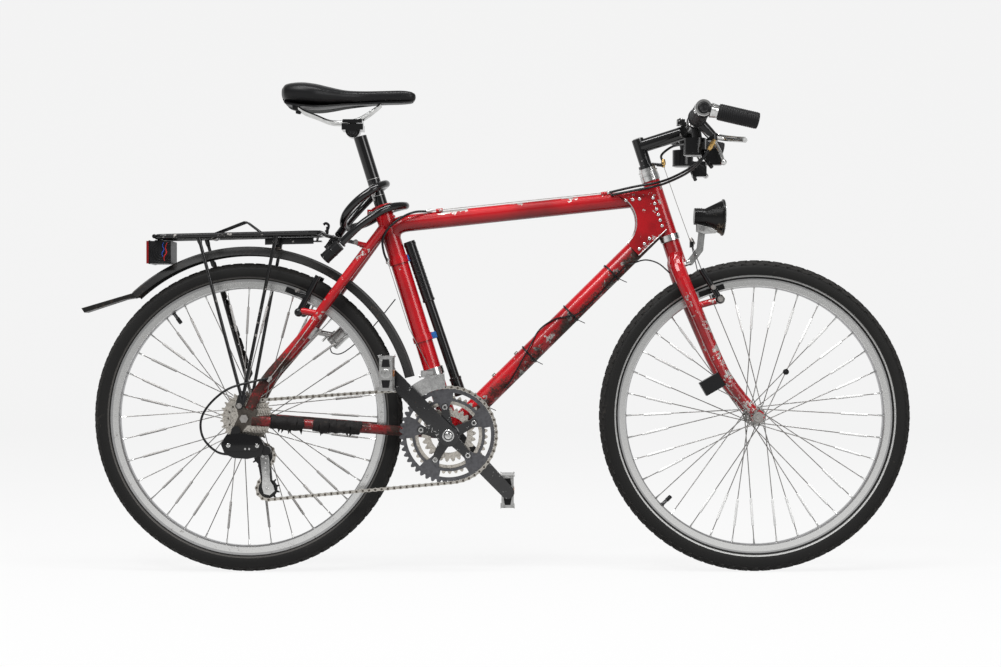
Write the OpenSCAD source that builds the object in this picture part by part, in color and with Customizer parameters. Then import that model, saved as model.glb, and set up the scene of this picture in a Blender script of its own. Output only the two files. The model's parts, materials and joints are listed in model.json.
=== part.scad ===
// A weathered touring bicycle: riveted aluminium frame, curved fork, 26 inch wheels,
// triple chainset, V-brakes, rear rack, mudguard, lamps, frame pump and a coiled lock.
// Lengths are millimetres. Inside the modules X runs forward from the rear axle, Z up from
// the floor and Y to the rider's left. placed() moves all of it to the rider's seat.

/* [Wheels] */
// Distance between the axles
wheelbase = 1040; // [980:1:1120]
// Radius of the front tyre over its tread
front_tyre_r = 320; // [316:1:330]
// Radius of the rear tyre over its tread
rear_tyre_r = 317; // [312:1:328]
// Width of the front tyre
front_tyre_w = 40; // [36:1:44]
// Width of the rear tyre
rear_tyre_w = 38; // [34:1:44]
// Radius of the rim at its outer edge
rim_r = 284; // [276:1:288]
// Height of the rim's section
rim_depth = 20; // [14:1:26]
// Width of the rim over its brake tracks
rim_w = 24; // [20:1:28]
// Spokes in each wheel
spoke_count = 36; // [28:4:40]
// Radius of a spoke
spoke_r = 1.0; // [0.8:0.1:1.2]

/* [Frame] */
// How far the bottom bracket lies ahead of the rear axle
bracket_x = 412; // [395:1:440]
// Height of the bottom bracket
bracket_z = 283; // [260:1:300]
// Lean of the steering axis from the vertical, in degrees
head_lean = 18; // [16:0.5:20]
// Lean of the seat tube from the vertical, in degrees
seat_lean = 17.3; // [16:0.1:19]
// How far the seat tube's axis passes ahead of the bottom bracket
seat_foot = 6.6; // [0:0.1:12]
// Length of the seat tube
seat_tube_len = 492; // [440:1:520]
// Length of the head tube
head_tube_len = 117; // [95:1:140]
// Outer radius of the head tube
head_tube_r = 18; // [17:0.5:20]
// Outer radius of the top tube
top_tube_r = 17.5; // [14:0.5:18]
// Outer radius of the down tube
down_tube_r = 20; // [17:0.5:21]
// Outer radius of the seat tube
seat_tube_r = 18.5; // [16:0.5:19]
// Radius of the seat stays
seat_stay_r = 10; // [7:0.5:10.5]
// Radius of the chain stays
chain_stay_r = 10; // [8:0.5:10.5]
// Distance between the rear dropouts
rear_spacing = 135; // [133:1:140]

/* [Fork] */
// Rake of the fork, square to the steering axis
fork_rake = 53; // [40:1:60]
// Length from the axle to the crown race along the steering axis
fork_len = 395; // [385:1:420]
// Distance between the fork's dropouts
front_spacing = 100; // [98:1:104]
// Radius of the steerer
steerer_r = 12.7; // [12.7:0.1:14.3]

/* [Cockpit] */
// Height of the saddle's top over the floor
saddle_z = 988; // [900:1:1040]
// How far the rider's seat lies ahead of the rear axle
saddle_x = 200; // [170:1:230]
// Radius of the seat post
seat_post_r = 13.6; // [12.7:0.1:14.8]
// Reach of the stem from the steerer to the bar
stem_reach = 105; // [80:1:130]
// Height of the stem's joint over the head tube, along the steering axis
stem_rise = 74; // [60:1:110]
// Half the length of the handlebar
bar_half = 300; // [260:1:330]
// Length of the bar ends
bar_end_len = 107; // [80:1:130]

/* [Drive] */
// Teeth of the outer, middle and inner chainrings
outer_teeth = 48; // [42:1:48]
middle_teeth = 38; // [34:1:38]
inner_teeth = 26; // [24:1:28]
// Length of the cranks between their holes
crank_len = 175; // [165:1:180]
// Angle of the right crank from straight ahead, in degrees
crank_angle = 133.5; // [0:1:359]
// Distance between the plane of the chain and the middle of the frame
chain_line = 54; // [51:0.5:55]
// Half the distance between the cranks' outer faces
crank_face = 84; // [78:1:90]

/* [Rack and mudguard] */
// Length of the rack's deck
rack_len = 347; // [300:1:380]
// Width of the rack's deck between its rails
rack_w = 116; // [100:1:140]
// Height of the deck's rear end
rack_z = 686; // [676:1:720]
// Clearance between the tyre and the mudguard's lip
guard_gap = 16; // [12:1:24]
// Width of the mudguard
guard_w = 52; // [46:1:56]

/* [Hidden] */
$fn = 64;

fit = 0.2;             // gap between pieces that are brazed, pressed or clamped together
run = 0.5;             // gap round a turning shaft
rear = [0, 0, rear_tyre_r];
front = [wheelbase, 0, front_tyre_r];
bracket = [bracket_x, 0, bracket_z];
rider = [saddle_x, 0, saddle_z];

// Steering axis: a point at distance s above the axle's foot, and o ahead of the axis
head_up = [-sin(head_lean), 0, cos(head_lean)];
head_fore = [cos(head_lean), 0, sin(head_lean)];
steer_foot = front - fork_rake * head_fore;
function steer(s, o = 0, y = 0) = steer_foot + s * head_up + o * head_fore + [0, y, 0];
cup_h = 13;
cup_r = 20.5;
head_low = fork_len + cup_h;
head_top = head_low + head_tube_len;
nut_top = head_top + 27;

// Seat tube: a point at distance s above its foot, and o ahead of its axis
seat_up = [-sin(seat_lean), 0, cos(seat_lean)];
seat_fore = [cos(seat_lean), 0, sin(seat_lean)];
seat_low = bracket + [seat_foot, 0, 0];
function seat(s, o = 0, y = 0) = seat_low + s * seat_up + o * seat_fore + [0, y, 0];
post_low = 340;
post_top = 640;

top_tube_drop = 34;    // from the head tube's top to the top tube's axis
down_tube_rise = 30;   // from the head tube's foot to the down tube's axis
corner_drop = 43;      // from the seat tube's top to the top tube's axis
corner_r = 42;         // how far along both tubes the bend between them reaches
top_front = steer(head_top - top_tube_drop);
top_rear = seat(seat_tube_len - corner_drop);
top_dir = (top_front - top_rear) / norm(top_front - top_rear);
down_front = steer(head_low + down_tube_rise);
down_dir = (down_front - bracket) / norm(down_front - bracket);

shell_r = 20;
shell_half = 34;
spindle_r = 8.5;
axle_r = 4.8;
drop_y = rear_spacing / 2;
drop_t = 6;
fork_y = front_spacing / 2;
hanger = rear + [-16, 0, -24];
stay_eye = rear + [14, 0, 12];

// Chain stays and seat stays, as points of the right-hand one
chain_stay_path = [[bracket_x - 17, -24, bracket_z + 1], [360, -25.5, 286], [335, -32.5, 288.5],
    [58, -64.5, 309.5], [40, -70.5, 310.5], [14, -71.5, 312]];
chain_stay_squash = [1, 1, 1, 1, 0.45, 0.4];
seat_stay_path = [[10, -71.5, 335], [20, -70, 358], [35, -66, 384], [54, -62, 411],
    [111, -56, 477], [175, -47, 566], [228, -35, 638], [277, -23, 704]];
seat_stay_squash = [0.4, 0.45, 0.75, 1, 1, 1, 1, 1];
guard_in = rear_tyre_r + guard_gap;
guard_t = 2.5;
guard_crown = 17;
bridge_r = 6;
bridge_at = rear + (guard_in + guard_crown + bridge_r + fit) * [cos(54.7), 0, sin(54.7)];
stay_boss = [112, -50, 535];

pitch = 12.7;
function pitch_r(n) = pitch / (2 * sin(180 / n));
cog_teeth = [13, 15, 17, 19, 21, 23, 26];
chain_cog = 2;         // the cog that carries the chain, counted from the smallest
cog_step = 5;
function cog_y(i) = -chain_line + (i - chain_cog) * cog_step;
ring_step = 6.5;
cog_t = 1.8;
tooth_h = 3;
link_h = 8.4;
link_gap = 4;
link_t = 1.3;
roller_r = 3.6;
pulley_teeth = 11;
pulley_r = pitch_r(pulley_teeth);
guide_pulley = rear + [36, 0, -76];
tension_pulley = rear + [45, 0, -143];

crank_dir = [cos(crank_angle), 0, sin(crank_angle)];
crank_t = 13;
pedal_w = 92;
pedal_pin_r = 6;
pedal_gap = 4;
spider_r = 55;
ring_bolts = 5;

stem_up = 17.7;        // angle of the stem's arm over the horizontal
stem_r = 14;
bar_low = steer(head_top + stem_rise);
bar_centre = bar_low + stem_reach * [cos(stem_up), 0, sin(stem_up)];
bar_rise = 14;
bar_r = 11.1;
bar_mid_r = 12.7;
function bar(y) = bar_centre + [0, y, bar_rise * abs(y) / bar_half];
bar_end_dip = 13;

guard_front = 14;      // angle at which the mudguard ends over the bottom bracket
guard_rear = 133;      // angle at which its flap begins
flap_len = 112;

rack_r = 5;
rack_thin_r = 3.5;
rack_y = rack_w / 2;
rack_front_z = rack_z + 8;
rack_rear_x = -190;
function rack(x) = rack_z + (rack_front_z - rack_z) * (x - rack_rear_x) / rack_len;
rack_foot = [-4, 0, rear_tyre_r + 37];
clip_hinge = [-70, 0, rack(-70) - 1];
clip_wire = 2;

pump_low = [436, 0, 362];
pump_top = [329, 0, 678];
pump_dir = (pump_top - pump_low) / norm(pump_top - pump_low);

// Routes of the lock, the control cables and the lamp's wire
lock_path = [[192.7, -48.5, 672.6], [236, -52, 712], [285, -40, 744], [322, 0, 752], [288, 42, 746],
    [236, 46, 718], [198, 10, 708], [200, -30, 730], [226, -41, 760], [262, -36, 786], [282, 0, 797],
    [264, 37, 786], [230, 38, 752], [202, 16, 718], [184.7, -11.4, 691]];
lock_r = 8;
rear_brake_housing = [[938, -164, 868], [922, -160, 842], [900, -120, 822], [868, -72, 806],
    [838, -40, 797], [790, -27, 789], [739, -9.3, 778.3]];
gear_housing = [[934, -170, 860], [915, -164, 832], [892, -116, 811], [858, -66, 796],
    [832, -42, 789], [790, -33, 781], [744, -16.2, 772.9]];
front_brake_housing = [[853, 0, 841], [849, 3, 856], [868, 18, 873], [888, 50, 882],
    [914, 108, 888], [930, 138, 884]];
cable_r = 2.5;
wire_path = [[866, -6, 613], [842, -8, 633], [815, -12, 640], [790, -16, 633], [772, -20.5, 625],
    [722, -18.5, 571], [681, -19, 532], [654, -22.5, 524], [628, -16.5, 518], [598, -4, 497],
    [577, -22, 462], [541, -21.5, 396], [525, -18.5, 377]];
wire_r = 1.5;

// ---- helpers ----

// Moves a piece from the bicycle's own frame to the rider's seat
module placed() {
    translate(-rider) children();
}

// A round bar from p to q
module rod(p, q, r, r2 = undef) {
    v = q - p;
    translate(p)
        rotate([0, acos(v[2] / norm(v)), atan2(v[1], v[0])])
            cylinder(r1 = r, r2 = r2 == undef ? r : r2, h = norm(v));
}

// A cylinder along Y between two places
module across(at, y1, y2, r) {
    translate([at[0], min(y1, y2), at[2]]) rotate([-90, 0, 0]) cylinder(r = r, h = abs(y2 - y1));
}

// A flat plate: a 2D outline in X and Z, between two places along Y
module plate(y1, y2) {
    translate([0, max(y1, y2), 0]) rotate([90, 0, 0]) linear_extrude(abs(y2 - y1)) children();
}

function unit(v) = v / norm(v);
function tangent(p, i) = unit(p[min(i + 1, len(p) - 1)] - p[max(i - 1, 0)]);

// A tube swept along points with flat ends. The radius, and how far the tube is squashed along
// ref, are one number or one for each point.
module sweep(p, r, sides = 12, ref = [0, 1, 0], squash = 1) {
    n = len(p);
    function at(v, i) = is_list(v) ? v[i] : v;
    rings = [for (i = [0 : n - 1])
        let (t = tangent(p, i), u = unit(cross(ref, t)), w = cross(t, u), k = at(r, i), m = at(squash, i))
        for (j = [0 : sides - 1]) let (a = 360 * j / sides) p[i] + k * (cos(a) * u + m * sin(a) * w)];
    walls = [for (i = [0 : n - 2], j = [0 : sides - 1])
        let (a = i * sides + j, b = i * sides + (j + 1) % sides)
        [a, a + sides, b + sides, b]];
    polyhedron(rings, concat([[for (j = [0 : sides - 1]) j]], walls,
        [[for (j = [sides - 1 : -1 : 0]) (n - 1) * sides + j]]));
}

// Points on a smooth curve through the given ones, k to a span
function spline(p, k) = [for (i = [0 : len(p) - 2], j = [0 : k - 1])
    let (a = p[max(i - 1, 0)], b = p[i], c = p[i + 1], d = p[min(i + 2, len(p) - 1)], t = j / k)
    0.5 * (2 * b + t * (c - a) + t * t * (2 * a - 5 * b + 4 * c - d)
        + t * t * t * (3 * b - a - 3 * c + d)), if (true) p[len(p) - 1]];

// A 2D bar in X and Z with round ends, tapering from r1 at p to r2 at q
module bar2d(p, q, r1, r2) {
    a = [p[0], p[2]];
    b = [q[0], q[2]];
    d = norm(b - a);
    u = (b - a) / d;
    n = [-u[1], u[0]];
    k = (r1 - r2) / d;
    c = sqrt(1 - k * k);
    translate(a) circle(r1);
    translate(b) circle(r2);
    polygon([a + r1 * (k * u + c * n), b + r2 * (k * u + c * n),
        b + r2 * (k * u - c * n), a + r1 * (k * u - c * n)]);
}

// A toothed disc's outline: n teeth on a pitch circle
module sprocket2d(n) {
    r = pitch_r(n);
    w = 360 / n;
    circle(r - tooth_h);
    for (i = [0 : n - 1]) rotate((i + 0.5) * w)
        polygon([[r - tooth_h - 2, -1.9 - 2 * r / 60], [r + tooth_h - 0.5, -1.1],
            [r + tooth_h - 0.5, 1.1], [r - tooth_h - 2, 1.9 + 2 * r / 60]]);
}

module mirrored() {
    children();
    mirror([0, 1, 0]) children();
}

// The points of a path with its inner corners rounded over a length d on each side
function rounded(p, d, k = 4) = [p[0], for (i = [1 : 1 : len(p) - 2])
    let (a = p[i] + d * unit(p[i - 1] - p[i]), c = p[i] + d * unit(p[i + 1] - p[i]))
    for (j = [0 : k]) let (t = j / k) (1 - t) * (1 - t) * a + 2 * t * (1 - t) * p[i] + t * t * c,
    p[len(p) - 1]];

// A bent bar through the points of a path
module bent(p, r, d, sides = 10, ref = [0.1, 0.2, 1]) {
    sweep(rounded(p, d), r, sides, ref);
}

module block(c, size) {
    translate(c - size / 2) cube(size);
}

// ---- frame ----

module head_axis(s1, s2, r) {
    rod(steer(s1), steer(s2), r);
}

module seat_axis(s1, s2, r) {
    rod(seat(s1), seat(s2), r);
}

module head_tube() {
    color("firebrick") placed() difference() {
        head_axis(head_low, head_top, head_tube_r);
        head_axis(head_low - 1, head_top + 1, steerer_r + 2.5);
    }
}

// The top tube and the bend by which it runs into the seat tube
module top_tube() {
    bend = rounded([seat(seat_tube_len - corner_drop - 60), top_rear, top_front], corner_r, 8);
    color("firebrick") placed() difference() {
        sweep(bend, top_tube_r, 32);
        seat_axis(-10, seat_tube_len + 10, seat_tube_r + fit);
        head_axis(head_low, head_top, head_tube_r + fit);
    }
    color("firebrick") placed() for (at = [[731, -8, 776], [392, -8, 741.5]])
        cable_stop(at);
}

// A cable stop on the top tube
module cable_stop(at) {
    difference() {
        rod(at - 7 * top_dir, at + 7 * top_dir, 4.5);
        rod(top_rear, top_front, top_tube_r + fit);
    }
}

module down_tube() {
    color("firebrick") placed() difference() {
        rod(bracket, down_front, down_tube_r);
        across(bracket, -40, 40, shell_r + fit);
        seat_axis(-20, 200, seat_tube_r + fit);
        head_axis(head_low, head_top, head_tube_r + fit);
        head_axis(fork_len - 5, head_low, cup_r + fit);
        for (d = [150, 214]) bottle_hole(d);
    }
}

bottle_r = 2.5;
down_normal = [-down_dir[2], 0, down_dir[0]];
module bottle_hole(d) {
    p = bracket + d * down_dir;
    rod(p + (down_tube_r - 8) * down_normal, p + (down_tube_r + 2) * down_normal, bottle_r);
}

module seat_tube() {
    color("firebrick") placed() difference() {
        seat_axis(0, seat_tube_len, seat_tube_r);
        across(bracket, -40, 40, shell_r + fit);
        seat_axis(post_low - 20, seat_tube_len + 1, seat_post_r + fit);
    }
}

module bracket_shell() {
    color("firebrick") placed() difference() {
        union() {
            across(bracket, -shell_half, shell_half, shell_r);
            across(bracket, -shell_half - 3, shell_half + 3, shell_r - 2);
        }
        across(bracket, -40, 40, spindle_r + run);
    }
}

// The right chain stay, grown by g
module chain_stay(g = 0) {
    sweep(chain_stay_path, chain_stay_r + g, 24, [0, 1, 0], chain_stay_squash);
}

module chain_stays() {
    color("firebrick") placed() mirrored() difference() {
        chain_stay();
        across(bracket, -40, 40, shell_r + fit);
        plate(-drop_y + fit, -drop_y - drop_t) dropout_outline(fit);
    }
}

// The dropout's outline, grown by g
module dropout_outline(g = 0) {
    bar2d(rear, hanger, 13 + g, 9 + g);
    bar2d(rear, stay_eye, 13 + g, 10 + g);
    bar2d(rear, rear + [26, 0, -6], 13 + g, 9 + g);
    bar2d(rear, rear + [-10, 0, 26], 11 + g, 7 + g);
}

// The right seat stay, grown by g
module seat_stay(g = 0, sides = 16) {
    k = 2;
    last = len(seat_stay_path) - 1;
    flats = [for (i = [0 : k * last]) let (j = min(floor(i / k), last - 1))
        seat_stay_squash[j] + (seat_stay_squash[j + 1] - seat_stay_squash[j]) * (i / k - j)];
    sweep(spline(seat_stay_path, k), seat_stay_r + g, sides, [0, 1, 0], flats);
}

stay_stub = [[150, -51, 528], stay_boss];
module seat_stays() {
    color("firebrick") placed() mirrored() difference() {
        union() {
            seat_stay();
            rod(stay_stub[0], stay_stub[1], 7);
            rod([250, -30, 668], [226, -33, 673], 5);
        }
        seat_axis(300, seat_tube_len + 5, seat_tube_r + fit);
        rod(top_rear, top_front, top_tube_r + fit);
        plate(-drop_y + fit, -drop_y - drop_t) dropout_outline(fit);
    }
    color("firebrick") placed() difference() {
        across(bridge_at, -42, 42, bridge_r);
        mirrored() seat_stay(fit);
    }
}

module rear_dropouts() {
    color("dimgray") placed() mirrored() difference() {
        plate(-drop_y, -drop_y - drop_t) dropout_outline();
        across(rear, -drop_y - 10, -drop_y + 5, axle_r + 0.1);
        across(hanger, -drop_y - 10, -drop_y + 5, 5);
        across(rack_bolt, -drop_y - 10, -drop_y + 5, 2.6);
    }
}
rack_bolt = rear + [-10, 0, 26];

// Two riveted plates that clasp the joint of the three main tubes
gusset_y = 23;
rivet_r = 3.2;
module head_gussets() {
    tail = 76;
    lower = 88;
    gap = 9;
    p1 = top_front - tail * top_dir + [0, 0, 8];
    p2 = steer(head_top - 14, -2);
    p3 = steer(head_low + 12, -2);
    p4 = down_front - lower * down_dir - 13 * down_normal;
    p5 = down_front - lower * down_dir + 13 * down_normal;
    p6 = top_front - tail * top_dir - [0, 0, 9];
    bite = (p5 + p6) / 2 + [-34, 0, 6];
    color("firebrick") placed() difference() {
        plate(-gusset_y, gusset_y) difference() {
            polygon([for (p = [p1, p2, p3, p4, p5, p6]) [p[0], p[2]]]);
            translate([bite[0], bite[2]]) circle(58);
        }
        plate(-gap, gap) translate([700, 600]) square([260, 260]);
        rod(top_rear, top_front + 30 * top_dir, top_tube_r + fit);
        rod(bracket, down_front + 20 * down_dir, down_tube_r + fit);
        head_axis(head_low - 20, head_top + 20, head_tube_r + fit);
    }
    color("silver") placed() mirrored() {
        for (i = [0 : 2]) rivet(top_front + (i * 14 - tail + 12) * top_dir - [0, 0, 2]);
        for (i = [0 : 2]) rivet(down_front + (i * 15 - lower + 10) * down_dir - 4 * down_normal);
        for (i = [0 : 5]) rivet(steer(head_low + 22 + i * 12, -9));
    }
}

module rivet(p) {
    translate([p[0], -gusset_y + 0.5, p[2]]) rotate([90, 0, 0]) cylinder(r = rivet_r, h = 2);
}

module headset_cups() {
    color("silver") placed() difference() {
        union() {
            head_axis(fork_len + run, head_low - fit, cup_r);
            head_axis(head_low - 2, head_low + 14, steerer_r + 2.3);
            head_axis(head_top - 14, head_top + 1, steerer_r + 2.3);
            head_axis(head_top + fit, head_top + 11, cup_r - 1);
        }
        head_axis(fork_len - 2, head_top + 14, steerer_r + run);
    }
}

module seat_collar() {
    high = seat_tube_len - 1;
    ear = seat(high - 8, -seat_tube_r - 8);
    color("firebrick") placed() difference() {
        union() {
            seat_axis(high - 17, high, seat_tube_r + 3.5);
            block(ear, [12, 18, 15]);
        }
        seat_axis(high - 20, high + 3, seat_tube_r + fit);
        block(ear, [30, 2.5, 24]);
        across(ear, -20, 20, 2.7);
    }
    color("silver") placed() {
        across(ear, -13, 13, 2.5);
        across(ear, -14, -9.2, 4.5);
        across(ear, 9.2, 14, 4.5);
    }
}

module seat_post() {
    clamp = seat(post_top) + [-14, 0, 12];
    color("dimgray") placed() {
        seat_axis(post_low, post_top, seat_post_r);
        difference() {
            union() {
                across(clamp, -17, 17, 15);
                block(clamp + [0, 0, 6], [44, 54, 12]);
                block(clamp + [0, 0, 18], [40, 54, 7]);
            }
            mirrored() sweep(spline(rail_path, 4), rail_r + fit, 8);
            across(clamp + [0, 0, -3], -40, 40, 4);
        }
        across(clamp + [0, 0, -3], -19, 19, 3.8);
    }
}

rail_r = 3.5;
rail_path = [[104, -34, 951], [116, -31, 943], [140, -24, 934], [168, -22, 923], [196, -22, 922],
    [224, -21, 927], [244, -17, 938], [262, -11, 951], [271, -9, 959]];
module saddle_rails() {
    color("silver") placed() mirrored() sweep(spline(rail_path, 4), rail_r, 8);
}

// The saddle, as cross-sections from its tail to its nose: x, half width, top, underside
saddle_sections = [[72, 44, 992, 968], [82, 64, 1000, 958], [110, 75, 1003, 953],
    [140, 74, 1000, 951], [168, 61, 994, 953], [200, 43, 988, 957], [235, 29, 987, 960],
    [275, 22, 988, 963], [312, 19, 989, 964], [334, 14, 986, 966], [342, 7, 978, 970]];
module saddle() {
    sides = 20;
    n = len(saddle_sections);
    lift = saddle_z - 988;
    function spread(a) = sign(cos(a)) * pow(abs(cos(a)), 0.7);
    function rise(a) = sign(sin(a)) * pow(abs(sin(a)), 0.7);
    rings = [for (q = saddle_sections) for (j = [0 : sides - 1]) let (a = 360 * j / sides)
        [q[0] + saddle_x - 200, q[1] * spread(a), lift + (q[2] + q[3]) / 2
            + (q[2] - q[3]) / 2 * rise(a)]];
    walls = [for (i = [0 : n - 2], j = [0 : sides - 1])
        let (a = i * sides + j, b = i * sides + (j + 1) % sides) [a, a + sides, b + sides, b]];
    color("black") placed() polyhedron(rings, concat(
        [[for (j = [0 : sides - 1]) j]], walls,
        [[for (j = [sides - 1 : -1 : 0]) (n - 1) * sides + j]]));
}

// ---- rear end ----

module hex_nut(at, y1, y2, r) {
    translate([at[0], min(y1, y2), at[2]]) rotate([-90, 0, 0]) cylinder(r = r, h = abs(y2 - y1), $fn = 6);
}

module rear_axle() {
    color("silver") placed() {
        across(rear, -drop_y - 16, drop_y + 16, axle_r);
        for (s = [-1, 1]) {
            hex_nut(rear, s * (drop_y + drop_t + fit + 3.2), s * (drop_y + drop_t + 12), 9);
            across(rear, s * (drop_y - 1.5), s * (drop_y - fit), 9);
        }
    }
}

module brake_arm(low, high, pad, w) {
    rod([low[0], low[1], low[2]], high, w);
    translate(low) sphere(w + 3);
    rod([pad[0], low[1] + (pad[1] < low[1] ? -4 : 4), pad[2]], pad, 3.5);
    rod(low + (high - low) * 0.45, [pad[0], low[1], pad[2]], 5);
}

module brake_pad(pad, tilt, gap) {
    translate([pad[0], -rim_w / 2 - gap, pad[2]]) rotate([0, tilt, 0])
        translate([-27, -9, -5.5]) cube([54, 9, 11]);
}

rear_pad = [103, -24, 570];
rear_arm_top = [146, -44, 606];
module rear_brake() {
    color("black") placed() mirrored() {
        difference() {
            brake_arm(stay_boss - [5, 0, 3], rear_arm_top, rear_pad, 6);
            seat_stay(fit);
            rod(stay_stub[0], stay_stub[1], 7 + fit);
        }
        brake_pad(rear_pad, 22, 3);
    }
}

module rear_derailleur() {
    y = -chain_line;
    knuckle = hanger + [0, 0, -12];
    color("black") placed() {
        across(hanger, -drop_y - drop_t - 12, -drop_y - drop_t - fit, 9);
        across(hanger, -drop_y - 6.2, -drop_y - 1, 4.6);
        plate(-drop_y - drop_t - 14, -drop_y - drop_t - 4) {
            bar2d(hanger, hanger + [-6, 0, -32], 9, 9);
            bar2d(hanger + [-6, 0, -32], hanger + [62, 0, -40], 9, 9);
        }
        across(hanger + [58, 0, -42], -drop_y - drop_t - 13, y - 7, 8);
        plate(y - 5.5, y - 7.5) bar2d(guide_pulley, tension_pulley, 13, 10);
        plate(y + 5.5, y + 7.5) bar2d(guide_pulley, tension_pulley, 13, 10);
        for (p = [guide_pulley, tension_pulley]) {
            across(p, y - 8, y + 8, 4);
            plate(y - 1.7, y + 1.7) translate([p[0], p[2]]) sprocket2d(pulley_teeth);
        }
    }
}

module front_derailleur() {
    band = 133;
    cage_r = 103;
    color("silver") placed() {
        difference() {
            union() {
                seat_axis(band - 8, band + 8, seat_tube_r + 4);
                block(seat(band, -12, -22), [26, 22, 14]);
                block(seat(band, -10, -38), [22, 26, 12]);
            }
            seat_axis(band - 20, band + 20, seat_tube_r + fit);
        }
        for (y = [-chain_line - 8.5, -chain_line + 6.5])
            translate([bracket_x, y, bracket_z]) rotate([90, 0, 0]) rotate([0, 0, 94])
                rotate_extrude(angle = 40) translate([cage_r - 8, -2]) square([30, 2]);
        across(bracket + 126 * polar(110), -chain_line - 10, -chain_line + 16, 5);
    }
}

// ---- chain ----

function polar(a) = [cos(a), 0, sin(a)];
function heading(p, q) = atan2(q[2] - p[2], q[0] - p[0]);

// Where a straight run leaves circle (p, r1) for circle (q, r2). The side is 1 where the run
// passes to the left of the first centre, and the second radius is negative on a crossed run.
function run_angle(p, r1, q, r2, side) =
    heading(p, q) + side * acos((r1 - r2) / norm(q - p));

ring_pr = pitch_r(outer_teeth);
cog_pr = pitch_r(cog_teeth[chain_cog]);
a_top = run_angle(rear, cog_pr, bracket, ring_pr, 1);
a_low = run_angle(tension_pulley, pulley_r, bracket, ring_pr, -1);
a_mid = run_angle(tension_pulley, pulley_r, guide_pulley, -pulley_r, 1);
a_guide = run_angle(guide_pulley, pulley_r, rear, -cog_pr, -1);
runs = [[rear + cog_pr * polar(a_top), bracket + ring_pr * polar(a_top)],
    [tension_pulley + pulley_r * polar(a_low), bracket + ring_pr * polar(a_low)],
    [tension_pulley + pulley_r * polar(a_mid), guide_pulley - pulley_r * polar(a_mid)],
    [guide_pulley + pulley_r * polar(a_guide), rear - cog_pr * polar(a_guide)]];

// The loop's edge at a distance g outside the rollers' path, each arc in small steps
arc_steps = 20;
function arc_at(c, r, a, b) = [for (i = [0 : arc_steps]) let (t = a + (b - a) * i / arc_steps)
    [c[0] + r * cos(t), c[2] + r * sin(t)]];
function down_to(a, b) = b > a ? b - 360 : b;
function up_to(a, b) = b < a ? b + 360 : b;
function chain_edge(g) = concat(
    arc_at(bracket, ring_pr + g, a_top, down_to(a_top, a_low)),
    arc_at(tension_pulley, pulley_r + g, a_low, down_to(a_low, a_mid)),
    arc_at(guide_pulley, pulley_r - g, a_mid - 180, up_to(a_mid - 180, a_guide)),
    arc_at(rear, cog_pr + g, a_guide + 180, down_to(a_guide + 180, a_top)));

module chain_band(y) {
    plate(y - link_t / 2, y + link_t / 2) difference() {
        polygon(chain_edge(link_h / 2));
        polygon(chain_edge(-link_h / 2));
    }
}

module chain() {
    reach = (link_gap + link_t) / 2;
    color("gray") placed() {
        for (s = [-1, 1]) chain_band(-chain_line + s * reach);
        for (r = [runs[0], runs[1]]) {
            u = unit(r[1] - r[0]);
            length = norm(r[1] - r[0]);
            for (d = [28 : pitch : length - 42])
                across(r[0] + d * u, -chain_line - reach, -chain_line + reach, roller_r);
        }
    }
}

module stay_wrap() {
    b = chain_stay_path[3];
    u = unit(chain_stay_path[2] - b);
    color("black") placed() for (span = [[4, 50], [93, 172]]) difference() {
        rod(b + span[0] * u, b + span[1] * u, chain_stay_r + 4);
        rod(b + (span[0] - 1) * u, b + (span[1] + 1) * u, chain_stay_r + 0.1);
    }
}

// ---- mudguard, rack and lamps ----

module mudguard() {
    half = guard_w / 2;
    end = rear + (guard_in + guard_crown / 2) * polar(guard_rear);
    tip = end + flap_len * polar(guard_rear + 62);
    hang = [60, 0, rack_plate[2] - rack_plate_t / 2 - fit];
    guard_top = rear[2] + sqrt(pow(guard_in + guard_crown - 1, 2) - pow(hang[0], 2));
    color("black") placed() difference() {
        union() {
            translate(rear) rotate([90, 0, 0]) rotate([0, 0, guard_front])
                rotate_extrude(angle = guard_rear - guard_front) translate([guard_in, 0])
                    polygon([[0, half], [guard_crown - 3, half - 5], [guard_crown, half - 14],
                        [guard_crown, 14 - half], [guard_crown - 3, 5 - half], [0, -half],
                        [0, guard_t - half], [guard_crown - 5, 8 - half],
                        [guard_crown - guard_t, 15 - half], [guard_crown - guard_t, half - 15],
                        [guard_crown - 5, half - 8], [0, half - guard_t]]);
            plate(-half + 4, half - 4) polygon([[end[0], end[2] + 6], [tip[0], tip[2] + 3],
                [tip[0] + 6, tip[2] - 6], [end[0] - 20, end[2] - 8], [end[0] + 5, end[2] - 4]]);
            rod([hang[0], 0, guard_top], hang, 7);
        }
        across(bridge_at, -42, 42, bridge_r + fit);
    }
}

// The strap with holes under the deck, where the mudguard hangs
rack_plate = [92, 0, rack(92) - 14];
rack_plate_t = 3;
module rack_deck() {
    y = rack_y;
    back = rack_rear_x;
    nose = back + rack_len;
    r = rack_r;
    color("black") placed() {
        mirrored() {
            bent([[nose - r, 0, rack(nose)], [nose - r, -y, rack(nose)], [back + r, -y, rack(back)],
                [back + r, 0, rack(back)]], r, 24, 12);
            rod([back + r, -22, rack(back) - 1], [nose - r, -22, rack(nose) - 1], rack_thin_r);
            rod([nose - r, -30, rack(nose) - 2], [218, -34, 676], 3);
        }
        for (x = [clip_hinge[0], 60])
            rod([x, -y, rack(x) - 1], [x, y, rack(x) - 1], rack_thin_r);
        bent([[nose - r, 0, rack(nose)], [nose + 4, 0, rack(nose)], [nose + 4, 0, rack(nose) + 15]],
            3, 4, 10, [0, 1, 0]);
        difference() {
            block(rack_plate, [116, 22, rack_plate_t]);
            for (i = [0 : 6]) translate([44 + i * 16, 0, 660]) cylinder(r = 3, h = 40);
        }
        for (x = [44, 140]) rod([x, 0, rack(x) - 14], [x, 22, rack(x) - 3], 2.5);
    }
}

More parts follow.
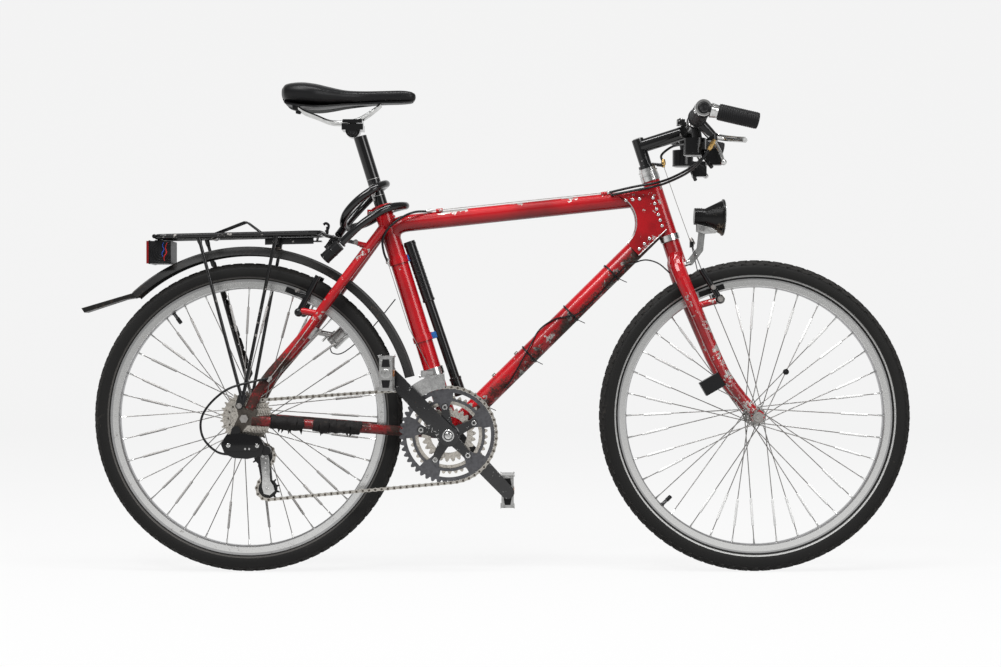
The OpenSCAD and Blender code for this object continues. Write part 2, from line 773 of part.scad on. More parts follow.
module rack_legs() {
    y = drop_y + drop_t + 3.5;
    foot = rack_foot + [0, -y, 0];
    color("black") placed() mirrored() {
        difference() {
            union() {
                plate(-y - 2, -y + 2) bar2d(rack_bolt, rack_foot + [0, 0, 6], 8, 9);
                rod(foot, [-95, -rack_y + 3, rack(-95) - rack_r - 1], 3.5);
                rod(foot, [61, -rack_y + 3, rack(61) - rack_r - 1], 3.5);
            }
            across(rack_bolt, -90, -60, 2.8);
        }
        across(rack_bolt, -y - 6, -drop_y - 0.5, 2.5);
        across(rack_bolt, -y - 6, -y - 2, 5);
    }
}

// The sprung wire clip: two coils round a rod of the deck and the loop that they press down
module rack_clip() {
    nose = [26, 0, rack(26) - 1 + rack_thin_r + clip_wire + 0.3];
    crest = [-5, 0, 719];
    coil_r = rack_thin_r + 0.4;
    color("dimgray") placed() {
        bent([clip_hinge + [0, -15, 6], crest - [0, 17, 0], nose - [0, 26, 0],
            nose + [0, 26, 0], crest + [0, 17, 0], clip_hinge + [0, 15, 6]], clip_wire, 5, 8);
        difference() {
            mirrored() across(clip_hinge, 6, 17, coil_r + 2 * clip_wire);
            across(clip_hinge, -20, 20, coil_r);
        }
    }
}

lamp_at = [-177, 0, 655];
lamp_size = [44, 74, 46];
module tail_lamp() {
    top = rack(rack_rear_x) - rack_r - fit;
    color("black") placed() difference() {
        union() {
            block(lamp_at, lamp_size);
            translate([-192, -15, lamp_at[2]]) cube([16, 30, top - lamp_at[2]]);
        }
        block(lamp_at - [6, 0, 1], lamp_size - [0, 8, 8]);
    }
}

// The red glass and the bulb's holder behind it
module tail_lens() {
    glass_t = 6;
    color("darkred") placed() {
        block(lamp_at - [(lamp_size[0] + glass_t) / 2 + fit, 0, 0], [glass_t, lamp_size[1], lamp_size[2]]);
        block(lamp_at + [0.8, -16, -1], [30, 22, 22]);
    }
}

module pump() {
    n = norm(pump_top - pump_low);
    color("black") placed() {
        rod(pump_low, pump_low + n * 0.62 * pump_dir, 10);
        rod(pump_low + n * 0.62 * pump_dir, pump_top, 12);
        rod(pump_low, pump_low + 36 * pump_dir, 12);
    }
}

module pump_clips() {
    color("royalblue") placed() for (s = [205, 372]) difference() {
        union() {
            seat_axis(s - 6, s + 6, seat_tube_r + 2.5);
            block(seat(s, seat_tube_r + 7), [18, 12, 12]);
        }
        seat_axis(s - 12, s + 12, seat_tube_r + fit);
        rod(pump_low, pump_top, s < 250 ? 10 + fit : 12 + fit);
    }
}

module lock_cable() {
    color("black") placed() sweep(spline(lock_path, 4), lock_r, 10, [0.1, 0.3, 1]);
}

module lock_barrel() {
    color("dimgray") placed() {
        rod([160, -42, 642], [190, -47.5, 669.5], 12);
        rod([164, -8, 662], [181.5, -10, 686], 10);
        rod([168, -42, 652], [169, -8, 668], 9);
    }
}

module dynamo() {
    low = [166, 46, 467];
    top = [200, 44, 499];
    clamp = [stay_at(115), stay_at(131)];
    color("dimgray") placed() difference() {
        union() {
            rod(low, top, 14.5);
            rod(top, top + 16 * unit(top - low), 9);
            rod(clamp[0], clamp[1], seat_stay_r + 3.5);
            rod((clamp[0] + clamp[1]) / 2, (low + top) / 2, 6);
        }
        mirror([0, 1, 0]) seat_stay(fit);
    }
}

// A point on the left seat stay's straight run below its brake boss, at a given X
function stay_at(x) = let (a = seat_stay_path[4], b = seat_stay_path[5], t = (x - a[0]) / (b[0] - a[0]))
    [x, -a[1] - t * (b[1] - a[1]), a[2] + t * (b[2] - a[2])];

module control_cables() {
    color("black") placed() for (p = [rear_brake_housing, gear_housing])
        sweep(spline(p, 3), cable_r, 8, [0.2, 0.1, 1]);
}

// The front brake's housing down to its hanger, and the bare wire from there to the yoke
module front_brake_cable() {
    color("black") placed() {
        sweep(spline(front_brake_housing, 3), cable_r, 8, [0.2, 1, 0.1]);
        rod([854.5, 0, 829], [908.5, 0, 678.7], 1);
    }
}

module lamp_wire() {
    color("black") placed() sweep(spline(wire_path, 3), wire_r, 8, [0, 1, 0.2]);
}

// ---- steering ----

fork_path = [[879, -12, 647], [878, -24, 632], [884, -36, 612], [894, -43, 586], [918, -48, 530],
    [941, -50, 475], [973, -52, 406], [1008, -53, 359], [1038, -53, 324]];
// The right fork blade, grown by g
module fork_blade(g = 0) {
    k = 2;
    thick = 15.5;
    thin = 10;
    last = k * (len(fork_path) - 1);
    radii = [for (i = [0 : last]) g + (i < 4 ? thick : thick - (thick - thin) * (i - 4) / (last - 4))];
    sweep(spline(fork_path, k), radii, 16);
}

module fork() {
    boss = [955, -50, 555];
    color("firebrick") placed() difference() {
        union() {
            mirrored() fork_blade();
            head_axis(fork_len - 50, fork_len, 18);
            head_axis(fork_len - 10, nut_top - 1, steerer_r);
            mirrored() {
                across(front, -fork_y - 6, -fork_y, 14);
                rod([918, -48, 545], boss, 6.5);
            }
        }
        across(front, -70, 70, axle_r + 0.1);
        across(front, -fork_y, fork_y, 24);
        mirrored() across(front, -fork_y - 20, -fork_y - 6, 15);
        head_axis(head_top - 40, nut_top, 11.2);
    }
}

module front_axle() {
    color("silver") placed() {
        across(front, -fork_y - 14, fork_y + 14, axle_r);
        for (s = [-1, 1]) {
            across(front, s * (fork_y + 6 + fit), s * (fork_y + 13), 9);
            across(front, s * (fork_y - 1.5), s * (fork_y - fit), 9);
        }
    }
}

module headset_nuts() {
    color("silver") placed() difference() {
        union() {
            head_axis(head_top + 11 + run, head_top + 17, cup_r - 1.5);
            head_axis(head_top + 17, nut_top, cup_r - 3);
            head_axis(head_top + 19, head_top + 22, cup_r - 0.5);
        }
        head_axis(head_top, nut_top + 1, steerer_r + fit);
    }
}

quill_r = 11;
module stem() {
    u = unit(bar_centre - bar_low);
    color("black") placed() {
        difference() {
            union() {
                head_axis(head_top - 38, head_top + stem_rise, quill_r);
                head_axis(nut_top + fit, head_top + stem_rise + 16, quill_r + 1.5);
                rod(bar_low, bar_centre - 8 * u, stem_r);
                across(bar_centre, -20, 20, 19);
                block(bar_centre + [-16, 0, 18], [16, 24, 12]);
            }
            across(bar_centre, -30, 30, bar_mid_r + fit);
        }
        difference() {
            union() {
                head_axis(nut_top + 1, nut_top + 7, quill_r + 5);
                rod(steer(nut_top + 5.5, 12), [853, 0, 835.5], 3.6);
            }
            head_axis(nut_top, nut_top + 20, quill_r + 1.5 + fit);
            head_axis(nut_top - 10, nut_top + fit, cup_r);
            rod([853, 0, 800], [853, 0, 870], 1.6);
        }
    }
}

module handlebar() {
    color("black") placed() {
        across(bar_centre, -32, 32, bar_mid_r);
        mirrored() rod(bar(-20), bar(-bar_half + 2), bar_r);
    }
}

module grips() {
    color("black") placed() mirrored() {
        difference() {
            union() {
                rod(bar(-180), bar(20 - bar_half), 16);
                rod(bar(-180), bar(-184), 18.5);
            }
            rod(bar(-170), bar(-bar_half), bar_r + fit);
        }
    }
}

module bar_ends() {
    root = bar(-bar_half + 7);
    dip = [cos(bar_end_dip), 0, -sin(bar_end_dip)];
    color("black") placed() mirrored() {
        difference() {
            union() {
                rod(bar(14 - bar_half), bar(-bar_half), 15.5);
                rod(root, root + bar_end_len * dip, 12);
                rod(root + 30 * dip, root + bar_end_len * dip, 15.5);
            }
            rod(bar(30 - bar_half), bar(-bar_half - 4), bar_r + fit);
        }
        rod(bar(-bar_half - fit), bar(-bar_half - 3), 11);
    }
}

module brake_levers() {
    hinge = [938, -150, 878];
    tip = [992, -232, 864];
    color("dimgray") placed() mirrored() {
        difference() {
            union() {
                rod(bar(-150), bar(-164), 15.5);
                rod(bar(-157), hinge, 9);
            }
            rod(bar(-140), bar(-180), bar_r + fit);
        }
        translate(hinge + [0, 0, -7]) cylinder(r = 10.5, h = 14);
        bent([hinge, [965, -158, 874], [980, -190, 869], tip], 5, 10, 10, [0, 0.1, 1]);
    }
}

module shifters() {
    pod = [905, -128, 870];
    color("black") placed() mirrored() {
        difference() {
            union() {
                rod(bar(-120), bar(-136), 16);
                translate(pod + [0, 0, -26]) cylinder(r = 22, h = 34);
                rod(pod + [6, 0, 0], bar(-128), 10);
                block(pod + [36, -14, -32], [30, 24, 30]);
                rod(pod + [8, 0, -14], pod + [34, -12, -30], 8);
            }
            rod(bar(-100), bar(-180), bar_r + fit);
        }
        rod(pod + [14, -4, -24], pod + [30, -32, -52], 4);
    }
}

front_pad = [950, -24, 577];
front_arm_top = [927, -40, 620];
module front_brake() {
    boss = [955, -50, 555];
    color("black") placed() {
        mirrored() {
            difference() {
                brake_arm(boss + [9, 0, 4], front_arm_top, front_pad, 6);
                rod([918, -48, 545], boss, 6.5 + fit);
                fork_blade(fit);
            }
            brake_pad(front_pad, -19, 3);
            rod(front_arm_top, [911, -3, 672], 1);
        }
        block([911, 0, 672], [8, 12, 12]);
    }
}

module headlamp() {
    color("black") placed() {
        translate([916, 0, 730]) rotate([0, 92, 0]) {
            cylinder(r = 17, h = 22);
            translate([0, 0, 22]) cylinder(r1 = 17, r2 = 36, h = 36);
            translate([0, 0, 58]) cylinder(r = 37, h = 3);
        }
        difference() {
            block([932, 0, 708], [16, 20, 14]);
            block([932, 0, 706], [20, 3.4, 24]);
        }
        across([932, 0, 705], -12, 12, 3);
    }
}

module lamp_bracket() {
    color("silver") placed() difference() {
        union() {
            plate(-1.5, 1.5) {
                bar2d([932, 0, 700], [928, 0, 662], 7, 7);
                bar2d([928, 0, 662], [908, 0, 636], 7, 7);
            }
            rod([893, 0, 631], [908, 0, 636], 6);
        }
        across([932, 0, 705], -12, 12, 3 + fit);
        head_axis(fork_len - 55, fork_len + 5, 18 + fit);
        mirrored() fork_blade(fit);
    }
}

module wheel_sensor() {
    color("black") placed() difference() {
        union() {
            translate([948, -46, 386]) rotate([0, -30, 0]) block([0, 0, 0], [44, 24, 30]);
            rod([948, -48, 392], [978, -52, 406], 8);
        }
        fork_blade(fit);
    }
}

// ---- wheels ----

module tyre(centre, r, w) {
    k = w / 2;
    translate(centre) rotate([90, 0, 0]) rotate_extrude() difference() {
        translate([r - k, 0]) circle(k);
        translate([r - k, 0]) circle(k - 3);
        translate([0, -w]) square([rim_r + fit, 2 * w]);
    }
}

module rim(centre, valve) {
    translate(centre) rotate([90, 0, 0]) rotate_extrude() {
        k = rim_w / 2;
        low = rim_r - rim_depth;
        difference() {
            polygon([[low, -k + 5], [low + 3, -k], [rim_r - fit, -k], [rim_r - fit, k],
                [low + 3, k], [low, k - 5]]);
            polygon([[rim_r - 8, -k + 3], [rim_r + 1, -k + 3], [rim_r + 1, k - 3], [rim_r - 8, k - 3]]);
            polygon([[low + 3, -k + 5], [rim_r - 10.5, -k + 3], [rim_r - 10.5, k - 3],
                [low + 3, k - 5]]);
        }
    }
    rod(centre + (rim_r - rim_depth + 2) * polar(valve), centre + (rim_r - 46) * polar(valve), 3.4);
}

// Spokes of one wheel: half of them to each flange, crossing three others
module spokes(centre, flange_left, flange_right, flange_r) {
    per_side = spoke_count / 2;
    cross_turn = 3 * 360 / per_side;
    for (side = [-1, 1], i = [0 : per_side - 1]) {
        y = side < 0 ? flange_right : flange_left;
        lean = i % 2 == 0 ? 1 : -1;
        hub_a = (i + (side > 0 ? 0.5 : 0)) * 360 / per_side;
        rim_a = hub_a + lean * cross_turn;
        rod(centre + (flange_r - 3) * polar(hub_a) + [0, y + lean * (flange_t / 2 + spoke_r + 0.5), 0],
            centre + (rim_r - rim_depth - 0.3) * polar(rim_a) + [0, side * 2, 0], spoke_r);
    }
}

module hub(centre, y1, y2, flange_left, flange_right, barrel_r, flange_r) {
    difference() {
        union() {
            across(centre, y1, y2, 9);
            across(centre, flange_right, flange_left, barrel_r);
            for (y = [flange_left, flange_right])
                across(centre, y - flange_t / 2, y + flange_t / 2, flange_r);
        }
        across(centre, y1 - 1, y2 + 1, axle_r + run);
    }
}

module front_tyre() {
    color("black") placed() tyre(front, front_tyre_r, front_tyre_w);
}

module rear_tyre() {
    color("black") placed() tyre(rear, rear_tyre_r, rear_tyre_w);
}

module front_rim() {
    color("silver") placed() rim(front, 224);
}

module rear_rim() {
    color("silver") placed() rim(rear, 126);
}

front_flange = 33;
module front_spokes() {
    color("silver") placed() spokes(front, front_flange, -front_flange, 20);
}

module front_hub() {
    color("silver") placed() hub(front, -fork_y + 2.2, fork_y - 2.2, front_flange, -front_flange, 13, 20);
}

flange_t = 3;
rear_flange_left = 35;
rear_flange_right = -20;
module rear_spokes() {
    color("silver") placed() spokes(rear, rear_flange_left, rear_flange_right, 23);
}

module rear_hub() {
    color("silver") placed()
        hub(rear, -27, drop_y - 2.2, rear_flange_left, rear_flange_right, 15, 23);
}

// ---- drive ----

module cassette() {
    color("silver") placed() difference() {
        union() {
            across(rear, -drop_y + 2.2, -27.8, 16.5);
            for (i = [0 : len(cog_teeth) - 1])
                plate(cog_y(i) - cog_t / 2, cog_y(i) + cog_t / 2) translate([0, rear[2]])
                    sprocket2d(cog_teeth[i]);
        }
        across(rear, -90, 0, axle_r + run);
    }
}

module ring(i, teeth, hole_r) {
    y = -chain_line + i * ring_step;
    plate(y - cog_t / 2, y + cog_t / 2) translate([bracket_x, bracket_z]) difference() {
        sprocket2d(teeth);
        circle(hole_r);
    }
}

module chainrings() {
    color("dimgray") placed() {
        ring(0, outer_teeth, 63);
        ring(1, middle_teeth, 50);
        ring(2, inner_teeth, 28);
        for (i = [0 : ring_bolts - 1]) {
            at = bracket + (spider_r + 2) * polar(crank_angle - 108 + i * 72);
            plate(-chain_line - cog_t / 2, -chain_line + cog_t / 2)
                bar2d(at, at + 10 * unit(at - bracket), 7, 9);
            across(at, -chain_line + 2 * ring_step + 0.9, -chain_line + 0.5, 4.5);
            across(at - 24 * unit(at - bracket), -chain_line + 2 * ring_step, -chain_line + 0.5, 4);
        }
    }
}

module crank_arm(side, dir) {
    end = bracket + crank_len * dir;
    difference() {
        union() {
            plate(side * (crank_face - crank_t), side * crank_face) bar2d(bracket, end, 18, 14);
            across(bracket, side * (shell_half + 3.5), side * (crank_face - 2), 15);
        }
        across(bracket, side * 20, side * (crank_face - 8), spindle_r + fit);
        across(bracket, side * (crank_face - 10), side * (crank_face + 1), 6.5);
    }
    across(end, side * (crank_face - 2), side * (crank_face + pedal_gap + pedal_w), pedal_pin_r);
}

module cranks() {
    color("silver") placed() {
        crank_arm(-1, crank_dir);
        crank_arm(1, -crank_dir);
        for (i = [0 : ring_bolts - 1]) {
            a = crank_angle - 108 + i * 72;
            plate(-chain_line - cog_t / 2 - fit, -chain_line - 7)
                bar2d(bracket, bracket + (spider_r + 2) * polar(a), 13, 7);
        }
        across(bracket, -crank_face + 9, crank_face - 9, spindle_r);
    }
}

// A pedal in its own place: its pin lies along Y and its plate stands upright
module pedal(side, dir) {
    c = bracket + crank_len * dir;
    y1 = side * (crank_face + pedal_gap);
    y2 = side * (crank_face + pedal_gap + pedal_w - 2);
    color("silver") placed() difference() {
        union() {
            across(c, y1, y2, 12);
            for (z = [-33, 33]) {
                block(c + [0, (y1 + y2) / 2, z], [30, pedal_w - 6, 3]);
                block(c + [0, (y1 + y2) / 2, z / 2], [5, pedal_w - 16, 34]);
            }
            for (y = [y1 + side * 4, y2 - side * 4]) block(c + [0, y, 0], [26, 4, 68]);
        }
        across(c, y1 - side, y2 + side * 5, pedal_pin_r + run);
    }
}

module pedal_right() {
    pedal(-1, crank_dir);
}

module pedal_left() {
    pedal(1, -crank_dir);
}

head_tube();
top_tube();
down_tube();
seat_tube();
bracket_shell();
chain_stays();
seat_stays();
rear_dropouts();
head_gussets();
headset_cups();
seat_collar();
seat_post();
saddle();
saddle_rails();
rear_axle();
rear_brake();
rear_derailleur();
front_derailleur();
chain();
stay_wrap();
mudguard();
rack_deck();
rack_legs();
tail_lamp();
tail_lens();
pump();
pump_clips();
lock_cable();
lock_barrel();
dynamo();
control_cables();
front_brake_cable();
lamp_wire();
rack_clip();
fork();
front_axle();
headset_nuts();
stem();
handlebar();
grips();
bar_ends();
brake_levers();
shifters();
front_brake();
headlamp();
lamp_bracket();
wheel_sensor();
front_tyre();
front_rim();
front_spokes();
front_hub();
rear_tyre();
rear_rim();
rear_spokes();
rear_hub();
cassette();
chainrings();
cranks();
pedal_right();
pedal_left();
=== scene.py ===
"""A weathered touring bicycle: finishes and fine pieces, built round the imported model."""

from __future__ import annotations

import json
import logging
import math
import random
from dataclasses import dataclass, field
from enum import Enum
from typing import Callable, Iterable, Sequence

import bmesh
import bpy
from mathutils import Matrix, Quaternion, Vector, noise

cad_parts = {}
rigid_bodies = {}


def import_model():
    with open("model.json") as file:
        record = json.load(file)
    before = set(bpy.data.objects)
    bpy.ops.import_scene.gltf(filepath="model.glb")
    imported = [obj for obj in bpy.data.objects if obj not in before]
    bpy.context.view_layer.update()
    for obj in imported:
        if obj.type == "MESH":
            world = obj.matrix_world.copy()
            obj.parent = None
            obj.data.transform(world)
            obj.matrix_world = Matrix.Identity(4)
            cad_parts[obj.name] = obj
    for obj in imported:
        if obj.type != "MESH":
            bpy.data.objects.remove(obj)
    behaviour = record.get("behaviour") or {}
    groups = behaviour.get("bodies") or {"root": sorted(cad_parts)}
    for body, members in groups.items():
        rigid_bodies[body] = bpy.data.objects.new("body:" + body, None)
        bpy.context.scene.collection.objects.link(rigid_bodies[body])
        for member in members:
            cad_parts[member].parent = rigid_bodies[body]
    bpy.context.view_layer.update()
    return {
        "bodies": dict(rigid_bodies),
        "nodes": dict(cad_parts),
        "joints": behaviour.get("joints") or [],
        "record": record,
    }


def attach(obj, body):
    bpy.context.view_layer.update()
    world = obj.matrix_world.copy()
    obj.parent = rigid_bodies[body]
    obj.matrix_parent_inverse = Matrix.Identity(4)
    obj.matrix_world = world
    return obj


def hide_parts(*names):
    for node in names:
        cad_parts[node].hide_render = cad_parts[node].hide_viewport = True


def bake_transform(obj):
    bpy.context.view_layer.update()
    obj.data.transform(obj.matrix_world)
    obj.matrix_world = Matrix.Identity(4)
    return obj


log = logging.getLogger("bicycle")

MM = 0.001
RIDER = Vector((200.0, 0.0, 988.0))
REAR = (0.0, 317.0)
FRONT = (1040.0, 320.0)
BRACKET = (412.0, 283.0)
HEAD_LEAN = 18.0
FORK_RAKE = 53.0
SEAT_LEAN = 17.3
SEAT_FOOT = (418.6, 283.0)
SIDES = (-1.0, 1.0)
AHEAD = Vector((1.0, 0.0, 0.0)).freeze()
LEFT = Vector((0.0, 1.0, 0.0)).freeze()
RIGHT = Vector((0.0, -1.0, 0.0)).freeze()
UP = Vector((0.0, 0.0, 1.0)).freeze()


def at(x: float, y: float, z: float) -> Vector:
    """A point of the bicycle in millimetres, as a point of the scene in metres.

    Args:
        x: Millimetres forward of the rear axle.
        y: Millimetres to the left of the middle plane.
        z: Millimetres over the ground.

    Returns:
        The point in metres.
    """
    return (Vector((x, y, z)) - RIDER) * MM


def outward(side: float) -> Vector:
    """The direction away from the middle plane, -1 for the right side and 1 for the left."""
    return Vector((0.0, side, 0.0))


def around(centre: tuple[float, float], radius: float, degrees: float, y: float = 0.0) -> Vector:
    """A point on a circle in the bicycle's side plane.

    Args:
        centre: The circle's middle as (x, z) in millimetres.
        radius: Its radius in millimetres.
        degrees: The angle over the forward direction.
        y: How far to the left of the middle plane.

    Returns:
        The point in metres.
    """
    a = math.radians(degrees)
    return at(centre[0] + radius * math.cos(a), y, centre[1] + radius * math.sin(a))


def steer(s: float, ahead: float = 0.0, y: float = 0.0) -> Vector:
    """A point beside the steering axis, s along it and some way ahead of it.

    Args:
        s: Millimetres up the axis from the point beside the wheel's axle.
        ahead: Millimetres in front of it.
        y: Millimetres to the left.

    Returns:
        The point in metres.
    """
    lean = math.radians(HEAD_LEAN)
    up = Vector((-math.sin(lean), 0.0, math.cos(lean)))
    fore = Vector((math.cos(lean), 0.0, math.sin(lean)))
    p = Vector((FRONT[0], 0.0, FRONT[1])) - FORK_RAKE * fore + s * up + ahead * fore
    return at(p.x, y, p.z)


def seat(s: float, ahead: float = 0.0, y: float = 0.0) -> Vector:
    """A point beside the seat tube's axis, s along it and some way ahead of it.

    Args:
        s: Millimetres up the axis from SEAT_FOOT.
        ahead: Millimetres in front of it.
        y: Millimetres to the left.

    Returns:
        The point in metres.
    """
    lean = math.radians(SEAT_LEAN)
    up = Vector((-math.sin(lean), 0.0, math.cos(lean)))
    fore = Vector((math.cos(lean), 0.0, math.sin(lean)))
    p = Vector((SEAT_FOOT[0], 0.0, SEAT_FOOT[1])) + s * up + ahead * fore
    return at(p.x, y, p.z)


# ---- node trees ----

Value = bpy.types.NodeSocket | float | int | tuple


class Graph:
    """A node tree with short calls that add and join nodes."""

    def __init__(self, tree: bpy.types.NodeTree) -> None:
        """Keeps the tree and starts counting nodes, which sets their places."""
        self.tree = tree
        self.count = 0

    def add(self, kind: str, settings: dict | None = None, inputs: dict | None = None) -> bpy.types.Node:
        """Adds a node.

        Args:
            kind: The node's type name.
            settings: Its properties.
            inputs: Its sockets, each a value or another node's output.

        Returns:
            The node.
        """
        made = self.tree.nodes.new(kind)
        made.location = (180 * (self.count % 12), -220 * (self.count // 12))
        self.count += 1
        for key, value in (settings or {}).items():
            setattr(made, key, value)
        for key, value in (inputs or {}).items():
            self.put(made.inputs[key], value)
        return made

    def put(self, socket: bpy.types.NodeSocket, value: Value) -> None:
        """Joins an output to the socket, or sets its value.

        Args:
            socket: The input.
            value: A number, a tuple or another node's output.
        """
        if isinstance(value, bpy.types.NodeSocket):
            self.tree.links.new(value, socket)
        elif isinstance(value, tuple) and len(value) == 3 and socket.type == "RGBA":
            socket.default_value = (*value, 1.0)
        else:
            socket.default_value = value

    def maths(self, operation: str, a: Value, b: Value = 0.0, clamp: bool = False) -> bpy.types.NodeSocket:
        """One step of arithmetic.

        Args:
            operation: The operation's name.
            a: The first value.
            b: The second value.
            clamp: Whether the result stays between 0 and 1.

        Returns:
            The result's output.
        """
        made = self.add("ShaderNodeMath", {"operation": operation, "use_clamp": clamp}, {0: a, 1: b})
        return made.outputs[0]

    def rise(self, value: Value, low: Value, high: Value) -> bpy.types.NodeSocket:
        """A soft step from 0 below low to 1 above high.

        Args:
            value: What is measured.
            low: Where the step starts.
            high: Where it ends.

        Returns:
            The step's output.
        """
        made = self.add(
            "ShaderNodeMapRange",
            {"interpolation_type": "SMOOTHSTEP"},
            {"Value": value, "From Min": low, "From Max": high},
        )
        return made.outputs[0]

    def mix(self, share: Value, a: Value, b: Value) -> bpy.types.NodeSocket:
        """A blend of two colours.

        Args:
            share: How much of b shows.
            a: The first colour.
            b: The second colour.

        Returns:
            The colour's output.
        """
        made = self.add("ShaderNodeMix", {"data_type": "RGBA"}, {0: share, 6: a, 7: b})
        return made.outputs[2]

    def lerp(self, share: Value, a: Value, b: Value) -> bpy.types.NodeSocket:
        """A blend of two numbers.

        Args:
            share: How much of b counts.
            a: The first number.
            b: The second number.

        Returns:
            The number's output.
        """
        made = self.add("ShaderNodeMix", {"data_type": "FLOAT"}, {0: share, 2: a, 3: b})
        return made.outputs[0]

    def noise(
        self, place: Value, scale: Value, detail: float = 4.0, rough: float = 0.6
    ) -> bpy.types.NodeSocket:
        """Cloudy noise between 0 and 1.

        Args:
            place: The position that it is taken at.
            scale: How fine it is.
            detail: How many octaves it has.
            rough: How strong the finer ones are.

        Returns:
            The noise's output.
        """
        made = self.add(
            "ShaderNodeTexNoise", None, {
                "Vector": place, "Scale": scale, "Detail": detail, "Roughness": rough
            }
        )
        return made.outputs[0]

    def group(self, tree: bpy.types.NodeTree, **inputs: Value) -> bpy.types.Node:
        """Places a node group, its inputs named with underscores for spaces."""
        made = self.add(f"{self.tree.bl_idname[:-4]}Group")
        made.node_tree = tree
        for key, value in inputs.items():
            self.put(made.inputs[key.replace("_", " ")], value)
        return made


def new_group(name: str, kind: str, sockets: Iterable[tuple[str, str, str, float | tuple | None]]) -> Graph:
    """A node group with named sockets.

    Args:
        name: The group's name.
        kind: ShaderNodeTree or GeometryNodeTree.
        sockets: For each, "INPUT" or "OUTPUT", its name, its type, and its default or None.

    Returns:
        The group's graph, with its input and output nodes as .source and .sink.
    """
    tree = bpy.data.node_groups.new(name, kind)
    for way, label, socket_type, default in sockets:
        made = tree.interface.new_socket(name=label, in_out=way, socket_type=socket_type)
        if default is not None:
            made.default_value = default
    graph = Graph(tree)
    graph.source = graph.add("NodeGroupInput")
    graph.sink = graph.add("NodeGroupOutput")
    return graph


FLOAT = "NodeSocketFloat"
VECTOR = "NodeSocketVector"


def weather_group() -> bpy.types.NodeTree:
    """Chips, grime and tone for painted or plated metal, all from a place on the piece."""
    g = new_group(
        "weather",
        "ShaderNodeTree",
        [
            ("INPUT", "Place", VECTOR, None),
            ("INPUT", "Chip scale", FLOAT, 120.0),
            ("INPUT", "Chip share", FLOAT, 0.3),
            ("INPUT", "Grime scale", FLOAT, 14.0),
            ("INPUT", "Grime share", FLOAT, 0.3),
            ("OUTPUT", "Chips", FLOAT, None),
            ("OUTPUT", "Grime", FLOAT, None),
            ("OUTPUT", "Tone", FLOAT, None),
            ("OUTPUT", "Relief", FLOAT, None),
        ],
    )
    src = g.source.outputs
    fine = g.noise(src["Place"], src["Chip scale"], 7.0, 0.62)
    patch = g.noise(src["Place"], g.maths("MULTIPLY", src["Chip scale"], 0.17), 3.0, 0.55)
    chance = g.maths("ADD", fine, g.maths("MULTIPLY", g.maths("SUBTRACT", patch, 0.5), 1.1))
    limit = g.lerp(src["Chip share"], 0.86, 0.46)
    chips = g.rise(chance, limit, g.maths("ADD", limit, 0.02))
    cloud = g.noise(src["Place"], src["Grime scale"], 8.0, 0.68)
    speck = g.noise(src["Place"], g.maths("MULTIPLY", src["Grime scale"], 11.0), 4.0, 0.7)
    film = g.maths("ADD", cloud, g.maths("MULTIPLY", g.maths("SUBTRACT", speck, 0.5), 0.5))
    floor = g.lerp(src["Grime share"], 0.80, 0.22)
    grime = g.rise(film, floor, g.maths("ADD", floor, 0.24))
    g.put(g.sink.inputs["Chips"], chips)
    g.put(g.sink.inputs["Grime"], grime)
    g.put(g.sink.inputs["Tone"], g.noise(src["Place"], 9.0, 3.0))
    relief = g.maths("SUBTRACT", g.maths("MULTIPLY", grime, 0.35), g.maths("MULTIPLY", chips, 0.6))
    g.put(g.sink.inputs["Relief"], g.maths("ADD", relief, g.maths("MULTIPLY", speck, 0.25)))
    return g.tree


def scuff_group() -> bpy.types.NodeTree:
    """Fine scratches, spots and a streaky tone for bare metal and plastic."""
    g = new_group(
        "scuffs",
        "ShaderNodeTree",
        [
            ("INPUT", "Place", VECTOR, None),
            ("INPUT", "Scale", FLOAT, 60.0),
            ("INPUT", "Spot share", FLOAT, 0.3),
            ("OUTPUT", "Spots", FLOAT, None),
            ("OUTPUT", "Tone", FLOAT, None),
            ("OUTPUT", "Relief", FLOAT, None),
        ],
    )
    src = g.source.outputs
    cloud = g.noise(src["Place"], src["Scale"], 6.0, 0.65)
    fine = g.noise(src["Place"], g.maths("MULTIPLY", src["Scale"], 8.0), 3.0, 0.6)
    both = g.maths("ADD", cloud, g.maths("MULTIPLY", g.maths("SUBTRACT", fine, 0.5), 0.6))
    limit = g.lerp(src["Spot share"], 0.85, 0.3)
    g.put(g.sink.inputs["Spots"], g.rise(both, limit, g.maths("ADD", limit, 0.16)))
    g.put(g.sink.inputs["Tone"], cloud)
    g.put(g.sink.inputs["Relief"], both)
    return g.tree


def band_group() -> bpy.types.NodeTree:
    """A mask that is 1 between two distances from a line along Y, such as an axle."""
    g = new_group(
        "round_axle",
        "ShaderNodeTree",
        [
            ("INPUT", "Place", VECTOR, None),
            ("INPUT", "Inner", FLOAT, 0.2),
            ("INPUT", "Outer", FLOAT, 0.3),
            ("INPUT", "Edge", FLOAT, 0.0008),
            ("OUTPUT", "Band", FLOAT, None),
            ("OUTPUT", "Distance", FLOAT, None),
        ],
    )
    src = g.source.outputs
    flat = g.add("ShaderNodeVectorMath", {"operation": "MULTIPLY"}, {0: src["Place"], 1: (1.0, 0.0, 1.0)})
    far = g.add("ShaderNodeVectorMath", {"operation": "LENGTH"}, {0: flat.outputs[0]}).outputs["Value"]
    low = g.rise(far, g.maths("SUBTRACT", src["Inner"], src["Edge"]), src["Inner"])
    high = g.rise(far, src["Outer"], g.maths("ADD", src["Outer"], src["Edge"]))
    g.put(g.sink.inputs["Band"], g.maths("SUBTRACT", low, high))
    g.put(g.sink.inputs["Distance"], far)
    return g.tree


# ---- finishes ----


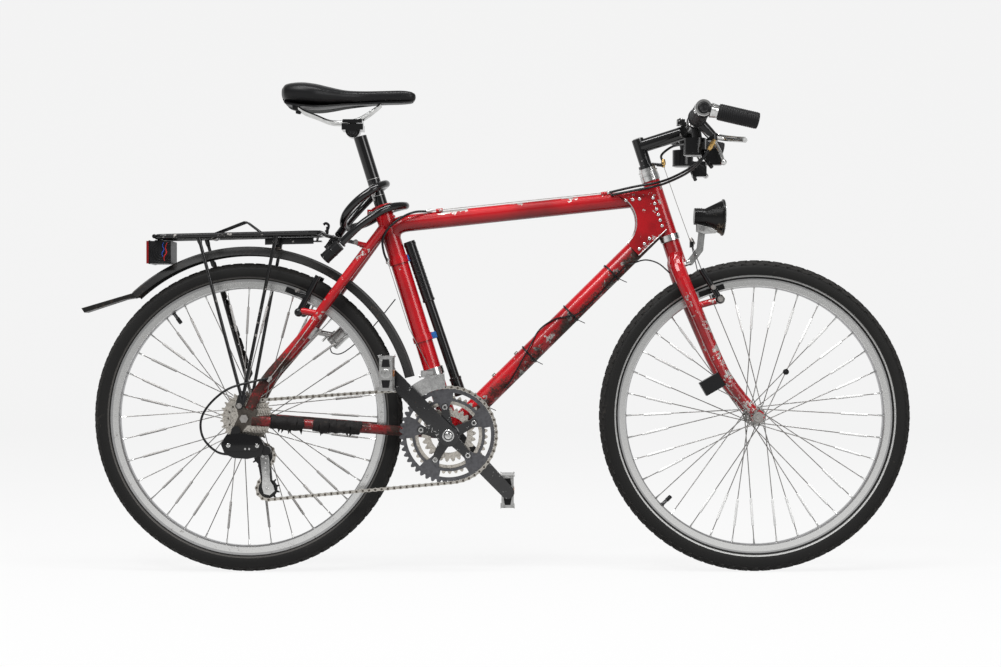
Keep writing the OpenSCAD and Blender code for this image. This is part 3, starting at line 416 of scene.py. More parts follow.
@dataclass(frozen=True)
class Patch:
    """A side or an end of a piece that is more chipped or more dirty than the rest."""

    centre: tuple[float, float, float]
    toward: tuple[float, float, float]
    low: float
    high: float
    chips: float = 0.0
    grime: float = 0.0

    def mask(self, g: Graph, place: bpy.types.NodeSocket) -> bpy.types.NodeSocket:
        """Rises from 0 at low to 1 at high, in millimetres along toward from the centre.

        Args:
            g: The node tree.
            place: The position's output.

        Returns:
            The mask's output.
        """
        off = g.add(
            "ShaderNodeVectorMath", {"operation": "SUBTRACT"}, {0: place, 1: tuple(at(*self.centre))}
        )
        along = g.add(
            "ShaderNodeVectorMath",
            {"operation": "DOT_PRODUCT"},
            {0: off.outputs[0], 1: tuple(Vector(self.toward).normalized())},
        )
        return g.rise(along.outputs["Value"], self.low * MM, self.high * MM)


class Shop:
    """Makes each finish once and keeps the shader groups that they share."""

    def __init__(self) -> None:
        """Builds the shared groups."""
        self.weather = weather_group()
        self.scuffs = scuff_group()
        self.band = band_group()
        self.made: dict[str, bpy.types.Material] = {}

    def get(self, finish: "Finish") -> bpy.types.Material:
        """The material of a finish, built at its first use."""
        if finish.name not in self.made:
            material = bpy.data.materials.new(finish.name)
            material.use_nodes = True
            material.node_tree.nodes.clear()
            g = Graph(material.node_tree)
            out = g.add("ShaderNodeOutputMaterial")
            shader = g.add("ShaderNodeBsdfPrincipled")
            g.put(out.inputs["Surface"], shader.outputs[0])
            shader.inputs["Specular IOR Level"].default_value = finish.shine
            place = g.add("ShaderNodeTexCoord").outputs["Object"]
            finish.fill(self, g, shader.inputs, place)
            material.diffuse_color = (*finish.colour, 1.0)
            self.made[finish.name] = material
        return self.made[finish.name]


def relief(g: Graph, height: Value, strength: float, depth: float) -> bpy.types.NodeSocket:
    """A bump normal from a height between 0 and 1.

    Args:
        g: The node tree.
        height: The height's output.
        strength: How strong the bump is.
        depth: How deep it is, in millimetres.

    Returns:
        The normal's output.
    """
    made = g.add("ShaderNodeBump", None, {"Strength": strength, "Distance": depth * MM, "Height": height})
    return made.outputs[0]


@dataclass(frozen=True)
class Finish:
    """What every finish has."""

    name: str
    colour: tuple[float, float, float]
    shine: float = 0.5

    def fill(
        self, shop: Shop, g: Graph, sockets: bpy.types.NodeInputs, place: bpy.types.NodeSocket
    ) -> None:
        """Joins the finish's nodes to the shader's sockets.

        Args:
            shop: The maker of the shared groups.
            g: The material's node tree.
            sockets: The shader's inputs.
            place: The position's output.
        """
        raise NotImplementedError


@dataclass(frozen=True)
class Paint(Finish):
    """Gloss or satin paint, chipped to the metal and dirty."""

    shine: float = 0.3
    shade: tuple[float, float, float] = (0.24, 0.002, 0.005)
    bare: tuple[float, float, float] = (0.62, 0.60, 0.57)
    dirt: tuple[float, float, float] = (0.028, 0.022, 0.017)
    chips: float = 0.3
    chip_scale: float = 110.0
    grime: float = 0.25
    grime_scale: float = 26.0
    gloss: float = 0.26
    bare_metal: float = 0.55
    coat: float = 0.4
    patches: tuple[Patch, ...] = ()

    def fill(
        self, shop: Shop, g: Graph, sockets: bpy.types.NodeInputs, place: bpy.types.NodeSocket
    ) -> None:
        """Paint under chips under grime."""
        chips: Value = self.chips
        grime: Value = self.grime
        for patch in self.patches:
            mask = patch.mask(g, place)
            if patch.chips:
                chips = g.maths("ADD", chips, g.maths("MULTIPLY", mask, patch.chips))
            if patch.grime:
                grime = g.maths("ADD", grime, g.maths("MULTIPLY", mask, patch.grime))
        worn = g.group(
            shop.weather,
            Place=place,
            Chip_scale=self.chip_scale,
            Chip_share=chips,
            Grime_scale=self.grime_scale,
            Grime_share=grime,
        ).outputs
        tone = g.rise(worn["Tone"], 0.35, 0.75)
        paint = g.mix(tone, self.colour, self.shade)
        metal = g.mix(g.noise(place, 260.0, 3.0), self.bare, tuple(c * 0.45 for c in self.bare))
        under = g.mix(worn["Chips"], paint, metal)
        film = g.maths("MULTIPLY", worn["Grime"], 0.94)
        g.put(sockets["Base Color"], g.mix(film, under, self.dirt))
        clean = g.maths("SUBTRACT", 1.0, film)
        bare = g.maths("MULTIPLY", worn["Chips"], clean)
        g.put(sockets["Metallic"], g.maths("MULTIPLY", bare, self.bare_metal))
        rough = g.lerp(worn["Chips"], self.gloss, 0.42)
        g.put(sockets["Roughness"], g.lerp(film, rough, 0.82))
        unchipped = g.maths("SUBTRACT", 1.0, worn["Chips"])
        coat = g.maths("MULTIPLY", g.maths("MULTIPLY", clean, unchipped), self.coat)
        g.put(sockets["Coat Weight"], coat)
        sockets["Coat Roughness"].default_value = 0.08
        g.put(sockets["Normal"], relief(g, worn["Relief"], 0.5, 0.5))


@dataclass(frozen=True)
class Metal(Finish):
    """Bare metal with dull spots, dirt or rust."""

    spot: tuple[float, float, float] = (0.10, 0.075, 0.055)
    spots: float = 0.35
    scale: float = 70.0
    rough: float = 0.32
    metallic: float = 1.0
    depth: float = 0.25

    def fill(
        self, shop: Shop, g: Graph, sockets: bpy.types.NodeInputs, place: bpy.types.NodeSocket
    ) -> None:
        """Metal with spots."""
        marks = g.group(shop.scuffs, Place=place, Scale=self.scale, Spot_share=self.spots).outputs
        tone = g.mix(g.rise(marks["Tone"], 0.3, 0.7), self.colour, tuple(c * 0.72 for c in self.colour))
        g.put(sockets["Base Color"], g.mix(marks["Spots"], tone, self.spot))
        dull = g.maths("MULTIPLY", marks["Spots"], 0.85)
        g.put(sockets["Metallic"], g.maths("MULTIPLY", g.maths("SUBTRACT", 1.0, dull), self.metallic))
        g.put(sockets["Roughness"], g.lerp(marks["Spots"], self.rough, 0.75))
        g.put(sockets["Normal"], relief(g, marks["Relief"], 0.35, self.depth))


@dataclass(frozen=True)
class Moulded(Finish):
    """Plastic, rubber or smooth cover, with a little dust."""

    shine: float = 0.25
    dust: tuple[float, float, float] = (0.19, 0.165, 0.14)
    dusty: float = 0.25
    scale: float = 34.0
    rough: float = 0.5
    depth: float = 0.2
    coat: float = 0.0
    grain: float = 0.0
    patches: tuple[Patch, ...] = ()

    def fill(
        self, shop: Shop, g: Graph, sockets: bpy.types.NodeInputs, place: bpy.types.NodeSocket
    ) -> None:
        """A moulded surface with dust in its low places."""
        share: Value = self.dusty
        for patch in self.patches:
            share = g.maths("ADD", share, g.maths("MULTIPLY", patch.mask(g, place), patch.grime))
        marks = g.group(shop.scuffs, Place=place, Scale=self.scale, Spot_share=share).outputs
        tone = g.mix(marks["Tone"], self.colour, tuple(c * 1.7 for c in self.colour))
        film = g.maths("MULTIPLY", marks["Spots"], 0.8)
        g.put(sockets["Base Color"], g.mix(film, tone, self.dust))
        g.put(sockets["Roughness"], g.lerp(film, self.rough, 0.9))
        if self.coat:
            g.put(sockets["Coat Weight"], g.maths("MULTIPLY", g.maths("SUBTRACT", 1.0, film), self.coat))
        height = marks["Relief"]
        if self.grain:
            cells = g.add("ShaderNodeTexVoronoi", None, {"Vector": place, "Scale": self.grain}).outputs[0]
            height = g.maths("ADD", height, g.maths("MULTIPLY", cells, 0.9))
        g.put(sockets["Normal"], relief(g, height, 0.4, self.depth))


@dataclass(frozen=True)
class WheelFinish(Finish):
    """A finish in rings round an axle: each band has its own colour, roughness and metal."""

    shine: float = 0.25
    axle: tuple[float, float] = FRONT
    bands: tuple[tuple[float, float, tuple[float, float, float], float, float], ...] = ()
    rough: float = 0.5
    metallic: float = 0.0
    dust: tuple[float, float, float] = (0.17, 0.15, 0.13)
    dusty: float = 0.35
    scale: float = 40.0
    depth: float = 0.3

    def fill(
        self, shop: Shop, g: Graph, sockets: bpy.types.NodeInputs, place: bpy.types.NodeSocket
    ) -> None:
        """Bands, then dirt."""
        axle = tuple(at(self.axle[0], 0.0, self.axle[1]))
        local = g.add("ShaderNodeVectorMath", {"operation": "SUBTRACT"}, {0: place, 1: axle}).outputs[0]
        marks = g.group(shop.scuffs, Place=place, Scale=self.scale, Spot_share=self.dusty).outputs
        colour: Value = g.mix(marks["Tone"], self.colour, tuple(c * 1.5 for c in self.colour))
        rough: Value = self.rough
        metal: Value = self.metallic
        for inner, outer, shade, roughness, metallic in self.bands:
            ring = g.group(shop.band, Place=local, Inner=inner * MM, Outer=outer * MM)
            share = ring.outputs["Band"]
            colour = g.mix(share, colour, shade)
            rough = g.lerp(share, rough, roughness)
            metal = g.lerp(share, metal, metallic)
        film = g.maths("MULTIPLY", marks["Spots"], 0.7)
        g.put(sockets["Base Color"], g.mix(film, colour, self.dust))
        g.put(sockets["Roughness"], g.lerp(film, rough, 0.85))
        g.put(sockets["Metallic"], g.maths("MULTIPLY", metal, g.maths("SUBTRACT", 1.0, film)))
        g.put(sockets["Normal"], relief(g, marks["Relief"], 0.4, self.depth))


@dataclass(frozen=True)
class Lens(Finish):
    """Clear or coloured glass or plastic, a little scratched."""

    rough: float = 0.12
    clear: float = 0.85

    def fill(
        self, shop: Shop, g: Graph, sockets: bpy.types.NodeInputs, place: bpy.types.NodeSocket
    ) -> None:
        """A lens with a mottled tone."""
        marks = g.group(shop.scuffs, Place=place, Scale=90.0, Spot_share=0.3).outputs
        g.put(
            sockets["Base Color"], g.mix(marks["Spots"], self.colour, tuple(c * 0.6 for c in self.colour))
        )
        g.put(sockets["Roughness"], g.lerp(marks["Spots"], self.rough, 0.4))
        sockets["Transmission Weight"].default_value = self.clear
        sockets["IOR"].default_value = 1.45
        g.put(sockets["Normal"], relief(g, marks["Relief"], 0.2, 0.2))


SILVER = (0.66, 0.66, 0.65)
RED = (0.52, 0.004, 0.010)

HEAD_RED = Paint("red_head", RED, chips=0.42, grime=0.12, chip_scale=95.0)
TOP_RED = Paint(
    "red_top_tube",
    RED,
    chips=0.36,
    grime=0.14,
    chip_scale=85.0,
    patches=(
        Patch((560.0, 0.0, 741.0), (-0.106, 0.0, 0.994), 6.0, 16.0, chips=0.34),
        Patch((700.0, 0.0, 756.0), (1.0, 0.0, 0.1), 0.0, 90.0, chips=0.12),
    ),
)
DOWN_RED = Paint(
    "red_down_tube",
    RED,
    chips=0.36,
    grime=0.22,
    chip_scale=70.0,
    patches=(
        Patch((620.0, 0.0, 488.0), (0.70, -0.1, -0.71), -13.0, 8.0, chips=0.34, grime=0.45),
        Patch((800.0, 0.0, 670.0), (-0.7, 0.0, -0.7), 60.0, -20.0, chips=0.0, grime=0.18),
        Patch((470.0, 0.0, 340.0), (0.7, 0.0, 0.7), -60.0, 50.0, grime=0.16),
    ),
)
SEAT_RED = Paint("red_seat_tube", RED, chips=0.24, grime=0.18, chip_scale=120.0)
STAY_RED = Paint(
    "red_seat_stays",
    RED,
    chips=0.42,
    grime=0.34,
    chip_scale=150.0,
    patches=(Patch((120.0, 0.0, 480.0), (-0.6, 0.0, -0.8), -80.0, 110.0, chips=0.08, grime=0.56),),
)
CHAIN_STAY_RED = Paint(
    "red_chain_stays",
    (0.26, 0.006, 0.008),
    chips=0.44,
    grime=0.74,
    chip_scale=120.0,
)
FORK_RED = Paint(
    "red_fork",
    RED,
    chips=0.34,
    grime=0.22,
    chip_scale=170.0,
    patches=(
        Patch((960.0, 0.0, 440.0), (0.95, -0.1, 0.2), -6.0, 12.0, chips=0.12),
        Patch((930.0, -44.0, 560.0), (0.0, -1.0, 0.0), 0.0, 14.0, chips=0.34),
    ),
)
BLACK = Paint(
    "black_paint",
    (0.005, 0.005, 0.006),
    shade=(0.009, 0.009, 0.009),
    bare=(0.42, 0.40, 0.38),
    dirt=(0.05, 0.042, 0.035),
    chips=0.26,
    grime=0.16,
    chip_scale=150.0,
    gloss=0.2,
)
GLOSS_BLACK = Paint(
    "gloss_black",
    (0.003, 0.003, 0.0035),
    shade=(0.006, 0.006, 0.006),
    bare=(0.55, 0.54, 0.53),
    chips=0.2,
    grime=0.06,
    chip_scale=170.0,
    gloss=0.16,
    bare_metal=0.9,
)
POST_BLACK = Paint(
    "post_black",
    (0.003, 0.003, 0.0035),
    shade=(0.006, 0.006, 0.006),
    bare=(0.62, 0.61, 0.60),
    chips=0.18,
    grime=0.08,
    chip_scale=170.0,
    gloss=0.16,
    bare_metal=0.95,
    patches=(Patch((258.0, 0.0, 800.0), (0.3, 0.0, -0.95), -20.0, 24.0, chips=0.7),),
)
DULL_ALLOY = Metal(
    "dull_alloy", (0.54, 0.54, 0.53), spot=(0.05, 0.042, 0.035), spots=0.4, rough=0.36, scale=80.0
)
BRIGHT_ALLOY = Metal("bright_alloy", SILVER, spot=(0.06, 0.05, 0.042), spots=0.24, rough=0.18, scale=90.0)
DIRTY_ALLOY = Metal("dirty_alloy", (0.44, 0.43, 0.41), spots=0.5, rough=0.4, scale=120.0)
STEEL = Metal("steel", (0.46, 0.44, 0.42), spot=(0.16, 0.075, 0.035), spots=0.34, rough=0.34, scale=110.0)
RUSTY_STEEL = Metal(
    "rusty_steel", (0.36, 0.32, 0.29), spot=(0.17, 0.07, 0.03), spots=0.6, rough=0.5, scale=140.0
)
CHAIN_STEEL = Metal(
    "chain_steel", (0.62, 0.59, 0.54), spot=(0.05, 0.037, 0.027), spots=0.42, rough=0.26, scale=300.0
)
LINK_DARK = Metal(
    "inner_links", (0.13, 0.115, 0.10), spot=(0.02, 0.015, 0.012), spots=0.5, rough=0.4, scale=300.0
)
COG_STEEL = Metal(
    "cog_steel", (0.66, 0.62, 0.56), spot=(0.05, 0.038, 0.03), spots=0.46, rough=0.24, scale=220.0
)
SPOKE_STEEL = Metal(
    "spoke_steel", (0.30, 0.29, 0.28), spot=(0.05, 0.035, 0.025), spots=0.5, rough=0.34, scale=60.0
)
RING_GREY = Metal(
    "ring_grey", (0.155, 0.155, 0.165), spot=(0.03, 0.026, 0.023), spots=0.4, rough=0.3, scale=150.0
)
CRANK_BLACK = Paint(
    "crank_black",
    (0.010, 0.010, 0.011),
    shade=(0.035, 0.035, 0.037),
    bare=(0.62, 0.62, 0.61),
    chips=0.40,
    grime=0.12,
    chip_scale=210.0,
    gloss=0.16,
    bare_metal=1.0,
    coat=0.6,
)
BRASS = Metal("brass", (0.56, 0.36, 0.13), spots=0.2, rough=0.3)
MATT_BLACK = Moulded("matt_black", (0.006, 0.006, 0.0065), rough=0.42, dusty=0.16, dust=(0.09, 0.08, 0.07))
SOFT_BLACK = Moulded(
    "soft_black", (
        0.005, 0.005, 0.0055
    ), rough=0.5, dusty=0.2, dust=(0.07, 0.065, 0.06), depth=0.3, grain=900.0
)
SATIN_BLACK = Moulded(
    "satin_black", (0.004, 0.004, 0.0045), rough=0.22, dusty=0.16, dust=(0.10, 0.09, 0.08), coat=0.2
)
CABLE_BLACK = Moulded("cable_black", (0.004, 0.004, 0.0045), rough=0.34, dusty=0.18, scale=60.0, coat=0.15)
LOCK_BLACK = Moulded("lock_sleeve", (0.003, 0.003, 0.0035), rough=0.2, dusty=0.14, scale=50.0, coat=0.5)
HIDE = Moulded(
    "saddle_cover", (0.004, 0.004, 0.0045), rough=0.38, dusty=0.12, scale=22.0, depth=0.12, grain=1300.0
)
GUARD_BLACK = Moulded(
    "mudguard_plastic",
    (0.007, 0.0068, 0.0065),
    rough=0.4,
    dusty=0.42,
    dust=(0.062, 0.046, 0.034),
    scale=20.0,
    patches=(Patch((-200.0, 0.0, 600.0), (-0.8, 0.0, -0.3), -40.0, 90.0, grime=0.22),),
)
HORN_BLACK = Moulded(
    "lamp_shell",
    (0.006, 0.006, 0.006),
    rough=0.28,
    dusty=0.24,
    dust=(0.34, 0.28, 0.21),
    scale=40.0,
    patches=(Patch((960.0, 0.0, 722.0), (0.25, 0.0, -1.0), -4.0, 24.0, grime=0.5),),
)
TAPE = Moulded(
    "tape", (0.007, 0.006, 0.006), rough=0.7, dusty=0.42, dust=(0.06, 0.043, 0.032), scale=90.0, depth=1.2
)
BLUE = Moulded("blue_plastic", (0.02, 0.10, 0.30), rough=0.4, dusty=0.24)
WHITE_STICK = Moulded(
    "reflector_white", (0.80, 0.80, 0.79), rough=0.34, dusty=0.22, dust=(0.42, 0.40, 0.37)
)
GREY_STICK = Moulded("reflector_grey", (0.42, 0.41, 0.40), rough=0.4, dusty=0.5, dust=(0.15, 0.13, 0.11))
RED_WIRE = Moulded("red_wire", (0.40, 0.02, 0.02), rough=0.4)
BLUE_WIRE = Moulded("blue_wire", (0.02, 0.06, 0.30), rough=0.4)
AMBER = Lens("amber_reflector", (0.75, 0.26, 0.02), clear=0.35)
RED_LENS = Lens("red_lens", (0.42, 0.012, 0.014), clear=0.4, rough=0.2)
CLEAR_LENS = Lens("clear_lens", (0.86, 0.88, 0.86), clear=0.9, rough=0.08)
MIRROR = Metal("lamp_mirror", (0.86, 0.86, 0.85), spots=0.14, rough=0.08, scale=30.0)


def tyre_finish(
    name: str, axle: tuple[float, float], outer: float, ring: tuple[float, float, float]
) -> WheelFinish:
    """Dusty rubber with a paler tread and a thin light ring on the wall.

    Args:
        name: The finish's name.
        axle: The wheel's middle as (x, z).
        outer: The tyre's radius.
        ring: The light ring's colour.

    Returns:
        The finish.
    """
    return WheelFinish(
        name,
        (0.0065, 0.0063, 0.006),
        axle=axle,
        bands=(
            (outer - 9.0, outer + 3.0, (0.022, 0.021, 0.020), 0.8, 0.0),
            (286.2, 288.4, ring, 0.4, 0.0),
        ),
        rough=0.62,
        dust=(0.050, 0.045, 0.040),
        dusty=0.34,
        scale=26.0,
        depth=0.35,
    )


def rim_finish(name: str, axle: tuple[float, float], dusty: float) -> WheelFinish:
    """A grey rim with bright rubbed brake tracks.

    Args:
        name: The finish's name.
        axle: The wheel's middle as (x, z).
        dusty: How dirty it is.

    Returns:
        The finish.
    """
    return WheelFinish(
        name,
        (0.34, 0.34, 0.345),
        axle=axle,
        bands=((266.5, 279.0, (0.70, 0.70, 0.69), 0.26, 1.0), (279.0, 290.0, (0.42, 0.42, 0.42), 0.3, 1.0)),
        rough=0.36,
        metallic=0.9,
        dust=(0.16, 0.14, 0.12),
        dusty=dusty,
        scale=60.0,
        depth=0.12,
    )


# ---- meshes ----

SMOOTH_UNDER = math.radians(34.0)


def finish_mesh(name: str, bm: bmesh.types.BMesh, material: bpy.types.Material) -> bpy.types.Object:
    """Turns a mesh being made into an object at the origin, smooth except at its sharp edges.

    Args:
        name: The piece's name.
        bm: The mesh, in metres, which is freed.
        material: Its finish.

    Returns:
        The object, in the scene.
    """
    bmesh.ops.recalc_face_normals(bm, faces=bm.faces)
    for face in bm.faces:
        face.smooth = True
    for edge in bm.edges:
        edge.smooth = len(edge.link_faces) == 2 and edge.calc_face_angle(0.0) < SMOOTH_UNDER
    mesh = bpy.data.meshes.new(name)
    bm.to_mesh(mesh)
    bm.free()
    mesh.materials.append(material)
    made = bpy.data.objects.new(name, mesh)
    bpy.context.scene.collection.objects.link(made)
    return made


def smooth_path(points: Sequence[Vector], steps: int = 6) -> list[Vector]:
    """A smooth curve through the points, with a number of steps to a span.

    Args:
        points: The points that it goes through.
        steps: How many steps each span gets.

    Returns:
        The curve's points.
    """
    ends = [points[0] * 2 - points[1], *points, points[-1] * 2 - points[-2]]
    found = []
    for i in range(1, len(ends) - 2):
        a, b, c, d = ends[i - 1 : i + 3]
        for k in range(steps):
            t = k / steps
            found.append(
                0.5 * (
                    2 * b + (c - a) * t + (
                        2 * a - 5 * b + 4 * c - d
                    ) * t**2 + (3 * b - a - 3 * c + d) * t**3
                )
            )
    return [*found, points[-1].copy()]


def frames(path: Sequence[Vector], closed: bool = False) -> list[tuple[Vector, Vector]]:
    """Two directions across a path at each of its points, turned as little as possible along it.

    Args:
        path: The path's points.
        closed: Whether its end joins its start.

    Returns:
        Two unit vectors for each point.
    """
    found = []
    n = len(path)
    last = None
    for i in range(n):
        if closed:
            along = path[(i + 1) % n] - path[i - 1]
        else:
            along = path[min(i + 1, n - 1)] - path[max(i - 1, 0)]
        along.normalize()
        if last is None:
            last = along.orthogonal().normalized()
        last = (last - along * last.dot(along)).normalized()
        found.append((last.copy(), along.cross(last).normalized()))
    return found


def add_tube(
    bm: bmesh.types.BMesh,
    path: Sequence[Vector],
    radius: float | Callable[[float], float],
    sides: int = 12,
    closed: bool = False,
) -> None:
    """Adds a tube along a path to a mesh.

    Args:
        bm: The mesh.
        path: The tube's centre line, in metres.
        radius: Its radius in millimetres, or a function of how far along it is, from 0 to 1.
        sides: How many sides it has.
        closed: Whether its ends are joined.
    """
    rings = []
    last = len(path) - 1
    for i, (point, (u, w)) in enumerate(zip(path, frames(path, closed))):
        r = (radius(i / last) if callable(radius) else radius) * MM
        ring = []
        for k in range(sides):
            a = 2 * math.pi * k / sides
            ring.append(bm.verts.new(point + r * (math.cos(a) * u + math.sin(a) * w)))
        rings.append(ring)
    pairs = list(zip(rings, rings[1:])) + ([(rings[-1], rings[0])] if closed else [])
    for one, two in pairs:
        for k in range(sides):
            j = (k + 1) % sides
            bm.faces.new((one[k], one[j], two[j], two[k]))
    if not closed:
        bm.faces.new(rings[0][::-1])
        bm.faces.new(rings[-1])


def add_turned(
    bm: bmesh.types.BMesh,
    start: Vector,
    along: Vector,
    profile: Sequence[tuple[float, float]],
    sides: int = 24,
    hex_top: bool = False,
) -> None:
    """Adds a turned shape: a profile of (distance along, radius) in millimetres round an axis.

    Args:
        bm: The mesh.
        start: Where the axis starts.
        along: Its direction.
        profile: The outline from one end to the other; a radius of 0 closes an end.
        sides: How many sides.
        hex_top: Whether the shape has six flat sides.
    """
    if hex_top:
        sides = 6
    axis = along.normalized()
    u = axis.orthogonal().normalized()
    w = axis.cross(u)
    rings = []
    for far, r in profile:
        centre = start + axis * far * MM
        if r <= 0:
            rings.append([bm.verts.new(centre)])
            continue
        turn = [2 * math.pi * k / sides for k in range(sides)]
        rings.append([bm.verts.new(centre + r * MM * (math.cos(a) * u + math.sin(a) * w)) for a in turn])
    for one, two in zip(rings, rings[1:]):
        for k in range(sides):
            j = (k + 1) % sides
            if len(one) == 1 and len(two) == 1:
                continue
            if len(one) == 1:
                bm.faces.new((one[0], two[j], two[k]))
            elif len(two) == 1:
                bm.faces.new((one[k], one[j], two[0]))
            else:
                bm.faces.new((one[k], one[j], two[j], two[k]))
    if len(rings[0]) > 1:
        bm.faces.new(rings[0][::-1])
    if len(rings[-1]) > 1:
        bm.faces.new(rings[-1])


def add_ring(
    bm: bmesh.types.BMesh, centre: Vector, profile: Sequence[tuple[float, float]], segments: int = 180
) -> None:
    """Adds a closed profile of (radius, y) in millimetres turned round an axle along Y.

    Args:
        bm: The mesh.
        centre: The axle's point.
        profile: The profile's corners.
        segments: How many steps a turn has.
    """
    rings = []
    for i in range(segments):
        a = 2 * math.pi * i / segments
        out = Vector((math.cos(a), 0.0, math.sin(a)))
        rings.append([bm.verts.new(centre + MM * (r * out + Vector((0.0, y, 0.0)))) for r, y in profile])
    n = len(profile)
    for i in range(segments):
        one, two = rings[i], rings[(i + 1) % segments]
        for k in range(n):
            j = (k + 1) % n
            bm.faces.new((one[k], one[j], two[j], two[k]))


def add_slab(
    bm: bmesh.types.BMesh, outline: Sequence[Vector], thick: Vector, bevel: float = 0.0
) -> None:
    """Adds a flat plate with rounded edges: an outline pushed out both ways by half of thick.

    Args:
        bm: The mesh.
        outline: The plate's corners.
        thick: The way through the plate.
        bevel: How round its edges are, in millimetres.
    """
    low = [bm.verts.new(p - thick / 2) for p in outline]
    high = [bm.verts.new(p + thick / 2) for p in outline]
    n = len(outline)
    faces = [bm.faces.new(low[::-1]), bm.faces.new(high)]
    for k in range(n):
        j = (k + 1) % n
        faces.append(bm.faces.new((low[k], low[j], high[j], high[k])))
    if bevel:
        edges = list(dict.fromkeys(e for f in faces[:2] for e in f.edges))
        bmesh.ops.bevel(bm, geom=edges, offset=bevel * MM, segments=2, affect="EDGES", profile=0.7)


def add_bolt(
    bm: bmesh.types.BMesh, head: Vector, out: Vector, r: float, tall: float, hexagon: bool
) -> None:
    """Adds a bolt's head that stands out of a surface: a hexagon on a washer, or a socket head.

    Args:
        bm: The mesh.
        head: The head's foot.
        out: The way that it faces.
        r: Its radius in millimetres.
        tall: Its height in millimetres.
        hexagon: Whether it is a hexagon on a washer.
    """
    if hexagon:
        add_turned(bm, head, out, [(0.0, r * 1.25), (0.8, r * 1.25), (0.8, r * 1.2)], 16)
        add_turned(
            bm, head + out.normalized() * 0.8 * MM, out, [(0, r), (tall * 0.85, r), (tall, r * 0.88)], 6
        )
    else:
        profile = [(0, r), (tall * 0.8, r), (tall, r * 0.85), (tall, r * 0.5), (tall * 0.35, r * 0.46)]
        add_turned(bm, head, out, [*profile, (tall * 0.35, 0)], 14)


def joined(
    name: str, build: Callable[[bmesh.types.BMesh], None], material: bpy.types.Material
) -> bpy.types.Object:
    """One piece out of a function that adds to an empty mesh.

    Args:
        name: The piece's name.
        build: The function that fills the mesh.
        material: Its material.

    Returns:
        The piece.
    """
    bm = bmesh.new()
    build(bm)
    return finish_mesh(name, bm, material)


# ---- repeated pieces ----


@dataclass
class Seats:
    """Places for a repeated piece: a point, a turn and a size for each."""

    points: list[Vector] = field(default_factory=list)
    turns: list[Quaternion] = field(default_factory=list)
    sizes: list[Vector] = field(default_factory=list)

    def add(
        self, point: Vector, along: Vector, up: Vector | None = None, size: Vector | None = None
    ) -> None:
        """Adds a place whose own X looks along a direction and whose Z is as near as can be to up.

        Args:
            point: The place.
            along: The way its own X looks.
            up: The way its Z is kept near.
            size: The copy's scale along its own axes.
        """
        x = along.normalized()
        z = (up or x.orthogonal()).copy()
        z = (z - x * z.dot(x)).normalized()
        y = z.cross(x)
        turn = Matrix((x, y, z)).transposed().to_quaternion()
        self.points.append(point)
        self.turns.append(turn)
        self.sizes.append(size or Vector((1.0, 1.0, 1.0)))


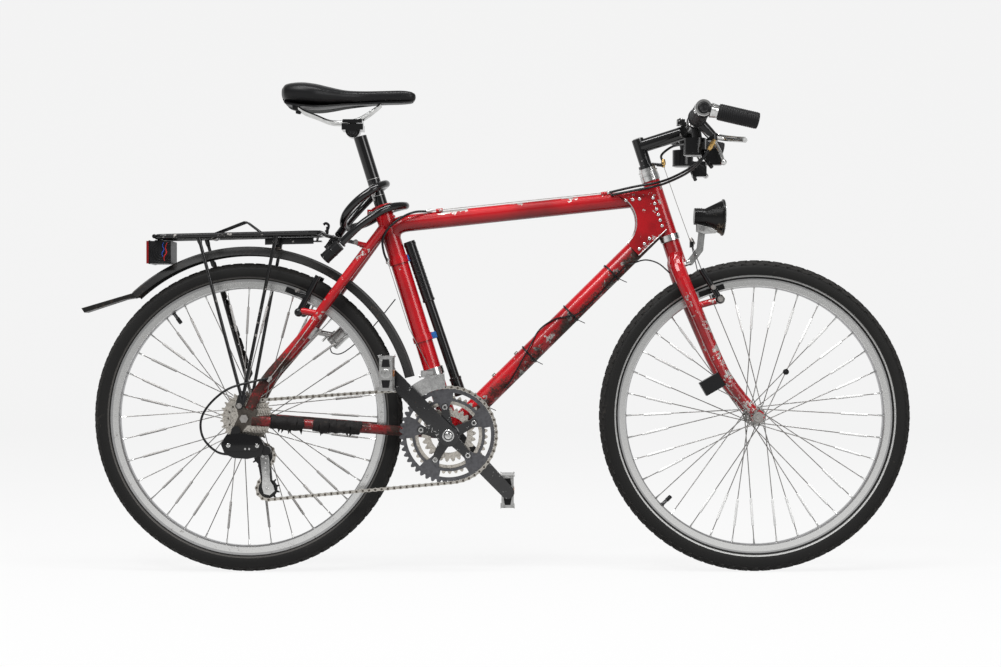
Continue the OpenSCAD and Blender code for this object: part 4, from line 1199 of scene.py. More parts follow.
class Repeater:
    """The node tree that puts one shape on every place of a mesh of points."""

    def __init__(self) -> None:
        """Builds the tree: shape, scale, jitter and finish are its named inputs."""
        g = new_group(
            "repeat_on_places",
            "GeometryNodeTree",
            [
                ("INPUT", "Places", "NodeSocketGeometry", None),
                ("INPUT", "Shape", "NodeSocketObject", None),
                ("INPUT", "Scale", FLOAT, 1.0),
                ("INPUT", "Jitter", FLOAT, 0.0),
                ("INPUT", "Finish", "NodeSocketMaterial", None),
                ("OUTPUT", "Geometry", "NodeSocketGeometry", None),
            ],
        )
        src = g.source.outputs
        shape = g.add("GeometryNodeObjectInfo", None, {"Object": src["Shape"]}).outputs["Geometry"]
        turn = g.add(
            "GeometryNodeInputNamedAttribute", {"data_type": "FLOAT_VECTOR"}, {"Name": "turn"}
        ).outputs[0]
        size = g.add(
            "GeometryNodeInputNamedAttribute", {"data_type": "FLOAT_VECTOR"}, {"Name": "size"}
        ).outputs[0]
        points = g.add("GeometryNodeMeshToPoints", None, {"Mesh": src["Places"]}).outputs[0]
        chance = g.add(
            "FunctionNodeRandomValue",
            {"data_type": "FLOAT_VECTOR"},
            {"Min": (-1.0, -1.0, -1.0), "Max": (1.0, 1.0, 1.0), "Seed": 7},
        ).outputs[0]
        shake = g.add(
            "ShaderNodeVectorMath", {"operation": "SCALE"}, {0: chance, "Scale": src["Jitter"]}
        ).outputs[0]
        leaning = g.add("ShaderNodeVectorMath", {"operation": "ADD"}, {0: turn, 1: shake}).outputs[0]
        scaled = g.add(
            "ShaderNodeVectorMath", {"operation": "SCALE"}, {0: size, "Scale": src["Scale"]}
        ).outputs[0]
        put = g.add(
            "GeometryNodeInstanceOnPoints",
            None,
            {"Points": points, "Instance": shape, "Rotation": leaning, "Scale": scaled},
        ).outputs[0]
        real = g.add("GeometryNodeRealizeInstances", None, {"Geometry": put}).outputs[0]
        dressed = g.add(
            "GeometryNodeSetMaterial", None, {"Geometry": real, "Material": src["Finish"]}
        ).outputs[0]
        g.put(g.sink.inputs["Geometry"], dressed)
        self.tree = g.tree
        self.keys = {
            item.name: item.identifier for item in g.tree.interface.items_tree if item.in_out == "INPUT"
        }

    def place(
        self,
        name: str,
        shape: bpy.types.Object,
        seats: Seats,
        material: bpy.types.Material,
        jitter: float = 0.0,
    ) -> bpy.types.Object:
        """Puts the shape on all its places and returns the result as one plain piece.

        Args:
            name: The piece's name.
            shape: The shape, round the origin; it is removed.
            seats: Where it goes.
            material: The finish.
            jitter: How far each one may lean, in radians.

        Returns:
            The piece.
        """
        mesh = bpy.data.meshes.new(name + "_places")
        mesh.from_pydata([tuple(p) for p in seats.points], [], [])
        for label, rows in (("turn", [q.to_euler() for q in seats.turns]), ("size", seats.sizes)):
            layer = mesh.attributes.new(label, "FLOAT_VECTOR", "POINT")
            layer.data.foreach_set("vector", [c for row in rows for c in row])
        carrier = bpy.data.objects.new(name + "_carrier", mesh)
        bpy.context.scene.collection.objects.link(carrier)
        modifier = carrier.modifiers.new("repeat", "NODES")
        modifier.node_group = self.tree
        modifier[self.keys["Shape"]] = shape
        modifier[self.keys["Scale"]] = 1.0
        modifier[self.keys["Jitter"]] = jitter
        modifier[self.keys["Finish"]] = material
        bpy.context.view_layer.update()
        graph = bpy.context.evaluated_depsgraph_get()
        result = bpy.data.meshes.new_from_object(carrier.evaluated_get(graph), depsgraph=graph)
        result.name = name
        for label in ("turn", "size"):
            if label in result.attributes:
                result.attributes.remove(result.attributes[label])
        made = bpy.data.objects.new(name, result)
        bpy.context.scene.collection.objects.link(made)
        for spare in (carrier, shape):
            bpy.data.objects.remove(spare)
        return made


class Body(Enum):
    """The moving bodies that a piece can ride on."""

    FRAME = "frame"
    STEERING = "steering"
    FRONT_WHEEL = "front_wheel"
    REAR_WHEEL = "rear_wheel"
    CASSETTE = "cassette"
    CRANKS = "cranks"
    RIGHT_PEDAL = "right_pedal"
    LEFT_PEDAL = "left_pedal"
    RACK_CLIP = "rack_clip"


@dataclass
class Assembly:
    """A sub-assembly: it builds its fine pieces, dresses its nodes and reports them."""

    frame: dict
    shop: Shop
    repeat: Repeater

    def dress(self, finishes: dict[str, Finish]) -> None:
        """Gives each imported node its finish."""
        for name, finish in finishes.items():
            mesh = self.frame["nodes"][name].data
            mesh.materials.clear()
            mesh.materials.append(self.shop.get(finish))
            log.info("dressed %s with %s", name, finish.name)

    def keep(self, piece: bpy.types.Object, body: Body, slot: str, *nodes: str) -> bpy.types.Object:
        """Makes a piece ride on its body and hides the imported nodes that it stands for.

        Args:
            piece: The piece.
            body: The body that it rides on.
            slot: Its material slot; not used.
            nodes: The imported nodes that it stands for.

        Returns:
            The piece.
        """
        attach(piece, body.value)
        if nodes:
            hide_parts(*nodes)
        log.info("made %s on %s", piece.name, body.value)
        return piece

    def make(
        self,
        name: str,
        body: Body,
        slot: str,
        finish: Finish,
        build: Callable[[bmesh.types.BMesh], None],
        *nodes: str,
    ) -> bpy.types.Object:
        """Builds one piece from a function and keeps it.

        Args:
            name: The piece's name.
            body: The body that it rides on.
            slot: Its material slot.
            finish: Its finish.
            build: The function that fills its mesh.
            nodes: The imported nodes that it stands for.

        Returns:
            The piece.
        """
        return self.keep(joined(name, build, self.shop.get(finish)), body, slot, *nodes)

    def spread(
        self,
        name: str,
        body: Body,
        slot: str,
        finish: Finish,
        shape: Callable[[bmesh.types.BMesh], None],
        seats: Seats,
        *nodes: str,
        jitter: float = 0.0,
    ) -> bpy.types.Object:
        """Repeats a small shape on its places and keeps the result as one piece.

        Args:
            name: The piece's name.
            body: The body that it rides on.
            slot: Its material slot.
            finish: Its finish.
            shape: The function that builds the small shape.
            seats: Where the copies go.
            jitter: How far each one may lean, in radians.
            nodes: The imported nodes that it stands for.

        Returns:
            The piece.
        """
        material = self.shop.get(finish)
        small = joined(name + "_shape", shape, material)
        return self.keep(self.repeat.place(name, small, seats, material, jitter), body, slot, *nodes)


# ---- wheels ----


@dataclass
class Wheel(Assembly):
    """A wheel's tyre, rim, nipples and reflector sticks."""

    end: str = "front"
    axle: tuple[float, float] = FRONT
    body: Body = Body.FRONT_WHEEL
    outer: float = 320.0
    width: float = 40.0
    flange_left: float = 33.0
    flange_right: float = -33.0
    hub_r: float = 20.0
    valve: float = 224.0
    stick: Finish = WHITE_STICK
    stick_share: float = 0.95
    spokes: int = 36
    rim_low: float = 264.0

    def centre(self) -> Vector:
        """The axle's middle."""
        return at(self.axle[0], 0.0, self.axle[1])

    def spoke_lines(self) -> list[tuple[Vector, Vector]]:
        """Both ends of each spoke, at the flange and at the rim."""
        side_count = self.spokes // 2
        turn = 3 * 360 / side_count
        found = []
        for side in (-1, 1):
            for i in range(side_count):
                y = self.flange_right if side < 0 else self.flange_left
                lean = 1 if i % 2 == 0 else -1
                hub_a = (i + (0.5 if side > 0 else 0.0)) * 360 / side_count
                start = around(self.axle, self.hub_r - 3, hub_a, y + lean * 2.55)
                found.append(
                    (start, around(self.axle, self.rim_low - 0.3, hub_a + lean * turn, side * 2.0))
                )
        return found

    def tyre(self) -> None:
        """The casing with its bead, wall ribs and flattened tread."""
        half = self.width / 2
        r = self.outer
        wall = [
            (281.0, half * 0.58),
            (284.5, half * 0.66),
            (285.4, half * 0.76),
            (288.2, half * 0.80),
            (288.6, half * 0.87),
            (293.0, half * 0.955),
            (299.0, half * 0.995),
            (304.0, half * 0.97),
            (306.0, half * 0.955),
            (309.0, half * 0.86),
            (309.8, half * 0.87),
            (r - 5.6, half * 0.72),
            (r - 3.0, half * 0.50),
            (r - 1.7, half * 0.28),
            (r - 1.2, half * 0.12),
        ]
        inner = [(281.0, half * 0.40), (290.0, half * 0.66), (302.0, half * 0.78), (r - 9.0, half * 0.4)]
        side = [*reversed(inner), *wall]
        profile = [*side, *((radius, -y) for radius, y in reversed(side))]
        ring = (0.55, 0.55, 0.54) if self.end == "front" else (0.10, 0.095, 0.09)
        finish = tyre_finish(f"{self.end}_tyre_rubber", self.axle, self.outer, ring)
        self.make(
            f"{self.end}_tyre_casing",
            self.body,
            "tyre",
            finish,
            lambda bm: add_ring(bm, self.centre(), profile, 256),
            f"{self.end}_tyre",
        )
        self.tread(finish)

    def tread(self, finish: Finish) -> None:
        """Three rows of low blocks: long ones in the middle and slanted ones on both shoulders."""
        half = self.width / 2
        blocks = Seats()
        count = 84
        for i in range(count):
            for row, y, r, slant, size in (
                (0, 0.0, self.outer - 1.3, 0.0, Vector((1.0, 0.8, 1.0))),
                (1, half * 0.42, self.outer - 3.0, 0.45, Vector((0.9, 0.62, 1.0))),
                (2, -half * 0.42, self.outer - 3.0, -0.45, Vector((0.9, 0.62, 1.0))),
                (3, half * 0.76, self.outer - 7.6, 0.25, Vector((0.62, 0.5, 1.0))),
                (4, -half * 0.76, self.outer - 7.6, -0.25, Vector((0.62, 0.5, 1.0))),
            ):
                a = 360 * (i + (0.5 if row in (1, 2) else 0.0)) / count
                point = around(self.axle, r, a, y)
                out = (around(self.axle, r, a) - self.centre()).normalized()
                tilt = y / half * 0.95
                up = (out + Vector((0.0, tilt, 0.0))).normalized()
                along = up.cross(LEFT).normalized()
                along = (along + Vector((0.0, slant, 0.0))).normalized()
                blocks.add(point, along, up, size)

        def block(bm: bmesh.types.BMesh) -> None:
            """One tapered block of tread."""
            low = [
                Vector((x, y, -0.0012)) for x,
                y in ((-0.0098, -0.0042), (0.0098, -0.0042), (0.0098, 0.0042))
            ]
            low.append(Vector((-0.0098, 0.0042, -0.0012)))
            high = [Vector((p.x * 0.9, p.y * 0.86, 0.0011)) for p in low]
            one = [bm.verts.new(p) for p in low]
            two = [bm.verts.new(p) for p in high]
            bm.faces.new(one[::-1])
            bm.faces.new(two)
            for k in range(4):
                bm.faces.new((one[k], one[(k + 1) % 4], two[(k + 1) % 4], two[k]))

        self.spread(f"{self.end}_tyre_tread", self.body, "tyre", finish, block, blocks)

    def nipples(self) -> None:
        """The nipple of each spoke and the spoke's bent head at the flange."""
        seats = Seats()
        heads = Seats()
        for hub_end, rim_end in self.spoke_lines():
            along = (rim_end - hub_end).normalized()
            seats.add(rim_end, -along)
            heads.add(hub_end, LEFT)

        def nipple(bm: bmesh.types.BMesh) -> None:
            """A nipple, thicker at the rim."""
            profile = [(-1.0, 2.8), (0.6, 2.8), (1.2, 2.0), (9.0, 1.75), (11.0, 1.3), (11.0, 1.05)]
            add_turned(bm, Vector(), AHEAD, profile, 8)

        def head(bm: bmesh.types.BMesh) -> None:
            """A spoke's button head on both faces of the flange."""
            add_turned(
                bm, Vector((-0.0046, 0, 0)), Vector((1, 0, 0)),
                [(0, 1.2), (0.6, 2.0), (1.4, 2.0), (9.0, 1.1)], 8
            )

        self.spread(f"{self.end}_nipples", self.body, "bare_alloy", BRIGHT_ALLOY, nipple, seats)
        self.spread(f"{self.end}_spoke_heads", self.body, "steel", DULL_ALLOY, head, heads)

    def sticks(self) -> None:
        """Reflecting tubes clipped on the spokes."""
        rng = random.Random(11 if self.end == "front" else 29)
        seats = Seats()
        for hub_end, rim_end in self.spoke_lines():
            if rng.random() > self.stick_share:
                continue
            along = (rim_end - hub_end).normalized()
            far = (rim_end - hub_end).length
            middle = hub_end + along * (far - (61.0 + rng.uniform(-7.0, 5.0)) * MM)
            seats.add(middle, along)

        def stick(bm: bmesh.types.BMesh) -> None:
            """One tube with softly closed ends."""
            ends = [(-28.5, 1.3), (-28.0, 2.3), (-27.0, 2.55), (27.0, 2.55), (28.0, 2.3), (28.5, 1.3)]
            add_turned(bm, Vector(), AHEAD, ends, 10)

        self.spread(f"{self.end}_reflector_sticks", self.body, "bare_alloy", self.stick, stick, seats)

    def valve_parts(self) -> None:
        """The valve's threaded stem, nut and cap."""
        inward = (self.centre() - around(self.axle, 200.0, self.valve)).normalized()
        start = around(self.axle, self.rim_low + 1.0, self.valve)

        def build(bm: bmesh.types.BMesh) -> None:
            """Nut, stem and cap in a row."""
            add_turned(bm, start, inward, [(0.0, 5.2), (2.6, 5.2), (3.0, 4.6)], 6)
            ridges = [
                (3.0 + 0.8 * k + 0.4 * half, 3.75 - 0.35 * half) for k in range(14) for half in (0, 1)
            ]
            add_turned(bm, start, inward, ridges, 12)
            cap = [(14.0, 4.3), (25.5, 4.1), (27.0, 3.0), (27.3, 0.0)]
            add_turned(bm, start, inward, cap, 12)

        self.make(f"{self.end}_valve", self.body, "bare_alloy", MATT_BLACK, build)

    def magnet(self) -> None:
        """The speed sensor's magnet on a spoke."""
        lines = self.spoke_lines()
        want = at(self.axle[0] + 40.0, -22.0, self.axle[1] + 102.0)
        best = min(lines, key=lambda line: ((line[0] + (line[1] - line[0]) * 0.42) - want).length)
        along = (best[1] - best[0]).normalized()
        middle = best[0] + along * (want - best[0]).dot(along)

        def build(bm: bmesh.types.BMesh) -> None:
            """A small drum with a screw in it, clamped round the spoke."""
            side = RIGHT
            add_turned(bm, middle - side * 0.004, side, [(0, 5.0), (0.8, 6.0), (7.4, 6.0), (8.2, 5.2)], 18)
            add_bolt(bm, middle + side * 0.0042, side, 2.4, 1.2, False)

        self.make(f"{self.end}_magnet", self.body, "black_plastic", MATT_BLACK, build)

    def build(self) -> None:
        """Builds and dresses the whole wheel."""
        dusty = 0.24 if self.end == "front" else 0.42
        self.dress(
            {
                f"{self.end}_rim": rim_finish(f"{self.end}_rim_metal", self.axle, dusty),
                f"{self.end}_spokes": SPOKE_STEEL,
                f"{self.end}_hub": DIRTY_ALLOY,
            }
        )
        self.tyre()
        self.nipples()
        self.sticks()
        self.valve_parts()
        if self.end == "front":
            self.magnet()


# ---- frame ----


@dataclass
class Cable:
    """A route of a control cable or wire: its points in millimetres, its radius and its finish."""

    name: str
    points: tuple[tuple[float, float, float], ...]
    radius: float
    finish: Finish = CABLE_BLACK
    steps: int = 6

    def path(self) -> list[Vector]:
        """The smooth centre line in metres."""
        return smooth_path([at(*p) for p in self.points], self.steps)

    def length(self) -> float:
        """Its length in metres."""
        path = self.path()
        return sum((b - a).length for a, b in zip(path, path[1:]))


def lay_cord(cable: Cable) -> None:
    """Works out a control cable's smooth path and its length, and keeps neither.

    Args:
        cable: Its route and size.
    """
    path = cable.path()
    cable.length()


REAR_BRAKE_HOUSING = Cable(
    "rear_brake_housing",
    (
        (938.0, -164.0, 868.0),
        (922.0, -160.0, 842.0),
        (900.0, -120.0, 822.0),
        (868.0, -72.0, 806.0),
        (838.0, -40.0, 797.0),
        (790.0, -27.0, 789.0),
        (739.0, -9.3, 778.3),
    ),
    2.5,
)
GEAR_HOUSING = Cable(
    "gear_housing",
    (
        (934.0, -170.0, 860.0),
        (915.0, -164.0, 832.0),
        (892.0, -116.0, 811.0),
        (858.0, -66.0, 796.0),
        (832.0, -42.0, 789.0),
        (790.0, -33.0, 781.0),
        (744.0, -16.2, 772.9),
    ),
    2.5,
)
LAMP_WIRE = Cable(
    "lamp_wire_lead",
    (
        (866.0, -6.0, 613.0),
        (842.0, -8.0, 633.0),
        (815.0, -12.0, 640.0),
        (790.0, -16.0, 633.0),
        (772.0, -20.5, 625.0),
        (722.0, -18.5, 571.0),
        (681.0, -19.0, 532.0),
        (654.0, -22.5, 524.0),
        (628.0, -16.5, 518.0),
        (598.0, -4.0, 497.0),
        (577.0, -22.0, 462.0),
        (541.0, -21.5, 396.0),
        (525.0, -18.5, 377.0),
    ),
    1.5,
)
SEAT_HOUSING = Cable(
    "front_gear_housing",
    (
        (366.0, -10.0, 740.0),
        (342.0, -19.0, 738.0),
        (318.0, -26.0, 728.0),
        (292.0, -29.0, 708.0),
        (277.0, -31.0, 682.0),
        (279.0, -29.0, 655.0),
        (287.0, -22.0, 634.0),
    ),
    2.4,
)
DERAILLEUR_LOOP = Cable(
    "rear_gear_housing",
    (
        (52.0, -74.0, 399.0),
        (18.0, -79.0, 392.0),
        (-32.0, -84.0, 377.0),
        (-70.0, -87.0, 345.0),
        (-86.0, -89.0, 312.0),
        (-80.0, -90.0, 277.0),
        (-52.0, -89.0, 250.0),
        (-16.0, -86.0, 244.0),
    ),
    2.4,
)


@dataclass
class FrameParts(Assembly):
    """The painted frame, its joints, rivets, cable stops, wires and tape."""

    weld_r: float = 2.3

    def rivets(self) -> None:
        """Domed rivets of the head gussets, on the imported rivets' own places."""
        seats = Seats()
        top_front, top_dir = at(837.9, 0, 770.6), Vector((0.9944, 0.0, 0.1060))
        down_front, down_dir = at(854.2, 0, 720.2), Vector((0.7105, 0.0, 0.7037))
        normal = Vector((-down_dir.z, 0.0, down_dir.x))
        for side in SIDES:
            out = outward(side)
            lift = Vector((0.0, side * 24.3 * MM, 0.0))
            for i in range(3):
                seats.add(top_front + (i * 14 - 64) * MM * top_dir + lift - Vector((0, 0, 0.002)), out)
                seats.add(down_front + (i * 15 - 78) * MM * down_dir - 4 * MM * normal + lift, out)
            for i in range(6):
                seats.add(steer(430 + i * 12, -9, side * 24.3), out)

        def rivet(bm: bmesh.types.BMesh) -> None:
            """A dome on a thin flange with a dimple in the middle."""
            profile = [(-1.5, 3.4), (0.3, 3.4), (0.7, 3.0), (1.3, 2.2), (1.5, 1.4), (1.0, 0.9), (0.9, 0.0)]
            add_turned(bm, Vector(), AHEAD, profile, 14)

        self.spread("gusset_rivets", Body.FRAME, "bare_alloy", BRIGHT_ALLOY, rivet, seats)

    def weld(
        self, bm: bmesh.types.BMesh, centre: Vector, axis: Vector, r: float, cut: Vector, cut_r: float
    ) -> None:
        """Adds a bead of weld where a tube of radius r meets a tube of radius cut_r along cut.

        Args:
            bm: The mesh.
            centre: Where the axes meet.
            axis: The direction of the tube that ends.
            r: Its radius in millimetres.
            cut: The direction of the tube that it ends on.
            cut_r: Its radius in millimetres.
        """
        along = axis.normalized()
        u = along.cross(LEFT).normalized()
        w = along.cross(u)
        other = cut.normalized()
        path = []
        for k in range(72):
            a = 2 * math.pi * k / 72
            rim = centre + (math.cos(a) * u + math.sin(a) * w) * r * MM
            # slide along the tube until the point lies on the other tube's surface
            off = rim - centre
            off_p, along_p = off - other * off.dot(other), along - other * along.dot(other)
            a2, b2, c2 = along_p.length_squared, 2 * off_p.dot(along_p), off_p.length_squared - (
                cut_r * MM
            ) ** 2
            root = math.sqrt(max(b2 * b2 - 4 * a2 * c2, 0.0))
            path.append(rim + along * ((-b2 + root) / (2 * a2)))
        rings = len(path)
        radius = [self.weld_r * (1 + 0.16 * math.sin(2 * math.pi * k / 2.4)) for k in range(rings)]
        add_tube(bm, path, lambda t: radius[min(int(t * (rings - 1) + 0.5), rings - 1)], 8, closed=True)

    def welds(self) -> None:
        """Beads at the main joints."""
        seat_dir = Vector((-0.2974, 0.0, 0.9548))
        head_dir = Vector((-0.3090, 0.0, 0.9511))
        top_dir = Vector((0.9944, 0.0, 0.1060))
        down_dir = Vector((0.7105, 0.0, 0.7037))
        side = LEFT

        def build(bm: bmesh.types.BMesh) -> None:
            """All the beads."""
            self.weld(bm, at(285.1, 0, 711.7), top_dir, 17.3, seat_dir, 18.6)
            self.weld(bm, at(837.9, 0, 770.6), -top_dir, 17.3, head_dir, 18.1)
            self.weld(bm, at(854.2, 0, 720.2), -down_dir, 19.8, head_dir, 18.1)
            self.weld(bm, at(412.0, 0, 283.0), down_dir, 19.8, side, 20.1)
            self.weld(bm, at(418.6, 0, 283.0), seat_dir, 18.3, side, 21.0)

        self.make("frame_welds", Body.FRAME, "red_paint", SEAT_RED, build)

        def edges(bm: bmesh.types.BMesh) -> None:
            """The gussets' rubbed edges, bare along the curve and the lower side."""
            foot, low = at(800.7, 0.0, 649.1), steer(420.0, -2.0)
            for side in SIDES:
                y = side * 22.9
                add_tube(
                    bm, [around((738.4, 716.5), 58.2, -46 + 100 * k / 24, y) for k in range(25)], 0.9, 6
                )
                out = Vector((0.0, y * MM, 0.0))
                add_tube(bm, [foot.lerp(low, k / 8) + out for k in range(9)], 0.9, 6)

        self.make("gusset_edges", Body.FRAME, "bare_alloy", DULL_ALLOY, edges)

    def stops(self) -> None:
        """Slotted cable stops, the ferrules of the housings and the bare wires between them."""

        def stop(bm: bmesh.types.BMesh, where: Vector, along: Vector) -> None:
            """A ferrule with a thicker lip."""
            profile = [
                (-9.0, 3.3), (-2.0, 3.3), (-2.0, 4.2), (1.5, 4.2), (1.5, 2.0), (4.0, 2.0), (4.0, 0.0)
            ]
            add_turned(bm, where, along, profile, 14)

        top_dir = Vector((0.9944, 0.0, 0.1060))

        def build(bm: bmesh.types.BMesh) -> None:
            """The ferrules."""
            stop(bm, at(738.0, -9.3, 778.0), -top_dir)
            stop(bm, at(374.0, -9.5, 741.0), top_dir)
            stop(bm, at(287.0, -22.0, 634.0), Vector((0.30, 0.0, -0.95)))
            stop(bm, at(52.0, -74.0, 399.0), Vector((0.55, 0.1, 0.83)))
            stop(bm, at(-16.0, -86.0, 244.0), AHEAD)

        self.make("cable_ferrules", Body.FRAME, "bare_alloy", DULL_ALLOY, build)

        def wires(bm: bmesh.types.BMesh) -> None:
            """Bare inner wires: along the top tube, down the seat tube and the right seat stay."""
            add_tube(bm, [at(733.0, -8.6, 778.6), at(560.0, -9.0, 760.6), at(376.0, -9.4, 741.2)], 0.8, 6)
            add_tube(
                bm, [at(288.0, -22.0, 631.0), at(330.0, -22.5, 500.0), at(372.0, -23.5, 418.0)], 0.8, 6
            )
            add_tube(bm, [at(54.0, -73.6, 402.0), at(115.0, -67.4, 482.0), at(230.0, -41.0, 646.0)], 0.8, 6)
            add_tube(bm, [at(-12.0, -86.0, 244.0), at(6.0, -85.5, 246.0), at(22.0, -85.0, 250.0)], 0.8, 6)

        self.make("bare_wires", Body.FRAME, "steel", STEEL, wires)

    def cables(self) -> None:
        """The black housings that cross to the bar, and those that stay on the frame."""
        for cable, nodes in ((REAR_BRAKE_HOUSING, ("control_cables",)), (GEAR_HOUSING, ())):
            piece = joined(
                cable.name, lambda bm, c=cable: add_tube(bm, c.path(), c.radius, 12),
                self.shop.get(cable.finish)
            )
            if nodes:
                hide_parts(*nodes)
            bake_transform(piece)
            lay_cord(cable)
            log.info("made %s between frame and steering", piece.name)
        for cable in (SEAT_HOUSING, DERAILLEUR_LOOP):
            piece = self.make(
                cable.name, Body.FRAME, "cable_black", cable.finish, lambda bm, c=cable: add_tube(
                    bm, c.path(), c.radius, 12
                )
            )
            lay_cord(cable)
        piece = joined(
            LAMP_WIRE.name, lambda bm: add_tube(
                bm, LAMP_WIRE.path(), LAMP_WIRE.radius, 8
            ), self.shop.get(CABLE_BLACK)
        )
        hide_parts("lamp_wire")
        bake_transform(piece)
        lay_cord(LAMP_WIRE)

    def ties(self) -> None:
        """Cable ties that hold the lamp's wire to the down tube."""
        down_dir = Vector((0.7105, 0.0, 0.7037))
        normal = Vector((-down_dir.z, 0.0, down_dir.x))
        seats = Seats()
        for d in (96.0, 232.0, 352.0, 470.0):
            seats.add(at(412.0, 0.0, 283.0) + down_dir * d * MM, down_dir, normal)

        def tie(bm: bmesh.types.BMesh) -> None:
            """A flat band with its head and the cut tail."""
            outer = [(20.6, -1.6), (21.9, -1.6), (21.9, 1.6), (20.6, 1.6)]
            rows = []
            for k in range(40):
                a = k * math.pi / 20
                rows.append(
                    [bm.verts.new(Vector((y, r * math.cos(a), r * math.sin(a))) * MM) for r, y in outer]
                )
            for one, two in zip(rows, [*rows[1:], rows[0]]):
                for k in range(4):
                    bm.faces.new((one[k], one[(k + 1) % 4], two[(k + 1) % 4], two[k]))
            add_turned(
                bm, Vector((0.0, -0.019, -0.0125)), Vector((0.0, -0.8, -0.6)),
                [(0, 3.0), (4.5, 3.0), (4.5, 0)], 4
            )
            tail = [
                Vector((0.0, -0.021, -0.014)), Vector((0.003, -0.024, -0.024)),
                Vector((0.007, -0.023, -0.034))
            ]
            add_tube(bm, tail, 1.1, 4)

        self.spread("cable_ties", Body.FRAME, "cable_black", MATT_BLACK, tie, seats, jitter=0.05)

    def tape(self) -> None:
        """Torn tape wound round the right chain stay, in two stretches."""
        a, b = at(335.0, -32.5, 288.5), at(58.0, -64.5, 309.5)
        along = (b - a).normalized()
        side = along.cross(UP).normalized()
        up = side.cross(along)
        rng = random.Random(5)

        def build(bm: bmesh.types.BMesh) -> None:
            """Overlapping turns with ragged edges and hanging shreds."""
            total = (b - a).length / MM
            for low, high in ((2.0, 58.0), (86.0, 176.0)):
                first, last = total - high, total - low
                turn = first
                while turn < last:
                    width = rng.uniform(9.0, 15.0)
                    grow = rng.uniform(0.0, 1.0)
                    rows = []
                    for k in range(5):
                        far = turn + width * k / 4
                        ring = []
                        for j in range(28):
                            t = 2 * math.pi * j / 28
                            lump = noise.noise(Vector((far * 0.12, math.cos(t) * 1.6, math.sin(t) * 1.6)))
                            edge = (k in (0, 4)) * rng.uniform(-1.6, 1.6)
                            r = 13.4 + grow + 2.2 * lump - (0.5 if k in (0, 4) else 0.0)
                            lean = 2.6 * math.sin(t + turn)
                            ring.append(
                                bm.verts.new(
                                    a + along * (far + edge + lean) * MM + (
                                        math.cos(t) * side + math.sin(t) * up
                                    ) * r * MM
                                )
                            )
                        rows.append(ring)
                    for one, two in zip(rows, rows[1:]):
                        for j in range(28):
                            i = (j + 1) % 28
                            bm.faces.new((one[j], one[i], two[i], two[j]))
                    bm.faces.new(rows[0][::-1])
                    bm.faces.new(rows[-1])
                    turn += width * 0.72
                for _ in range(5):
                    far = rng.uniform(first, last)
                    start = a + along * far * MM - up * 13.0 * MM + side * rng.uniform(-6, 6) * MM
                    drop = Vector((rng.uniform(-3, 3), rng.uniform(-2, 2), -rng.uniform(4, 10))) * MM
                    add_slab(
                        bm,
                        [start - along * 0.003, start + along * 0.003, start + along * 0.001 + drop],
                        side * 0.0007,
                    )

        self.make("stay_tape", Body.FRAME, "rubber", TAPE, build, "stay_wrap")

    def bolts(self) -> None:
        """Bolts of the bottle holes and the collar, and the shell's cups."""
        down_dir = Vector((0.7105, 0.0, 0.7037))
        normal = Vector((-down_dir.z, 0.0, down_dir.x))

        def build(bm: bmesh.types.BMesh) -> None:
            """All of the frame's bolts."""
            for d in (150.0, 214.0):
                head = at(412.0, 0.0, 283.0) + down_dir * d * MM + normal * 19.9 * MM
                add_turned(
                    bm, head, normal,
                    [(0.0, 5.0), (1.2, 4.6), (1.2, 4.3), (3.6, 4.1), (3.9, 2.2), (2.2, 2.0), (2.2, 0)], 18
                )
            for side in SIDES:
                out = outward(side)
                add_bolt(bm, seat(483.0, -26.5, side * 14.0), out, 3.6, 2.4, False)
                ring = [(0.0, 17.4), (1.5, 17.4), (2.0, 16.6), (2.0, 12.0), (1.0, 11.6), (1.0, 9.2)]
                add_turned(bm, at(412.0, side * 34.2, 283.0), out, [*ring, (0.0, 9.2)], 28)

        self.make("frame_bolts", Body.FRAME, "steel", STEEL, build)

    def build(self) -> None:
        """Builds and dresses the frame."""
        self.dress(
            {
                "head_tube": HEAD_RED,
                "top_tube": TOP_RED,
                "down_tube": DOWN_RED,
                "seat_tube": SEAT_RED,
                "bracket_shell": CHAIN_STAY_RED,
                "chain_stays": CHAIN_STAY_RED,
                "seat_stays": STAY_RED,
                "rear_dropouts": LINK_DARK,
                "head_gussets": HEAD_RED,
                "headset_cups": BRIGHT_ALLOY,
                "seat_collar": SEAT_RED,
                "rear_axle": STEEL,
            }
        )
        self.rivets()
        self.welds()
        self.stops()
        self.cables()
        self.ties()
        self.tape()
        self.bolts()


# ---- drive ----


